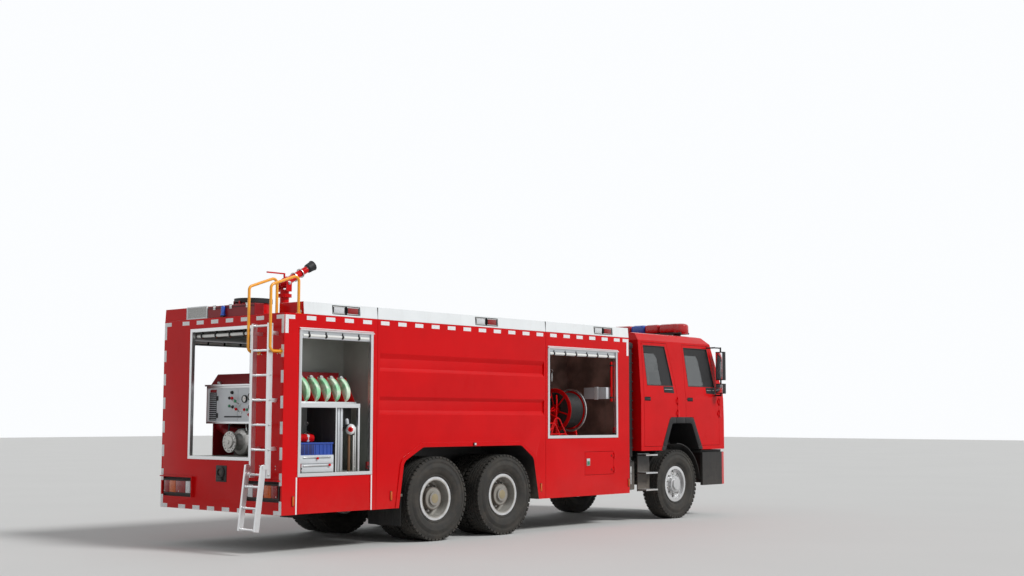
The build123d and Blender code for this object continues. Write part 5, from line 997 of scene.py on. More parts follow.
@dataclass
class Studio:
    """Camera at the photograph's angle, pale floor, soft lamps and a white surround."""

    eye_back: float = 10.5563
    eye_out: float = 14.3210
    eye_up: float = 1.6377
    yaw: float = 0.84394
    pitch: float = 0.09459
    roll: float = 0.00176
    focal_px: float = 1371.54
    frame_px: float = 1024.0
    sensor: float = 36.0
    floor_half: float = 90.0

    def camera(self) -> None:
        """Set the camera up from its place, its turns and its focal length in pixels."""
        ahead = Vector((sin(self.yaw) * cos(self.pitch), cos(self.yaw) * cos(self.pitch), sin(self.pitch)))
        right = Vector((cos(self.yaw), -sin(self.yaw), 0.0))
        up = right.cross(ahead)
        rolled_right = right * cos(self.roll) + up * sin(self.roll)
        rolled_up = up * cos(self.roll) - right * sin(self.roll)
        lens = bpy.data.cameras.new("photo_lens")
        lens.sensor_width = self.sensor
        lens.lens = self.focal_px * self.sensor / self.frame_px
        lens.clip_end = 300.0
        eye = bpy.data.objects.new("photo_camera", lens)
        turn = Matrix((rolled_right, rolled_up, -ahead)).transposed().to_4x4()
        eye.matrix_world = Matrix.Translation((REAR - self.eye_back, -self.eye_out, self.eye_up)) @ turn
        bpy.context.scene.collection.objects.link(eye)
        bpy.context.scene.camera = eye

    def floor(self) -> None:
        """Lay the pale floor that the wheels stand on."""
        shape = bmesh.new()
        bmesh.ops.create_grid(shape, x_segments=8, y_segments=8, size=self.floor_half)
        piece_of("studio_floor", shape, [FloorPaint("studio_floor_paint")])

    def sun(self, name: str, strength: float, angle: float, towards: Point) -> None:
        """Hang a wide, soft sun lamp.

        Args:
            name: The lamp's name.
            strength: Its light in watts to the square metre.
            angle: Its apparent width in degrees.
            towards: The way its light goes.
        """
        light = bpy.data.lights.new(name, "SUN")
        light.energy = strength
        light.angle = radians(angle)
        lamp = bpy.data.objects.new(name, light)
        lamp.matrix_world = facing(-Vector(towards))
        bpy.context.scene.collection.objects.link(lamp)

    def surround(self, strength: float) -> None:
        """Make the world: soft light on the object, white to the camera and in reflections.

        Args:
            strength: Strength of the soft light.
        """
        world = bpy.data.worlds.new("white_surround")
        book = NodeBook(world)
        camera, glossy, through = (book.node("ShaderNodeLightPath", {}, {}, f"Is {kind} Ray")
                                   for kind in ("Camera", "Glossy", "Transmission"))
        seen = camera.larger(glossy).larger(through)
        level = book.node("ShaderNodeMapRange", {}, {"Value": seen, "To Min": strength, "To Max": 1.0})
        glow = book.node("ShaderNodeBackground", {}, {"Color": (0.97, 0.985, 1.0, 1.0), "Strength": level})
        book.close(glow, "ShaderNodeOutputWorld")
        bpy.context.scene.world = world

    def build(self) -> None:
        """Set up the whole studio."""
        bpy.context.scene.view_settings.view_transform = "Standard"
        self.camera()
        self.floor()
        self.surround(0.35)
        self.sun("key_lamp", 2.3, 14.0, (-0.22, 0.80, -0.78))
        self.sun("back_lamp", 0.12, 50.0, (0.75, -0.45, -0.55))


@dataclass
class Shells:
    """CAD nodes that keep their shape, each with the finishes of its faces."""

    wall: float = 0.046

    def rear_body(self, middle: Vector, normal: Vector) -> Finish:
        """Rear body: red outside, a liner darkened as painted shade in the lockers and the pump bay, black
        underneath.

        Args:
            middle: The face's middle.
            normal: Its normal.

        Returns:
            The face's finish.
        """
        if normal.z > 0.9 and middle.z > BODY_TOP - 0.01:
            return COATS.plate
        inside = REAR + 0.05 < middle.x < SEAM_1 - 0.04 and 0.94 < middle.z < BODY_TOP - 0.05
        if inside and abs(middle.y) < HALF_W - self.wall + 0.002:
            # Painted shade: the locker insides take the liner that is darkened for their shade.
            return COATS.liner
        if self.reveal(middle, normal) or (REAR + 0.002 < middle.x < REAR + 0.038 and abs(normal.x) < 0.1
                                           and abs(middle.y) < 1.0 and 0.94 < middle.z < 2.80):
            return COATS.aluminium
        if abs(middle.x - REAR - 0.032) < 0.002 and middle.z < 0.875 and normal.x < -0.9:
            return COATS.trim
        if middle.z < 0.475 and normal.z < -0.5 or (abs(middle.y) < 0.65 and middle.z < 1.11
                                                    and middle.x > REAR + 0.059):
            return COATS.black
        return COATS.red

    def tank_body(self, middle: Vector, normal: Vector) -> Finish:
        """Tank body: red sides, black wheelhouses, tread plate on the roof.

        Args:
            middle: The face's middle.
            normal: Its normal.

        Returns:
            The face's finish.
        """
        if normal.z > 0.9 and middle.z > BODY_TOP - 0.01:
            return COATS.plate
        hidden = abs(middle.y) < HALF_W - 0.05 and middle.z < 1.3
        return COATS.black if hidden or normal.z < -0.9 and middle.z < 0.48 else COATS.red

    def front_body(self, middle: Vector, normal: Vector) -> Finish:
        """Front body: red outside, brown in the lockers, black underneath.

        Args:
            middle: The face's middle.
            normal: Its normal.

        Returns:
            The face's finish.
        """
        if normal.z > 0.9 and middle.z > BODY_TOP - 0.01:
            return COATS.plate
        inside = SEAM_2 + 0.04 < middle.x < BODY_FRONT - 0.04 and 1.33 < middle.z < BODY_TOP - 0.05
        if inside and abs(middle.y) < HALF_W - self.wall + 0.002:
            return COATS.dim_liner
        if self.reveal(middle, normal):
            return COATS.aluminium
        hidden = abs(middle.y) < 0.65 and middle.z < 1.11
        return COATS.black if hidden or normal.z < -0.9 and middle.z < 0.48 else COATS.red

    def reveal(self, middle: Vector, normal: Vector) -> bool:
        """Whether a face is the thickness of a side wall round a locker opening.

        Args:
            middle: The face's middle.
            normal: Its normal.

        Returns:
            Whether it is.
        """
        in_wall = HALF_W - self.wall < abs(middle.y) < HALF_W - 0.004 and abs(normal.y) < 0.1
        in_length = REAR + 0.20 < middle.x < BODY_FRONT - 0.10 and abs(middle.x - SEAM_1) > 0.05
        sill = 0.94 if middle.x < SEAM_1 else 1.36
        return in_wall and in_length and sill < middle.z < 2.80

    def cab_shell(self, middle: Vector, normal: Vector) -> Finish:
        """Cab shell: red outside, grey cloth inside, black grille, arches and underside.

        Args:
            middle: The face's middle.
            normal: Its normal.

        Returns:
            The face's finish.
        """
        if middle.x > CAB_FRONT - 0.002 and middle.z < 1.61 and abs(middle.y) < 0.83:
            return COATS.trim
        arch = AXLES[2] - 0.55 < middle.x < AXLES[2] + 0.70 and middle.z < 1.70
        turned_in = abs(normal.y) < 0.9 or normal.y * middle.y < 0 or abs(middle.y) < HALF_CAB - 0.10
        if arch and 0.55 < abs(middle.y) < HALF_CAB + 0.001 and turned_in:
            return COATS.trim
        if normal.z < -0.9 and middle.z < 1.35:
            return COATS.black
        within = CAB_REAR + 0.02 < middle.x < CAB_FRONT - 0.03 and abs(middle.y) < HALF_CAB - 0.05
        inward = (normal.y * middle.y < -0.3 or normal.z < -0.3 or (normal.z > 0.5 and middle.z < 1.6)
                  or (normal.x > 0.5 and middle.x < CAB_REAR + 0.10)
                  or (normal.x < -0.5 and middle.x > CAB_FRONT - 0.50))
        return COATS.cloth if within and inward and 1.13 < middle.z < CAB_TOP - 0.03 else COATS.red

    def door(self, middle: Vector, normal: Vector) -> Finish:
        """Door: red outside, cloth inside, black handle pocket and arch edge.

        Args:
            middle: The face's middle.
            normal: Its normal.

        Returns:
            The face's finish.
        """
        out, along = abs(middle.y), middle.x - CAB_REAR
        by_handle = any(abs(along - handle) < 0.084 for handle in HANDLES.values())
        if by_handle and abs(middle.z - 1.953) < 0.036 and out > HALF_CAB - 0.046:
            return COATS.trim
        if 0.48 < along < 1.80 and middle.z < 1.66 and abs(normal.y) < 0.6:
            return COATS.trim
        return COATS.cloth if out < HALF_CAB - 0.05 and normal.y * middle.y < 0 else COATS.red

    def fairing(self, middle: Vector, normal: Vector) -> Finish:
        """Roof fairing: white, with black lamp recesses and a red end at the rear.

        Args:
            middle: The face's middle.
            normal: Its normal.

        Returns:
            The face's finish.
        """
        recessed = BODY_TOP + 0.01 < middle.z < FAIRING_TOP - 0.01 and abs(normal.z) < 0.3
        if recessed and HALF_W - 0.045 < abs(middle.y) < HALF_W - 0.030:
            return COATS.trim
        return COATS.red if normal.x < -0.9 and middle.x < REAR + 0.31 else COATS.white

    def build(self) -> None:
        """Dress every node that keeps its CAD shape."""
        one_finish = (
            (COATS.black, "chassis_frame"),
            (COATS.iron, "leaf_springs front_axle rear_axles power_train knuckle_right knuckle_left"),
            (COATS.trim, "mudguards foam_lid mirror_right mirror_left"),
            (COATS.aluminium, "rear_ladder ladder_foot locker_frames"),
            (COATS.yellow, "grab_rails"), (COATS.slats, "roller_shutters"), (COATS.red, "hatch"),
            (COATS.rim, "rim_front_right rim_front_left"))
        for finish, nodes in one_finish:
            for node in nodes.split():
                skin(node, finish, 0.002)
        for side in Side:
            for axle, x in (("back", AXLES[0]), ("middle", AXLES[1])):
                skin(f"rims_{axle}_{side.name.lower()}", Dished(f"{axle}_rim_paint", x), 0.002)
        skin("rear_body", self.rear_body)
        skin("tank_body", self.tank_body, crease=16.0)
        skin("front_body", self.front_body)
        skin("cab_shell", self.cab_shell)
        for place in ("rear_right", "rear_left", "front_right", "front_left"):
            skin(f"door_{place}", self.door)
            skin(f"glass_{place}", COATS.glass, 0.0)
        skin("cab_glass", COATS.glass, 0.0)
        skin("roof_fairings", self.fairing, 0.006)
        for side in Side:
            skin(f"flap_{side.name.lower()}", COATS.red)


@dataclass
class Tyres(Bench):
    """Ten tyres: moulded side rings, a grooved carcass and rows of tread lugs."""

    radius: float = 0.562
    half: float = 0.1575
    bead: float = 0.262
    lugs: int = 50
    front_track: float = 2.060
    rear_track: float = 1.830
    twin_pitch: float = 0.350

    def rings(self) -> list[tuple[float, float]]:
        """Half of the section, from the bead to the middle of the tread.

        Returns:
            Rows of distance from the middle plane and radius.
        """
        half, top = self.half, self.radius
        return [(0.104, self.bead), (0.104, 0.290), (0.118, 0.300), (0.124, 0.316), (0.121, 0.322),
                (0.127, 0.330), (half - 0.014, 0.350), (half - 0.005, 0.382), (half - 0.0015, 0.412),
                (half + 0.000, 0.416), (half + 0.000, 0.424), (half - 0.0015, 0.428), (half - 0.006, 0.462),
                (half - 0.009, 0.466), (half - 0.010, 0.486), (half - 0.006, 0.490), (half - 0.008, 0.512),
                (half - 0.014, 0.530), (half - 0.018, top - 0.020), (half - 0.034, top - 0.016),
                (0.094, top - 0.015), (0.090, top - 0.004), (0.052, top - 0.0035), (0.048, top - 0.015),
                (0.036, top - 0.015), (0.032, top - 0.003), (0.006, top - 0.003), (0.003, top - 0.013)]

    def lug(self, own: Bench, width: tuple[float, float], length: float, depth: float, start: float,
            skew: float) -> None:
        """One row of lugs round the tyre.

        Args:
            own: The tyre being made.
            width: The row's limits across the tyre.
            length: A lug's length round the tyre.
            depth: Its height.
            start: The angle where the row starts.
            skew: The turn of each lug in the tread's plane.
        """
        shape = bmesh.new()
        bmesh.ops.create_cube(shape, size=1.0)
        bmesh.ops.scale(shape, vec=(length, abs(width[1] - width[0]), depth), verts=shape.verts)
        soften(shape, shape.edges[:], 0.003, 1)
        turn = Matrix.Rotation(skew, 4, "Z")
        lift = Matrix.Translation((0.0, (width[0] + width[1]) / 2, self.radius - 0.0012 - depth / 2))
        bmesh.ops.transform(shape, matrix=Matrix.Rotation(start, 4, "Y") @ lift @ turn, verts=shape.verts)
        step = 2 * pi / self.lugs
        bmesh.ops.spin(shape, geom=shape.verts[:] + shape.edges[:] + shape.faces[:], cent=(0, 0, 0),
                       axis=(0, 1, 0), angle=step * (self.lugs - 1), steps=self.lugs - 1, use_duplicate=True)
        own.add(shape, COATS.rubber)

    def tyre(self, x: float, y: float) -> None:
        """Add one tyre.

        Args:
            x: The axle's place.
            y: The tyre's middle plane.
        """
        own = Bench()
        half = self.rings()
        section = half + [(-width, radius) for width, radius in reversed(half)]
        own.turned(section, (0, 0, 0), (0, 1, 0), COATS.rubber, 96, True)
        step = 2 * pi / self.lugs
        for sign in (-1, 1):
            self.lug(own, (sign * 0.100, sign * (self.half - 0.006)), 0.052, 0.030, 0.0, sign * 0.10)
            self.lug(own, (sign * 0.052, sign * 0.092), 0.060, 0.016, step * 0.45, -sign * 0.18)
            self.lug(own, (sign * 0.004, sign * 0.042), 0.061, 0.014, step * (0.2 if sign > 0 else 0.7),
                     sign * 0.18)
        bmesh.ops.translate(own.mesh, vec=(x, y, AXLE_Z), verts=own.mesh.verts)
        self.add(own.mesh, *own.finishes)

    def build(self) -> None:
        """Make all tyres, each piece standing for its CAD node."""
        for side in Side:
            name = side.name.lower()
            self.tyre(AXLES[2], side.value * self.front_track / 2)
            self.done(f"front_tyre_{name}", f"wheel_front_{name}", "tyre", [f"tyre_front_{name}"])
            for axle, x in (("back", AXLES[0]), ("middle", AXLES[1])):
                for offset in (-self.twin_pitch, self.twin_pitch):
                    self.tyre(x, side.value * (self.rear_track + offset) / 2)
                self.done(f"{axle}_twin_tyres_{name}", f"wheels_{axle}_{name}", "tyre",
                          [f"tyres_{axle}_{name}"])


@dataclass
class Markings(Bench):
    """White tape: dashes round the rear face and along the sides, corner marks and lines by the flaps."""

    dash: float = 0.150
    pitch: float = 0.310
    width: float = 0.050
    thick: float = 0.0012
    top: float = 2.862
    bottom: float = 0.497
    edge: float = 1.222
    side_start: float = 0.420
    side_end: float = 6.720
    seams: tuple[float, float] = (1.532, 4.894)
    flap_lines: tuple[float, float] = (0.2225, 1.4475)

    def strip(self, middle: Vector, size: Point, way: Way) -> None:
        """Lay one strip of tape.

        Args:
            middle: The strip's middle on the panel.
            size: Its size along each axis.
            way: The way that the panel faces.
        """
        half = Vector(size) / 2
        lift = Vector(way.value) * self.thick / 2
        self.block(middle - half + lift, middle + half + lift, COATS.tape, 0.0)

    def corner(self, middle: Vector, along: Vector, down: float, way: Way) -> None:
        """Lay a corner mark: a strip along the panel's edge and one that runs up or down from its end.

        Args:
            middle: The corner itself.
            along: The way that the level strip runs, as an axis.
            down: How far the upright strip reaches, negative downwards.
            way: The way that the panel faces.
        """
        run = Vector([abs(value) for value in along])
        normal = Vector([abs(value) for value in way.value]) * self.thick
        self.strip(middle + along * self.dash / 2, run * self.dash + normal + Vector((0, 0, self.width)), way)
        sign = 1 if down > 0 else -1
        reach = abs(down) - self.width / 2
        upright = middle + along * self.width / 2 + Vector((0, 0, sign * (self.width + reach) / 2))
        self.strip(upright, run * self.width + normal + Vector((0, 0, reach)), way)

    def rear(self) -> None:
        """Tape round the rear face."""
        for height, down in ((self.top, -0.20), (self.bottom, 0.14)):
            for step in range(6):
                self.strip(at(0.0, (step - 2.5) * self.pitch, height), (self.thick, self.dash, self.width),
                           Way.BACK)
            for side in Side:
                self.corner(at(0.0, side.value * (self.edge + 0.025), height), Vector((0, -side.value, 0)),
                            down, Way.BACK)
        for side in Side:
            for step in range(6):
                self.strip(at(0.0, side.value * self.edge, 2.446 - step * self.pitch),
                           (self.thick, self.width, self.dash), Way.BACK)

    def sides(self) -> None:
        """Tape along both sides, with the lines beside the flaps."""
        for side in Side:
            way = Way.RIGHT if side is Side.RIGHT else Way.LEFT
            out = side.value * HALF_W
            for step in range(int((self.side_end - self.side_start) / self.pitch) + 1):
                along = self.side_start + step * self.pitch
                if min(abs(along - seam) for seam in self.seams) < self.dash / 2 + 0.01:
                    along += 0.09
                self.strip(at(along, out, self.top), (self.dash, self.thick, self.width), way)
            self.corner(at(0.012, out, self.top), Vector((1, 0, 0)), -0.20, way)
            self.corner(at(6.922, out, self.top), Vector((-1, 0, 0)), -0.24, way)
            for along in self.flap_lines:
                self.strip(at(along, out, 0.695), (0.020, self.thick, 0.446), way)

    def build(self) -> None:
        """Lay all tape."""
        self.rear()
        self.sides()
        self.done("white_tape_marks", BODY_OF["rear_body"], "white_paint")


@dataclass
class Lamps(Bench):
    """Tail clusters, side markers, fairing lamps, arch lamps and headlamps."""

    tail_inner: float = 0.590
    tail_outer: float = 1.166
    tail_z: tuple[float, float] = (0.670, 0.822)
    fairing_starts: Sequence[float] = (0.780, 3.400, 6.070)
    lens_l: float = 0.200
    lens_gap: float = 0.034
    markers: Sequence[float] = (0.170, 1.790, 4.780, 6.905)

    def base(self, middle: Vector, normal: Vector) -> Finish:
        """Housings black, headlamp glasses clear."""
        return COATS.clear_lens if middle.x > CAB_FRONT - 0.1 else COATS.trim

    def tails(self) -> None:
        """Make the tail clusters: red outside, amber, red, and white inside, with their screws."""
        outer = self.tail_outer
        for lens, start, end in ((COATS.red_lens, 0.0, 0.110), (COATS.amber_lens, 0.114, 0.250),
                                 (COATS.red_lens, 0.254, 0.466), (COATS.clear_lens, 0.472, 0.57)):
            self.blocks(lens, 0.008, (-0.008, 0.008, outer - start, outer - end, *self.tail_z), both=True)
        for across in (outer - 0.012, outer - 0.330, self.tail_inner + 0.012):
            self.bolts([at(-0.008, side.value * across, 0.688) for side in Side], Way.BACK.value, 0.006,
                       COATS.steel)

    def fairing_pair(self, start: float) -> None:
        """Make a clear lamp and a red one in a fairing's recess, on both sides.

        Args:
            start: Where the clear lamp starts.
        """
        for number, lens in enumerate((COATS.clear_lens, COATS.red_lens)):
            low = start + number * (self.lens_l + self.lens_gap)
            high = low + self.lens_l
            self.blocks(lens, 0.006, (low + 0.014, high - 0.014, 1.228, 1.239, 2.952, 3.024), both=True)
            self.blocks(COATS.steel, 0.002, (low, high, 1.230, 1.234, 2.940, 2.952),
                        (low, high, 1.230, 1.234, 3.024, 3.036), both=True)

    def headlamp(self, side: Side) -> None:
        """Make the reflector rings and glasses of one headlamp."""
        way = (1.0, side.value * 0.32, 0)
        for across, ahead in ((0.885, 9.757), (1.030, 9.711)):
            rim = [(0.0, 0.060), (0.006, 0.062), (0.008, 0.057), (0.004, 0.050), (-0.006, 0.050)]
            self.turned(rim, at(ahead, side.value * across, 0.870), way, COATS.steel, 32, True)
            self.turned([(0.004, 0.0), (0.002, 0.020), (-0.004, 0.049), (-0.010, 0.0)],
                        at(ahead + 0.004, side.value * across, 0.870), way, COATS.clear_lens, 32)

    def build(self) -> None:
        """Make every lamp."""
        skin("lamps", self.base)
        self.tails()
        for start in self.fairing_starts:
            self.fairing_pair(start)
        for along in self.markers:
            self.blocks(COATS.amber_lens, 0.006, (along - 0.016, along + 0.016, 1.256, 1.266, 0.579, 0.691),
                        both=True)
        for side in Side:
            self.headlamp(side)
        self.done("lamp_lenses", BODY_OF["lamps"], "lamp")
        self.blocks(COATS.trim, 0.005, (3.326, 3.374, 1.262, 1.284, 1.260, 1.300), both=True)
        self.blocks(COATS.clear_lens, 0.005, (3.332, 3.368, 1.280, 1.290, 1.265, 1.295), both=True)
        self.done("arch_lamps", BODY_OF["tank_body"], "lamp")


@dataclass
class RoofGear(Bench):
    """What stands on the roof: mesh box, low locker, strobe, filler lid, tank hatches, seals and eyes."""

    box: tuple[float, float, float, float] = (0.015, 0.640, 0.345, 0.766)
    box_top: float = 3.065
    seams: Sequence[float] = (1.532, 4.894)
    hatch_at: Sequence[float] = (2.450, 3.950)
    hatch_r: float = 0.270
    eyes: Sequence[float] = (0.60, 1.95, 4.45, 6.45)

    def lockers(self, middle: Vector, normal: Vector) -> Finish:
        """The box is white mesh, the low locker and the filler neck are red, darker red near the rear as
        painted shade.
        """
        if middle.y > 0.335:
            return COATS.mesh_sheet
        # Painted shade: faces near the rear get the darker copy of the red, for the shaded rear face.
        return COATS.dark_red_and_painted_shade if middle.x < REAR + 0.20 else COATS.red

    def fittings(self) -> None:
        """Frame of the mesh box, hinges and catches of the locker."""
        low, high, inner, outer = self.box
        tube = 0.009
        corners = [at(low, inner, 0), at(high, inner, 0), at(high, outer, 0), at(low, outer, 0)]
        for height in (BODY_TOP + tube, self.box_top + 0.002):
            self.loop([corner + Vector((0, 0, height)) for corner in corners], tube, COATS.white)
        for corner in corners:
            self.rod(corner + Vector((0, 0, BODY_TOP)), corner + Vector((0, 0, self.box_top + 0.004)), tube,
                     COATS.white, 12, 0.002)
        for across in (-0.50, -0.16, 0.18):
            self.blocks(COATS.steel, 0.003, (0.006, 0.016, across - 0.025, across + 0.025, 3.010, 3.060))
            self.rod(at(0.008, across - 0.03, 3.064), at(0.008, across + 0.03, 3.064), 0.006, COATS.steel, 12)
        self.blocks(COATS.trim, 0.002, (0.006, 0.018, -0.635, 0.320, 3.028, 3.036))

    def strobe(self) -> None:
        """Blue strobe on a black foot at the locker's rear face."""
        self.blocks(COATS.trim, 0.004, (-0.030, 0.014, -0.055, 0.005, 2.912, 2.930))
        self.turned([(0, 0), (0, 0.034), (0.014, 0.034), (0.016, 0.029), (0.110, 0.027), (0.124, 0.020),
                     (0.128, 0)], at(-0.006, -0.025, 2.930), (0, 0, 1), COATS.blue_lens, 32)

    def tank_hatch(self, along: float) -> None:
        """Make a round tank hatch with its clamps.

        Args:
            along: Its middle.
        """
        ring, seat = self.hatch_r, at(along, 0, BODY_TOP)
        self.turned([(0, 0), (0, ring + 0.03), (0.012, ring + 0.03), (0.014, ring), (0.060, ring),
                     (0.062, ring + 0.012), (0.078, ring + 0.010), (0.090, ring * 0.6), (0.094, 0)],
                    seat, (0, 0, 1), COATS.aluminium, 64)
        for place in circle(seat, ring + 0.020, 6, 2):
            self.rod(place, place + Vector((0, 0, 0.085)), 0.008, COATS.steel, 12)
            self.bolts([place + Vector((0, 0, 0.078))], (0, 0, 1), 0.016, COATS.steel)
        self.pipe([seat + Vector((reach, 0, lift)) for reach, lift in
                   ((-0.08, 0.090), (-0.08, 0.130), (0.08, 0.130), (0.08, 0.090))], 0.008, COATS.trim, 0.02)

    def eye(self, along: float, side: Side) -> None:
        """Make one lifting eye on its plate.

        Args:
            along: Its middle.
            side: The side of the truck.
        """
        across = side.value * 0.70
        self.pipe([at(along + reach, across, up) for reach, up in
                   ((-0.05, BODY_TOP), (-0.04, 2.985), (0.04, 2.985), (0.05, BODY_TOP))], 0.011, COATS.steel,
                  0.03)
        self.blocks(COATS.steel, 0.002, (along - 0.08, along + 0.08, across - 0.03, across + 0.03, BODY_TOP,
                                         BODY_TOP + 0.008))

    def build(self) -> None:
        """Make all roof gear."""
        skin("roof_lockers", self.lockers, 0.006)
        self.fittings()
        self.strobe()
        self.turned([(0, 0), (0.004, 0.018), (0.008, 0.016), (0.009, 0)], at(0.300, -1.190, 2.945),
                    (-1, 0, 0), COATS.tape, 24)
        self.done("roof_locker_fittings", BODY_OF["roof_lockers"], "red_roof")
        for along in self.hatch_at:
            self.tank_hatch(along)
        for side in Side:
            for along in self.eyes:
                self.eye(along, side)
            for along in self.seams:
                self.blocks(COATS.seal, 0.0, (along - 0.0018, along + 0.0018, side.value * 0.771,
                                              side.value * 1.2485, BODY_TOP, 3.060))
            for number in range(24):
                along = 0.42 + number * 0.275
                if min(abs(along - seam) for seam in self.seams) > 0.04:
                    self.bolts([at(along, side.value * 0.790, 3.058)], (0, 0, 1), 0.009, COATS.steel)
        self.done("roof_hatches_and_seals", BODY_OF["tank_body"], "aluminium")


@dataclass
class SideLockers(Bench):
    """Gear and trim of the lockers at the rear: light tubes, rolled hoses, drawers, crate, pole and tubes."""

    tube_r: float = 0.021
    hose_r: float = 0.168
    hose_half: float = 0.033
    hose_start: float = 0.365
    hose_pitch: float = 0.165
    hose_y: float = -0.960
    shelf_top: float = 1.818
    lean: float = radians(13.0)
    layer: float = 0.0105

    def racks(self, middle: Vector, normal: Vector) -> Finish:
        """Shelf aluminium, crate blue, drawers pale, reel frame red.

        Args:
            middle: The face's middle.
            normal: Its normal.

        Returns:
            The face's finish.
        """
        if middle.x > REAR + 4.0:
            return COATS.red
        if 1.179 < middle.z < 1.331 and REAR + 0.305 < middle.x < REAR + 0.855:
            return COATS.blue
        if middle.z < 1.76 and abs(normal.x) > 0.9 and abs(middle.x - REAR - 0.89) < 0.02:
            return COATS.iron
        drawer = middle.z < 1.185 and REAR + 0.295 < middle.x < REAR + 0.865
        return COATS.grey if drawer else COATS.aluminium

    def light_tube(self, start: Vector, end: Vector, clamps: int) -> None:
        """Make a white light tube in black clamps.

        Args:
            start: Its first end.
            end: Its other end.
            clamps: How many clamps hold it.
        """
        run = (end - start).normalized() * 0.014
        radius = self.tube_r
        self.rod(start, end, radius, COATS.light_tube, 24, 0.004)
        for number in range(clamps):
            middle = start.lerp(end, (number + 0.35) / clamps)
            self.rod(middle - run, middle + run, radius + 0.008, COATS.trim, 20, 0.003)
            self.block(middle + Vector((-0.012, -0.012, 0.0)), middle + Vector((0.012, 0.012, 0.050)),
                       COATS.trim, 0.003)
            self.rod(middle - Vector((0, 0, radius + 0.003)), middle - Vector((0, 0, radius + 0.014)), 0.006,
                     COATS.amber_lens, 12, 0.002)

    def roll(self, number: int) -> None:
        """Make one rolled hose: layers of flat hose round a folded middle, with its coupling.

        Args:
            number: Its place on the shelf.
        """
        own = Bench()
        side, top, layer = -self.hose_half, self.hose_r, self.layer
        half: list[tuple[float, float]] = [(side + 0.006, 0.0)]
        radius = 0.026
        while radius + layer < top - 0.003:
            half += [(side + 0.002, radius), (side, radius + layer * 0.30), (side, radius + layer * 0.70),
                     (side + 0.003, radius + layer)]
            radius += layer
        half += [(side + 0.004, top - 0.002), (-0.016, top), (-0.006, top - 0.001), (0.0, top - 0.005)]
        whole = half + [(-along, out) for along, out in reversed(half[:-1])]
        jacket = Woven("hose_jacket", (0.30, 0.76, 0.42), (0.78, 0.93, 0.74), (self.hose_y, 1.988), layer)
        own.turned(whole, (0, 0, 0), (1, 0, 0), jacket, 72)
        own.turned([(-0.030, 0.0), (-0.030, 0.018), (-0.018, 0.018), (-0.016, 0.025), (0.016, 0.025),
                    (0.018, 0.018), (0.030, 0.018), (0.030, 0.0)], (0.0, -top * 0.30, 0.158), (0, 1, 0),
                   COATS.steel, 24)
        own.block((-0.037, -0.016, -top - 0.0005), (0.037, 0.016, top + 0.0005), COATS.red, 0.002)
        foot = at(self.hose_start + number * self.hose_pitch, self.hose_y, self.shelf_top + 0.0035)
        place = Matrix.Translation(foot) @ Matrix.Rotation(-self.lean, 4, "Y")
        place = place @ Matrix.Translation((0, 0, top + 0.004))
        bmesh.ops.transform(own.mesh, matrix=place, verts=own.mesh.verts)
        self.add(own.mesh, *own.finishes)

    def holder(self) -> None:
        """Make the red holder: a leaning plate between every two rolls and a back rail."""
        shelf = self.shelf_top
        half = Vector((0, 0.165, 0))
        for number in range(7):
            foot = at(self.hose_start - 0.083 + number * self.hose_pitch, -0.955, shelf + 0.002)
            top = foot + Vector((-sin(self.lean), 0, cos(self.lean))) * 0.335
            self.plate([foot - half, foot + half, top + half, top - half * 0.35], (0.004, 0, 0), COATS.red)
        self.blocks(COATS.dark_red_and_painted_shade, 0.003, (0.180, 1.285, -0.782, -0.770, shelf, shelf + 0.40))
        self.blocks(COATS.aluminium, 0.002, (0.280, 1.285, -1.132, -1.118, shelf + 0.001, shelf + 0.020))

    def drawers(self) -> None:
        """Make drawer fronts with their rails, red knobs, and the crate's rim and ribs."""
        for low, high in ((0.972, 1.070), (1.078, 1.172)):
            self.blocks(COATS.grey, 0.004, (0.308, 0.852, -1.202, -1.192, low, high))
            self.rod(at(0.36, -1.212, high - 0.020), at(0.80, -1.212, high - 0.020), 0.006, COATS.steel, 12,
                     0.001)
        for along, up in ((0.580, 1.140), (0.775, 1.055)):
            self.turned([(0, 0), (0, 0.010), (0.014, 0.008), (0.016, 0.016), (0.026, 0.015), (0.029, 0)],
                        at(along, -1.200, up), (0, -1, 0), COATS.red, 20)
        self.blocks(COATS.blue, 0.004, (0.304, 0.856, -1.190, -1.178, 1.312, 1.334))
        for number in range(9):
            along = 0.335 + number * 0.061
            self.blocks(COATS.blue, 0.0015, (along - 0.004, along + 0.004, -1.186, -1.178, 1.186, 1.312))
        self.blocks(COATS.navy, 0.001, (0.306, 0.548, -1.184, -1.179, 1.190, 1.310))

    def red_bags(self) -> None:
        """Make the two red bags with pale bands that lie on the crate."""
        for along, across, turn in ((0.40, -1.00, 0.35), (0.60, -0.97, -0.25)):
            tilt = Matrix.Rotation(turn, 4, "Z") @ Matrix.Rotation(0.12, 4, "X")
            middle = at(along, across, 1.388)
            for half, finish in (((0.095, 0.065, 0.048), COATS.red), ((0.022, 0.0665, 0.0495), COATS.tape)):
                self.block(middle - Vector(half), middle + Vector(half), finish, 0.034, tilt)
            self.pipe([middle + Vector((reach, 0, lift)) for reach, lift in
                       ((-0.05, 0.045), (-0.03, 0.075), (0.03, 0.075), (0.05, 0.045))], 0.006,
                      COATS.trim, 0.02)

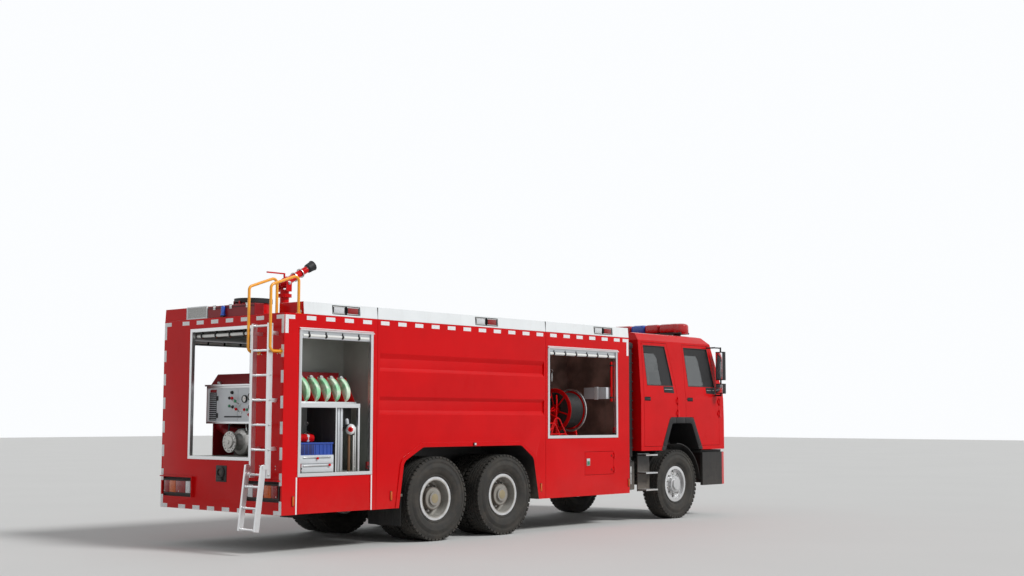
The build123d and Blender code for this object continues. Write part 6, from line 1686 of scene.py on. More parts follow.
    def pole_and_tubes(self) -> None:
        """Make the brown pole with its red and white head, the slats and bright tubes beside it."""
        foot = at(1.165, -1.130, 0.966)
        self.rod(foot, foot + Vector((0, 0, 0.50)), 0.017, COATS.wood, 24, 0.003)
        head = foot + Vector((0, 0, 0.465))
        self.turned([(0, 0.0), (0, 0.030), (0.020, 0.052), (0.050, 0.060), (0.085, 0.058), (0.115, 0.042),
                     (0.130, 0.024), (0.135, 0.0)], head, (0.25, -0.2, 1), COATS.tape, 36)
        self.turned([(0, 0.0), (0.002, 0.032), (0.014, 0.034), (0.020, 0.018), (0.060, 0.014), (0.064, 0.0)],
                    head + Vector((-0.02, -0.045, 0.060)), (-0.35, -1, 0.15), COATS.red, 28)
        self.turned([(0, 0.0), (0, 0.022), (0.055, 0.024), (0.070, 0.012), (0.072, 0.0)],
                    head + Vector((-0.030, 0, 0.128)), (-0.2, 0, 1), COATS.grey, 24)
        for along in (0.932, 0.978, 1.024):
            self.blocks(COATS.slats, 0.003, (along - 0.019, along + 0.019, -1.150, -1.138, 0.966, 1.760))
        for along, across, top in ((1.085, -1.070, 1.50), (1.205, -1.170, 1.42), (1.238, -1.165, 1.52)):
            self.rod(at(along, across, 0.966), at(along, across, top), 0.013, COATS.steel, 20, 0.003)
        self.blocks(COATS.aluminium, 0.003, (1.262, 1.288, -1.198, -1.150, 0.966, 1.762),
                    (0.882, 0.900, -1.199, -1.150, 0.966, 1.762))
        self.turned([(0.0, 0.028), (0.006, 0.030), (0.010, 0.026), (0.006, 0.022)], at(0.735, -0.80, 1.565),
                    (0, -1, 0.2), COATS.steel, 28, True)
        # The black board at y -0.665, under the shelf behind the crate, is a board and also painted shade: a
        # dark sheet for the shade on the locker's back.
        self.blocks(COATS.trim, 0.004, (1.052, 1.262, -1.060, -1.040, 1.500, 1.760),
                    (0.300, 0.620, -0.665, -0.645, 1.500, 1.730))
        self.blocks(COATS.wood, 0.002, (0.330, 0.590, -0.672, -0.662, 1.530, 1.550),
                    (0.330, 0.590, -0.672, -0.662, 1.680, 1.700))

    def latches(self) -> None:
        """Make the latch brackets in the lower corners of every side opening."""
        for along, sill in ((0.292, 0.966), (1.396, 0.966), (4.996, 1.385), (6.576, 1.385)):
            for finish, edge, half, rise in ((COATS.dark_red_and_painted_shade, 0.004, 0.013, 0.115),
                                             (COATS.trim, 0.003, 0.016, 0.030)):
                self.blocks(finish, edge, (along - half, along + half, 1.205, 1.243, sill, sill + rise),
                            both=True)
            for side in Side:
                self.rod(at(along, side.value * 1.242, sill + 0.055),
                         at(along, side.value * 1.252, sill + 0.055), 0.014, COATS.trim, 20, 0.002)

    def build(self) -> None:
        """Make the gear of the rear lockers."""
        skin("locker_racks", self.racks)
        for number in range(6):
            self.roll(number)
        self.done("rolled_hoses", BODY_OF["hose_rolls"], "hose", ["hose_rolls"])
        self.holder()
        self.drawers()
        self.red_bags()
        self.pole_and_tubes()
        self.done("rear_locker_gear", BODY_OF["locker_racks"], "rack")
        for side in Side:
            across = side.value * 1.228
            self.light_tube(at(0.300, across, 2.648), at(1.392, across, 2.648), 4)
            self.light_tube(at(5.005, across, 2.596), at(6.570, across, 2.596), 6)
        self.light_tube(at(0.068, 0.600, 2.690), at(0.068, -0.585, 2.690), 4)
        self.latches()
        self.done("locker_lights_and_latches", BODY_OF["locker_frames"], "aluminium")


@dataclass
class PumpBay(Bench):
    """Control cabinet, pump and socket in and below the rear opening."""

    face: float = 0.200
    cabinet_y: tuple[float, float] = (-0.590, 0.560)
    cabinet_z: tuple[float, float] = (1.560, 2.040)
    flange_z: float = 1.330

    def cabinet(self, middle: Vector, normal: Vector) -> Finish:
        """Cover and posts dark red, cabinet grey."""
        covered = middle.z > self.cabinet_z[1] - 0.002 and normal.z > -0.5
        return COATS.dark_red_and_painted_shade if covered or middle.z <= self.cabinet_z[0] - 0.002 else COATS.grey

    def pump(self, middle: Vector, normal: Vector) -> Finish:
        """Front of the pump bright, its block dark."""
        return COATS.casting if middle.x < REAR + 0.415 else COATS.iron

    def rim(self) -> None:
        """Make the cabinet's aluminium frame, its light upper edge and the latches of the cover."""
        back, front = self.face - 0.006, self.face + 0.020
        low, high = self.cabinet_z
        right, left = self.cabinet_y
        self.blocks(COATS.aluminium, 0.002, (back, front, right, right + 0.026, low, high),
                    (back, front, left - 0.026, left, low, high),
                    (back, front, right, left, low, low + 0.026),
                    (back, front, right, left, high - 0.026, high))
        self.blocks(COATS.aluminium, 0.003, (back - 0.024, front + 0.010, right - 0.012, left + 0.012, high,
                                             high + 0.022))
        for across in (-0.35, 0.32):
            self.block(at(self.face + 0.004, across - 0.03, 2.060),
                       at(self.face + 0.030, across + 0.03, 2.100), COATS.steel, 0.003,
                       Matrix.Rotation(radians(-30), 4, "Y"))

    def louvre(self) -> None:
        """Make the narrow louvre beside the door."""
        face = self.face
        self.blocks(COATS.trim, 0.002, (face - 0.003, face + 0.006, 0.345, 0.500, 1.600, 1.960))
        for number in range(14):
            up = 1.618 + number * 0.025
            self.block(at(face - 0.010, 0.350, up - 0.002), at(face + 0.004, 0.495, up + 0.002), COATS.grey,
                       0.0006, Matrix.Rotation(radians(-28), 4, "Y"))
        self.blocks(COATS.dark_red_and_painted_shade, 0.002, (face - 0.006, face, 0.350, 0.480, 1.962, 1.998))

    def gauge(self, across: float, up: float, radius: float) -> None:
        """Make a pressure gauge: black case, pale dial, needle and ticks.

        Args:
            across: Its middle.
            up: Its height.
            radius: Its radius.
        """
        face = at(self.face - 0.004, across, up)
        self.turned([(0, 0), (0, radius), (0.018, radius), (0.022, radius * 0.94), (0.022, radius * 0.84),
                     (0.014, radius * 0.82), (0.014, 0)], face + Vector((0.002, 0, 0)), Way.BACK.value,
                    COATS.trim, 36)
        self.turned([(0.0, 0.0), (0.0, radius * 0.82), (0.002, radius * 0.82), (0.002, 0.0)],
                    face - Vector((0.0105, 0, 0)), Way.BACK.value, COATS.light_tube, 36)
        for step in range(9):
            turn = radians(-135 + step * 33.75)
            out = Vector((0, sin(turn), cos(turn))) * radius
            place = face - Vector((0.0135, 0, 0)) + out * 0.66
            self.rod(place, place + out * 0.12, 0.0012, COATS.trim, 6)
        root = face - Vector((0.0145, 0, 0))
        needle = Vector((0, sin(radians(-70)), cos(radians(-70)))) * radius * 0.6
        self.rod(root, root + needle, 0.002, COATS.red, 8, 0.0, 0.3)

    def lever(self, across: float, up: float, finish: Finish) -> None:
        """Make a control lever with a ball grip.

        Args:
            across: Its pivot.
            up: The pivot's height.
            finish: The grip's finish.
        """
        root = at(self.face, across, up)
        self.turned([(0, 0), (0, 0.020), (0.008, 0.018), (0.012, 0)], root, Way.BACK.value, COATS.steel, 24)
        tip = root + Vector((-0.075, 0.0, 0.045))
        self.rod(root, tip, 0.006, COATS.steel, 12)
        self.turned([(-0.020, 0), (-0.014, 0.014), (0, 0.020), (0.014, 0.014), (0.020, 0)], tip, (-1, 0, 0.6),
                    finish, 20)

    def controls(self) -> None:
        """Make the door, its hinges and knob, the gauges, levers, buttons and the slot."""
        face, green = self.face, COATS.green_grip
        self.blocks(COATS.grey, 0.003, (face - 0.005, face + 0.004, -0.100, 0.330, 1.600, 2.000))
        self.blocks(COATS.trim, 0.004, (face - 0.014, face, 0.306, 0.344, 1.854, 1.914),
                    (face - 0.014, face, 0.306, 0.344, 1.635, 1.695))
        self.blocks(COATS.trim, 0.003, (face - 0.009, face, -0.177, 0.174, 1.640, 1.658))
        self.turned([(0, 0), (0, 0.022), (0.008, 0.022), (0.012, 0.014), (0.024, 0.018), (0.030, 0.012),
                     (0.031, 0)], at(face - 0.004, 0.010, 1.957), Way.BACK.value, COATS.trim, 28)
        for across, up, radius in ((-0.247, 1.873, 0.048), (-0.380, 1.900, 0.056), (-0.510, 1.900, 0.056),
                                   (-0.380, 1.770, 0.040)):
            self.gauge(across, up, radius)
        for across, up, finish in ((-0.020, 1.840, COATS.trim), (-0.075, 1.840, COATS.red),
                                   (-0.140, 1.800, green), (-0.020, 1.740, green),
                                   (-0.090, 1.730, COATS.trim), (-0.160, 1.700, COATS.red)):
            self.lever(across, up, finish)
        for across, up, finish in ((-0.235, 1.738, COATS.red), (-0.290, 1.738, green),
                                   (-0.325, 1.675, COATS.red), (-0.385, 1.675, COATS.trim),
                                   (-0.445, 1.675, COATS.trim), (-0.505, 1.675, green)):
            self.turned([(0, 0), (0, 0.020), (0.005, 0.019), (0.006, 0.013), (0.016, 0.012), (0.018, 0)],
                        at(face, across, up), Way.BACK.value, finish, 24)

    def pipes(self) -> None:
        """Make the flange's bolts and grips, the small outlet beside it, and the dark red suction pipe."""
        middle = at(0.150, 0, self.flange_z)
        self.bolts(circle(middle, 0.113, 8, 0, 0.5), Way.BACK.value, 0.011, COATS.steel)
        self.turned([(0, 0), (0, 0.078), (0.010, 0.080), (0.018, 0.074), (0.020, 0.030), (0.030, 0.026),
                     (0.032, 0)], middle, Way.BACK.value, COATS.casting, 48)
        for sign in (1, -1):
            self.rod(middle + Vector((-0.014, sign * 0.068, 0)), middle + Vector((-0.024, sign * 0.100, 0)),
                     0.009, COATS.casting, 16, 0.003)
        outlet = at(0.290, -0.300, 1.360)
        self.turned([(0, 0), (0, 0.070), (0.018, 0.072), (0.020, 0.052), (0.050, 0.050), (0.052, 0.066),
                     (0.074, 0.066), (0.078, 0.040), (0.086, 0.036), (0.088, 0)], outlet, Way.BACK.value,
                    COATS.casting, 40)
        self.rod(outlet, outlet + Vector((0.24, 0.06, 0)), 0.045, COATS.casting, 28, 0.004)
        self.rod(at(0.42, 0.50, 1.556), at(0.41, 0.42, 1.50), 0.110, COATS.dark_red_and_painted_shade, 36, 0.01, 0.72)
        for radius, bend, finish, route in (
                (0.075, 0.09, COATS.dark_red_and_painted_shade,
                 [(0.42, 0.46, 1.545), (0.40, 0.40, 1.47), (0.44, 0.24, 1.44), (0.60, 0.10, 1.42)]),
                (0.012, 0.06, COATS.hose, [(0.30, 0.20, 1.56), (0.28, 0.22, 1.30), (0.50, 0.24, 1.17)]),
                (0.010, 0.04, COATS.steel, [(0.32, -0.12, 1.56), (0.30, -0.16, 1.47), (0.44, -0.10, 1.42)])):
            self.pipe([at(*point) for point in route], radius, finish, bend)

    def socket(self) -> None:
        """Make the round socket below the opening, on its plate."""
        self.blocks(COATS.trim, 0.030, (-0.006, 0.004, -0.165, 0.055, 0.835, 1.040))
        self.turned([(0, 0), (0, 0.080), (0.020, 0.078), (0.030, 0.066), (0.032, 0.046), (0.012, 0.042),
                     (0.012, 0)], at(-0.002, -0.055, 0.955), Way.BACK.value, COATS.trim, 40)
        self.turned([(0, 0), (0, 0.038), (0.006, 0.036), (0.008, 0)], at(-0.012, -0.055, 0.955),
                    Way.BACK.value, COATS.iron, 32)
        self.blocks(COATS.trim, 0.008, (-0.036, 0.0, -0.100, -0.010, 0.852, 0.880))

    def build(self) -> None:
        """Make the cabinet, the pump and the socket."""
        skin("pump_panel", self.cabinet, 0.004)
        skin("pump_set", self.pump)
        self.rim()
        self.louvre()
        self.controls()
        self.done("cabinet_controls", BODY_OF["pump_panel"], "panel_grey")
        self.pipes()
        self.done("pump_fittings", BODY_OF["pump_set"], "pump_metal")
        self.socket()
        self.done("rear_socket", BODY_OF["rear_body"], "black_plastic")


@dataclass
class FrontLocker(Bench):
    """Hose reel, its guides, the junction box and the hatch latch."""

    reel_at: Point = (5.700, -0.900, 1.760)
    reel_half: float = 0.190
    hose_ring: float = 0.270
    hose_turn: float = 0.0135
    wall_at: float = 6.588
    front: float = -1.175

    def reel(self) -> None:
        """Make the reel: wound black hose between a red spoked flange and a bright one, and its shaft."""
        origin = at(*self.reel_at)
        inner = self.reel_half - 0.012
        profile: list[tuple[float, float]] = [(-inner, 0.10)]
        count = int(inner / self.hose_turn)
        pitch = 2 * inner / count
        for number in range(count):
            middle = -inner + (number + 0.5) * pitch
            for share, out in ((-0.46, 0.0), (-0.25, 0.0085), (0.0, 0.0115), (0.25, 0.0085), (0.46, 0.0)):
                profile.append((middle + share * pitch, self.hose_ring - 0.012 + out))
        profile.append((inner, 0.10))
        self.turned(profile, origin, (1, 0, 0), COATS.hose, 72)
        for end, finish in ((-1, COATS.red), (1, COATS.aluminium)):
            face = origin + Vector((end * (self.reel_half - 0.005), 0, 0))
            self.turned([(-0.005, 0.296), (-0.005, 0.322), (0.0, 0.329), (0.005, 0.322), (0.005, 0.296)],
                        face, (1, 0, 0), finish, 72, True)
            for thick, low, high, steps in ((0.004, 0.268, 0.297, 72), (0.005, 0.026, 0.085, 48)):
                self.turned([(-thick, low), (-thick, high), (thick, high), (thick, low)], face, (1, 0, 0),
                            COATS.red, steps, True)
            spokes = zip(*(circle(face, radius, 6, 0, 0.75 / pi) for radius in (0.070, 0.285)))
            for root, tip in spokes:
                self.rod(root, tip, 0.012, COATS.red, 12)
        shaft = Vector((self.reel_half, 0, 0))
        self.rod(origin - shaft, origin + shaft, 0.025, COATS.steel, 24)
        self.turned([(0, 0), (0, 0.085), (0.05, 0.085), (0.05, 0)], origin - Vector((0.025, 0, 0)), (1, 0, 0),
                    COATS.red, 36)

    def guides(self) -> None:
        """Make the red tube trestle and the guide horns beside the reel."""
        front = self.front
        rails = (
            [(4.992, front, 1.402), (5.455, front, 1.402)],
            [(4.992, front, 1.560), (5.180, front, 1.565), (5.300, front, 1.405)],
            [(5.060, front, 1.405), (5.200, front, 1.640), (5.290, front, 1.640), (5.445, front, 1.405)],
            [(5.200, front, 1.600), (5.110, front, 1.405)],
            [(4.992, front, 1.480), (5.130, front, 1.480)],
            [(5.245, front, 1.640), (5.245, -0.980, 1.720), (5.430, -0.980, 1.760)],
            [(5.020, -1.020, 1.402), (5.180, -1.000, 1.700), (5.420, -0.960, 1.800)],
            [(5.120, -0.900, 1.402), (5.280, -0.900, 1.880), (5.430, -0.900, 1.960)],
            [(5.330, -1.080, 1.402), (5.350, -1.080, 1.900), (5.440, -1.000, 1.980)])
        for rail in rails:
            self.pipe([at(*point) for point in rail], 0.011, COATS.red, 0.05)
        for along in (5.060, 5.290, 5.445):
            self.blocks(COATS.red, 0.002, (along - 0.03, along + 0.03, front - 0.02, front + 0.02, 1.384,
                                           1.394))

    def wall(self) -> None:
        """Make the junction box, the red hand lamp tube and the hanging tools."""
        wall = self.wall_at
        self.blocks(COATS.grey, 0.008, (wall - 0.115, wall, -1.150, -0.700, 1.940, 2.120))
        self.blocks(COATS.tape, 0.002, (wall - 0.124, wall - 0.112, -0.990, -0.915, 1.930, 2.130))
        self.bolts([at(wall - 0.115, across, up) for across in (-1.13, -0.72) for up in (1.96, 2.10)],
                   Way.BACK.value, 0.007, COATS.steel)
        self.rod(at(wall - 0.030, -1.185, 1.900), at(wall - 0.030, -1.185, 2.520), 0.019, COATS.red, 24,
                 0.004)
        for up in (1.96, 2.46):
            self.blocks(COATS.trim, 0.003, (wall - 0.052, wall, -1.205, -1.165, up - 0.012, up + 0.012))
        for along, up in ((5.60, 2.42), (5.74, 2.36), (5.66, 2.20)):
            self.turned([(0.0, 0.030), (0.010, 0.034), (0.020, 0.030), (0.010, 0.024)], at(along, -0.640, up),
                        (0, -1, 0.3), COATS.steel, 24, True)
            self.rod(at(along, -0.655, up - 0.02), at(along, -0.655, up - 0.16), 0.012, COATS.steel, 16,
                     0.003)

    def latch(self) -> None:
        """Make the paddle latch and the two studs of the hatch."""
        self.blocks(COATS.steel, 0.006, (5.845, 5.925, -1.262, -1.252, 0.920, 1.030))
        self.blocks(COATS.green_grip, 0.004, (5.858, 5.912, -1.268, -1.260, 0.935, 0.990))
        for up in (0.850, 1.062):
            self.turned([(0, 0), (0, 0.013), (0.005, 0.011), (0.006, 0)], at(6.470, -1.250, up), (0, -1, 0),
                        COATS.trim, 20)

    def build(self) -> None:
        """Make the front locker's gear."""
        self.reel()
        self.done("wound_hose_reel", BODY_OF["hose_reel"], "red_paint", ["hose_reel"])
        self.guides()
        self.wall()
        self.done("front_locker_gear", BODY_OF["locker_racks"], "rack")
        self.latch()
        self.done("hatch_latch", BODY_OF["hatch"], "red_paint")


@dataclass
class CabTrim(Bench):
    """Black window films, seals, arch lips, wipers, mirror glasses and grille bars."""

    low: float = 2.172
    high: float = 2.812
    band: float = 2.690
    set_in: float = 0.0125
    rear_window: tuple[float, float, float, float] = (0.190, 0.130, 0.720, 0.900)
    front_window: tuple[float, float, float, float] = (1.350, 1.265, 1.960, 2.130)

    def on_side(self, along: float, up: float, side: Side, lift: float) -> Vector:
        """Point on the cab's side, which leans in above the waist.

        Args:
            along: Distance from the cab's rear.
            up: Height.
            side: The side of the truck.
            lift: Distance out from the skin.

        Returns:
            The point.
        """
        out = HALF_CAB - max(0.0, up - 1.960) * 0.060 / 0.940
        return Vector((CAB_REAR + along, side.value * (out + lift), up))

    def on_front(self, across: float, up: float, lift: float) -> Vector:
        """Point before the windscreen, which leans back."""
        return Vector((CAB_FRONT - 0.015 - (up - 1.66) * 0.315 / 1.24 + lift, across, up))

    def film(self, side: Side, window: tuple[float, float, float, float], inner: tuple[float, float]) -> None:
        """Make the black film of one side window and the black panel under its corner.

        Args:
            side: The side of the truck.
            window: Rear low, rear top, front top and front low corners of the window.
            inner: Front top and front low corners of its clear part.
        """
        rear_low, rear_top, front_top, front_low = window
        low, high, band = self.low, self.high, self.band
        rear_band = rear_low + (rear_top - rear_low) * (band - low) / (high - low)
        outline = [(rear_top + 0.002, high - 0.002), (front_top - 0.002, high - 0.002),
                   (front_low - 0.003, low + 0.002), (inner[1], low + 0.002), (inner[0] + 0.035, band - 0.07),
                   (inner[0] - 0.03, band), (rear_band + 0.002, band)]
        self.plate([self.on_side(along, up, side, -self.set_in) for along, up in outline],
                   (0, side.value * 0.0015, 0), COATS.trim)
        under = [(inner[1] + 0.03, low - 0.012), (front_low + 0.004, low - 0.012), (front_low + 0.030, 2.050),
                 (inner[1] + 0.045, 2.058)]
        self.plate([self.on_side(along, up, side, -0.002) for along, up in under],
                   (0, side.value * 0.0045, 0), COATS.trim, 0.001)
        self.block(self.on_side(inner[1] + 0.06, 2.108, side, 0.001),
                   self.on_side(front_low - 0.02, 2.116, side, 0.004), COATS.steel, 0.001)

    def lip(self, outline: Sequence[tuple[float, float]], side: Side) -> None:
        """Add one stretch of the black lip round the wheel arch.

        Args:
            outline: Its corners as distance forward and height.
            side: The side of the truck.
        """
        points = [at(along, side.value * (HALF_CAB - 0.001), up) for along, up in outline]
        self.plate(points, (0, side.value * 0.0055, 0), COATS.trim, 0.001)

    def mirror_glass(self, side: Side) -> None:
        """Make the glasses of one mirror set."""
        back = CAB_FRONT - 0.300
        for low, high in ((2.305, 2.760), (2.075, 2.215)):
            self.block((back - 0.0025, side.value * 1.288, low), (back + 0.004, side.value * 1.422, high),
                       COATS.mirror, 0.002)

    def doors(self) -> None:
        """Dress all four doors."""
        places = (
            ("rear", self.rear_window, (0.470, 0.600),
             [(7.845, 1.194), (8.030, 1.590), (8.052, 1.630), (8.094, 1.656), (8.225, 1.660), (8.225, 1.560),
              (8.142, 1.558), (8.112, 1.540), (7.955, 1.194)]),
            ("front", self.front_window, (1.660, 1.830),
             [(8.497, 1.560), (8.497, 1.660), (8.700, 1.656), (8.742, 1.630), (8.764, 1.590), (8.968, 1.194),
              (8.856, 1.194), (8.684, 1.540), (8.654, 1.558)]))
        for side in Side:
            for place, window, inner, lip in places:
                self.film(side, window, inner)
                corners = zip(window, (self.low, self.high, self.high, self.low))
                self.loop([self.on_side(along, up, side, -0.004) for along, up in corners], 0.007, COATS.seal)
                self.lip(lip, side)
                handle = HANDLES[place]
                self.block(self.on_side(handle - 0.079, 1.934, side, -0.0005),
                           self.on_side(handle + 0.079, 1.972, side, 0.004), COATS.trim, 0.001)
                if place == "front":
                    self.mirror_glass(side)
                name = f"door_{place}_{side.name.lower()}"
                self.done(f"{name}_trim", name, "black_plastic")

    def front(self) -> None:
        """Dress the cab's front: grille bars, wipers, roof markers, hand grips and the screen's seal."""
        for number in range(5):
            up = 1.290 + number * 0.0665
            self.block((CAB_FRONT + 0.004, -0.775, up - 0.004), (CAB_FRONT + 0.020, 0.775, up + 0.004),
                       COATS.steel, 0.002)
        for foot, tip in ((-0.62, -0.10), (0.02, 0.54)):
            root = self.on_front(foot, 2.075, 0.012)
            self.turned([(0, 0), (0, 0.020), (0.020, 0.018), (0.026, 0)], root - Vector((0.02, 0, 0)),
                        (1, 0, 0.4), COATS.trim, 20)
            self.rod(root, self.on_front(tip, 2.50, 0.030), 0.007, COATS.trim, 12)
            self.rod(self.on_front(tip - 0.06, 2.20, 0.012), self.on_front(tip + 0.02, 2.72, 0.012), 0.006,
                     COATS.seal, 8)
        for across in (-0.80, -0.40, 0.0, 0.40, 0.80):
            self.block((CAB_FRONT - 0.46, across - 0.035, 2.990), (CAB_FRONT - 0.41, across + 0.035, 3.016),
                       COATS.amber_lens, 0.008)
        corners = [(-1.062, 2.118), (-1.012, 2.802), (1.012, 2.802), (1.062, 2.118)]
        self.loop([self.on_front(across, up, 0.002) for across, up in corners], 0.010, COATS.seal)
        grip = ((0.005, 1.70), (0.055, 1.70), (0.035, 1.93), (-0.010, 1.93))
        for side in Side:
            self.pipe([(CAB_FRONT + ahead, side.value * 0.93, up) for ahead, up in grip], 0.012, COATS.trim,
                      0.03)

    def bumper(self, middle: Vector, normal: Vector) -> Finish:
        """Bumper: black sides and underside, red front.

        Args:
            middle: The face's middle.
            normal: Its normal.

        Returns:
            The face's finish.
        """
        intake = 0.58 < middle.z < 0.73 and abs(middle.y) < 0.565 and normal.x < 0.5
        black = middle.x < CAB_FRONT - 0.06 or normal.z < -0.9 or normal.x < -0.3 or intake
        return COATS.trim if black else COATS.red

    def steps(self, middle: Vector, normal: Vector) -> Finish:
        """Steps: bright treads and nosings on black hangers."""
        on_tread = any(abs(middle.z - up) < 0.030 for up in (0.495, 0.765, 1.050))
        return COATS.plate if on_tread and abs(middle.y) > 1.045 else COATS.black

    def build(self) -> None:
        """Dress the cab."""
        self.doors()
        self.front()
        for side in Side:
            for outline in ([(8.231, 1.560), (8.231, 1.660), (8.491, 1.660), (8.491, 1.560)],
                            [(7.812, 1.128), (7.842, 1.188), (7.952, 1.188), (7.924, 1.128)],
                            [(8.860, 1.188), (8.972, 1.188), (9.003, 1.128), (8.888, 1.128)]):
                self.lip(outline, side)
        self.done("cab_front_trim", BODY_OF["cab_shell"], "black_plastic")
        skin("front_bumper", self.bumper, 0.006)
        skin("cab_steps", self.steps)


@dataclass
class Seats(Bench):
    """Cab seats and rear bench as crowned, channelled cushions on their bases."""

    bench_back: float = 7.325
    front_back: float = 8.470
    front_y: float = 0.740

    def pad(self, name: str, low: Vector, high: Vector, up: Point, channels: int) -> None:
        """Make one cushion: crowned, drawn in at its sides, with sewn channels.

        Args:
            name: The piece's name.
            low: Its lowest corner.
            high: Its highest corner.
            up: The way that its face looks.
            channels: How many channels are sewn into it.
        """
        shape = bmesh.new()
        bmesh.ops.create_cube(shape, size=1.0)
        bmesh.ops.subdivide_edges(shape, edges=shape.edges[:], cuts=15, use_grid_fill=True)
        axis = max(range(3), key=lambda number: abs(up[number]))
        wide, deep = 1, 2 - axis
        for vert in shape.verts:
            across, along, lift = vert.co[wide], vert.co[deep], vert.co[axis] * up[axis]
            crown = (1 - (2 * across) ** 2) * (1 - (2 * along) ** 2)
            if lift > 0.49:
                groove = abs(sin(pi * (across + 0.5) * channels))
                vert.co[axis] -= up[axis] * (0.20 * (1 - crown) + 0.07 * (1.0 - groove) ** 3)
            else:
                vert.co[wide] *= 1.0 - 0.02 * (1 - (2 * lift) ** 2)
            edge = 1.0 - 0.05 * (2 * max(abs(across), abs(along))) ** 6
            vert.co[wide] *= edge
            vert.co[deep] *= edge
        bmesh.ops.scale(shape, vec=high - low, verts=shape.verts)
        for _ in range(3):
            bmesh.ops.smooth_vert(shape, verts=shape.verts, factor=0.5, use_axis_x=True, use_axis_y=True,
                                  use_axis_z=True)
        bmesh.ops.translate(shape, vec=(low + high) / 2, verts=shape.verts)
        self.add(shape, COATS.cloth)
        self.done(name, "cab", "cab_trim")

    def front_seat(self, side: Side) -> None:
        """Make one front seat's cushions."""
        back, middle = self.front_back, side.value * self.front_y
        for part, half, x0, x1, z0, z1, up, channels in (
                ("seat_cushion", 0.240, 0.100, 0.590, 1.800, 1.960, (0, 0, 1), 3),
                ("seat_back", 0.230, 0.000, 0.145, 1.900, 2.440, (1, 0, 0), 3),
                ("headrest", 0.130, 0.010, 0.120, 2.452, 2.562, (1, 0, 0), 1)):
            self.pad(f"front_{part}_{side.name.lower()}", at(back + x0, middle - half, z0),
                     at(back + x1, middle + half, z1), up, channels)

    def build(self) -> None:
        """Make all seats, keeping the dashboard of the CAD node."""
        skin("cab_interior", COATS.trim, 0.002, REAR + 9.02)
        back, bench = self.front_back, self.bench_back
        for side in Side:
            middle = side.value * self.front_y
            self.blocks(COATS.trim, 0.012, (back + 0.07, back + 0.42, middle - 0.150, middle + 0.150, 1.690,
                                            1.806))
            for across in (middle - 0.06, middle + 0.06):
                self.rod(at(back + 0.065, across, 2.40), at(back + 0.065, across, 2.49), 0.007, COATS.steel,
                         12)
        self.blocks(COATS.trim, 0.010, (bench, bench + 0.40, -1.070, 1.070, 1.362, 1.690))
        self.done("seat_bases", "cab", "cab_trim", ["cab_interior"])
        for number in range(4):
            right, left = -1.064 + number * 0.535, -0.541 + number * 0.535
            self.pad(f"bench_cushion_{number + 1}", at(bench + 0.03, right, 1.682),
                     at(bench + 0.42, left, 1.800), (0, 0, 1), 2)
            self.pad(f"bench_back_{number + 1}", at(bench, right, 1.790), at(bench + 0.110, left, 2.290),
                     (1, 0, 0), 2)
        for side in Side:
            self.front_seat(side)


@dataclass
class LightBar(Bench):
    """Light bar: red lenses with a blue one left of the middle, on a black tray."""

    middle: float = 9.200
    half: float = 0.820
    half_depth: float = 0.140
    low: float = 3.090
    high: float = 3.280

    def section(self, centre: float, width: float, finish: Finish) -> None:
        """Make one lens section with its ribs.

        Args:
            centre: Its middle across the cab.
            width: Its width.
            finish: The lens.
        """
        back, front = self.middle - self.half_depth, self.middle + self.half_depth
        low, high, start = self.low + 0.030, self.high - 0.002, centre - width / 2
        self.blocks(finish, 0.045, (back + 0.002, front - 0.002, start + 0.003, start + width - 0.003, low,
                                    high))
        count = int(width / 0.045)
        for number in range(count):
            across = start + (number + 0.5) * width / count
            self.blocks(finish, 0.002, (back, front, across - 0.003, across + 0.003, low + 0.022,
                                        high - 0.024))

    def build(self) -> None:
        """Make the whole bar."""
        middle, deep, low = self.middle, self.half_depth, self.low
        self.blocks(COATS.trim, 0.012, (middle - deep, middle + deep, 0.05 - self.half, self.half - 0.05, low,
                                        low + 0.032))
        self.blocks(COATS.trim, 0.008, (middle - 0.05, middle + 0.05, 0.550, 0.650, CAB_TOP - 0.002, low),
                    both=True)
        for side in Side:
            self.section(side.value * 0.500, 0.400, COATS.bar_red)
            self.section(side.value * 0.1485, 0.297, COATS.blue_lens if side is Side.LEFT else COATS.bar_red)
            self.turned([(0, 0), (0, 0.128), (0.030, 0.136), (0.034, 0.138), (0.130, 0.136), (0.160, 0.126),
                         (0.178, 0.104), (0.186, 0.070), (0.188, 0)],
                        at(middle, side.value * (self.half - deep), low + 0.002), (0, 0, 1), COATS.bar_red,
                        48)
            self.bolts([at(middle + reach, side.value * 0.60, low - 0.030) for reach in (-0.035, 0.035)],
                       (0, side.value, 0), 0.008, COATS.steel)
        self.done("lens_light_bar", BODY_OF["light_bar"], "light_bar", ["light_bar"])


@dataclass
class Monitor(Bench):
    """Water monitor: red castings, black barrel end, flange and pivot bolts, clamps on the barrel."""

    pivot: Point = (1.000, 0.0, 3.420)
    way: Vector = field(default_factory=lambda: Vector((cos(radians(30.0)), 0.0, sin(radians(30.0)))))

    def barrel(self, middle: Vector, normal: Vector) -> Finish:
        """Barrel red, its tip black."""
        return COATS.trim if (middle - at(*self.pivot)).dot(self.way) > 0.405 else COATS.red

    def build(self) -> None:
        """Dress the monitor."""
        skin("monitor_base", COATS.red)
        skin("monitor_elbow", COATS.red)
        skin("monitor_barrel", self.barrel)
        pivot = at(*self.pivot)
        self.bolts(circle(at(1.0, 0.0, BODY_TOP + 0.022), 0.080, 8, 2, 0.5), (0, 0, 1), 0.011, COATS.steel)
        self.done("monitor_base_bolts", BODY_OF["monitor_base"], "red_paint")
        for side in Side:
            out = Vector((0, side.value, 0))
            self.bolts([pivot + out * 0.0965], out, 0.020, COATS.steel)
        self.done("monitor_pivot_bolts", BODY_OF["monitor_elbow"], "red_paint")
        for distance in (0.180, 0.300):
            self.turned([(0.0, 0.050), (0.0, 0.066), (0.012, 0.066), (0.012, 0.050)],
                        pivot + self.way * distance, self.way, COATS.steel, 36, True)
        self.done("monitor_barrel_clamps", BODY_OF["monitor_barrel"], "red_paint")


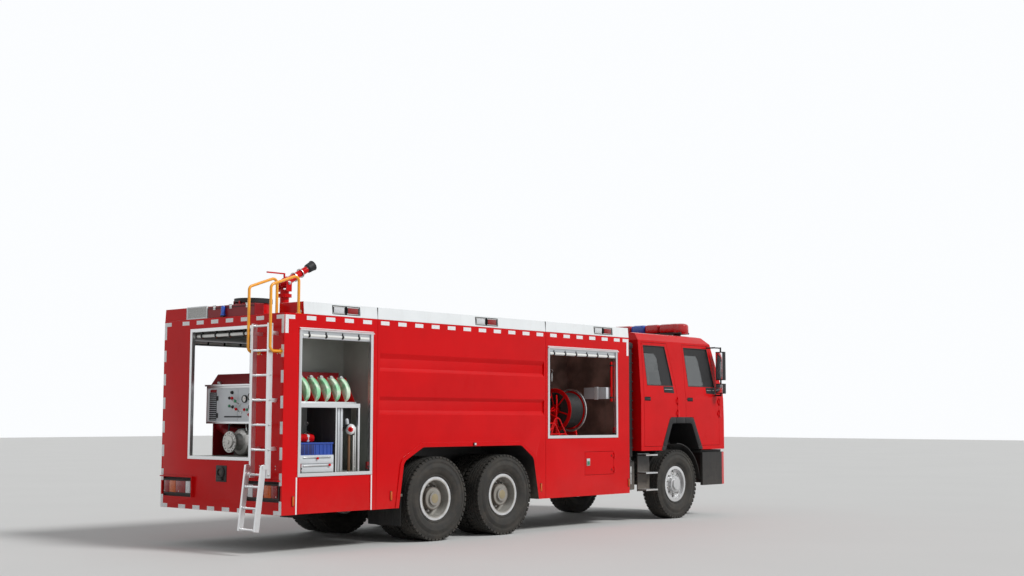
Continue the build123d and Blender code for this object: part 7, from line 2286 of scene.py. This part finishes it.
@dataclass
class WheelFittings(Bench):
    """Nuts and hub covers of all wheels."""

    stud_ring: float = 0.1675
    studs: int = 10

    def nuts(self, middle: Vector, way: Vector) -> None:
        """Set the wheel nuts round a hub.

        Args:
            middle: The ring's middle on the disc.
            way: The way that they face.
        """
        for seat in circle(middle, self.stud_ring, self.studs, 1, 0.5):
            for length, radius, sides, edge in ((0.006, 0.021, 20, 0.0), (0.026, 0.0165, 6, 0.002),
                                                (0.036, 0.009, 12, 0.002)):
                self.rod(seat, seat + way * length, radius, COATS.steel, sides, edge)

    def build(self) -> None:
        """Dress every wheel."""
        for side in Side:
            name, way = side.name.lower(), Vector((0, side.value, 0))
            hub = Vector((AXLES[2], 0, AXLE_Z))
            self.nuts(hub + way * 1.092, way)
            self.turned([(0, 0.0), (0, 0.088), (0.012, 0.086), (0.024, 0.070), (0.029, 0.0)],
                        hub + way * 1.150, way, COATS.steel, 40)
            self.done(f"front_wheel_nuts_{name}", f"wheel_front_{name}", "rim")
            for axle, x in (("back", AXLES[0]), ("middle", AXLES[1])):
                hub = Vector((x, 0, AXLE_Z))
                self.nuts(hub + way * 1.047, way)
                self.turned([(0, 0.0), (0, 0.078), (0.010, 0.076), (0.026, 0.060), (0.031, 0.0)],
                            hub + way * 1.172, way, COATS.yellow_cap, 40)
                self.bolts(circle(hub + way * 1.122, 0.122, 8, 1), way, 0.010, COATS.steel)
                self.done(f"{axle}_wheel_nuts_{name}", f"wheels_{axle}_{name}", "rim")


@dataclass
class LadderFittings(Bench):
    """Rung ends and bracket bolts of the ladder, and the bolts of the rails' flanges."""

    stiles: tuple[float, float] = (-1.130, -0.825)
    rails: tuple[float, float] = (-1.190, -0.765)

    def build(self) -> None:
        """Dress the ladder and the rails."""
        back = Way.BACK.value
        for stile, out in zip(self.stiles, (-1, 1)):
            for number in range(7):
                up = 0.950 + number * 0.300
                self.rod(at(-0.1225, stile + out * 0.024, up), at(-0.1225, stile + out * 0.032, up), 0.011,
                         COATS.steel, 16, 0.002)
            self.bolts([at(-0.004, stile, up) for up in (1.017, 1.053, 2.412, 2.448)], back, 0.006,
                       COATS.steel)
        self.done("ladder_rivets", BODY_OF["rear_ladder"], "aluminium")
        for across in self.rails:
            self.bolts(circle(at(-0.008, across, 2.440), 0.026, 4, 0, 0.5), back, 0.005, COATS.steel)
            self.bolts(circle(at(0.262, across, BODY_TOP + 0.008), 0.026, 4, 2, 0.5), (0, 0, 1), 0.005,
                       COATS.steel)
        self.done("rail_flange_bolts", BODY_OF["grab_rails"], "yellow_paint")


@dataclass
class Underside(Bench):
    """Tank straps and cap, frame bolts, mud flaps, the shield under the cab and the black air duct behind it,
    which is also painted shade.
    """

    flap_back: float = 1.985
    duct: tuple[float, float, float, float] = (7.060, 7.190, -1.130, -0.860)

    def tanks(self, middle: Vector, normal: Vector) -> Finish:
        """Fuel tank aluminium, air tanks and battery box black."""
        return COATS.aluminium if middle.x > REAR + 6.9 and middle.y > 0 else COATS.black

    def straps(self) -> None:
        """Make the straps and the cap of the side tanks."""
        for along in (7.06, 7.25):
            low, high = along - 0.018, along + 0.018
            self.blocks(COATS.steel, 0.001, (low, high, 0.430, 1.041, 0.4945, 0.4985),
                        (low, high, 0.430, 1.041, 0.9615, 0.9655),
                        (low, high, 1.0365, 1.0410, 0.590, 0.870), both=True)
        self.turned([(0, 0), (0, 0.045), (0.030, 0.043), (0.034, 0.052), (0.052, 0.050), (0.056, 0)],
                    at(7.155, 0.80, 0.960), (0, 0.3, 1), COATS.steel, 32)

    def frame_bolts(self) -> None:
        """Set bolts along the frame rails."""
        for side in Side:
            places = [at(0.25 + number * 0.22, side.value * 0.4255, up) for number in range(42)
                      for up in (0.800, 0.960)]
            self.bolts(places, (0, side.value, 0), 0.010, COATS.iron)

    def mud_flaps(self) -> None:
        """Hang the rubber flaps behind the rear wheels."""
        back = self.flap_back
        self.blocks(COATS.seal, 0.002, (back - 0.003, back + 0.003, 0.610, 1.235, 0.235, 0.640), both=True)
        self.blocks(COATS.black, 0.004, (back - 0.012, back + 0.030, 0.610, 1.235, 0.615, 0.650), both=True)
        for first in (-1.190, 0.655):
            for number in range(9):
                across = first + number * 0.066
                self.blocks(COATS.seal, 0.002, (back - 0.007, back, across - 0.006, across + 0.006, 0.27,
                                                0.58))

    def air_duct_and_painted_shade(self) -> None:
        """Stand the black, ribbed air duct between the body and the cab on its bracket; its black is also
        painted shade in that gap.
        """
        x0, x1, y0, y1 = self.duct
        # Painted shade: the duct's black fills the dark gap between the body and the cab.
        self.blocks(COATS.trim, 0.030, (x0, x1, y0, y1, 1.020, 2.760))
        for number in range(11):
            up = 1.16 + number * 0.15
            self.blocks(COATS.trim, 0.010, (x0 - 0.006, x1 + 0.006, y0 - 0.006, y1 + 0.006, up, up + 0.022))
        self.blocks(COATS.trim, 0.034, (x0 - 0.010, x1 + 0.012, y0 - 0.014, y1 + 0.014, 2.745, 2.850))
        self.blocks(COATS.black, 0.006, (x0 + 0.01, x1 - 0.01, -1.100, -0.430, 0.960, 1.030))

    def build(self) -> None:
        """Dress the underside and close the slit between the bumper and the cab."""
        skin("side_tanks", self.tanks, 0.004)
        self.straps()
        self.frame_bolts()
        self.mud_flaps()
        self.blocks(COATS.trim, 0.006, (9.02, 9.635, -1.190, 1.190, 1.066, 1.110))
        self.air_duct_and_painted_shade()
        self.done("frame_fittings", BODY_OF["chassis_frame"], "black_frame")


def main() -> None:
    """Build the studio and every sub-assembly in order."""
    logging.basicConfig(level=logging.INFO, format="%(name)s: %(message)s")
    for part in (Studio(), Shells(), Tyres(), Markings(), Lamps(), RoofGear(), SideLockers(), PumpBay(),
                 FrontLocker(), CabTrim(), Seats(), LightBar(), Monitor(), WheelFittings(), LadderFittings(),
                 Underside()):
        part.build()
        LOG.info("%s built", type(part).__name__)


if __name__ == "__main__":
    main()
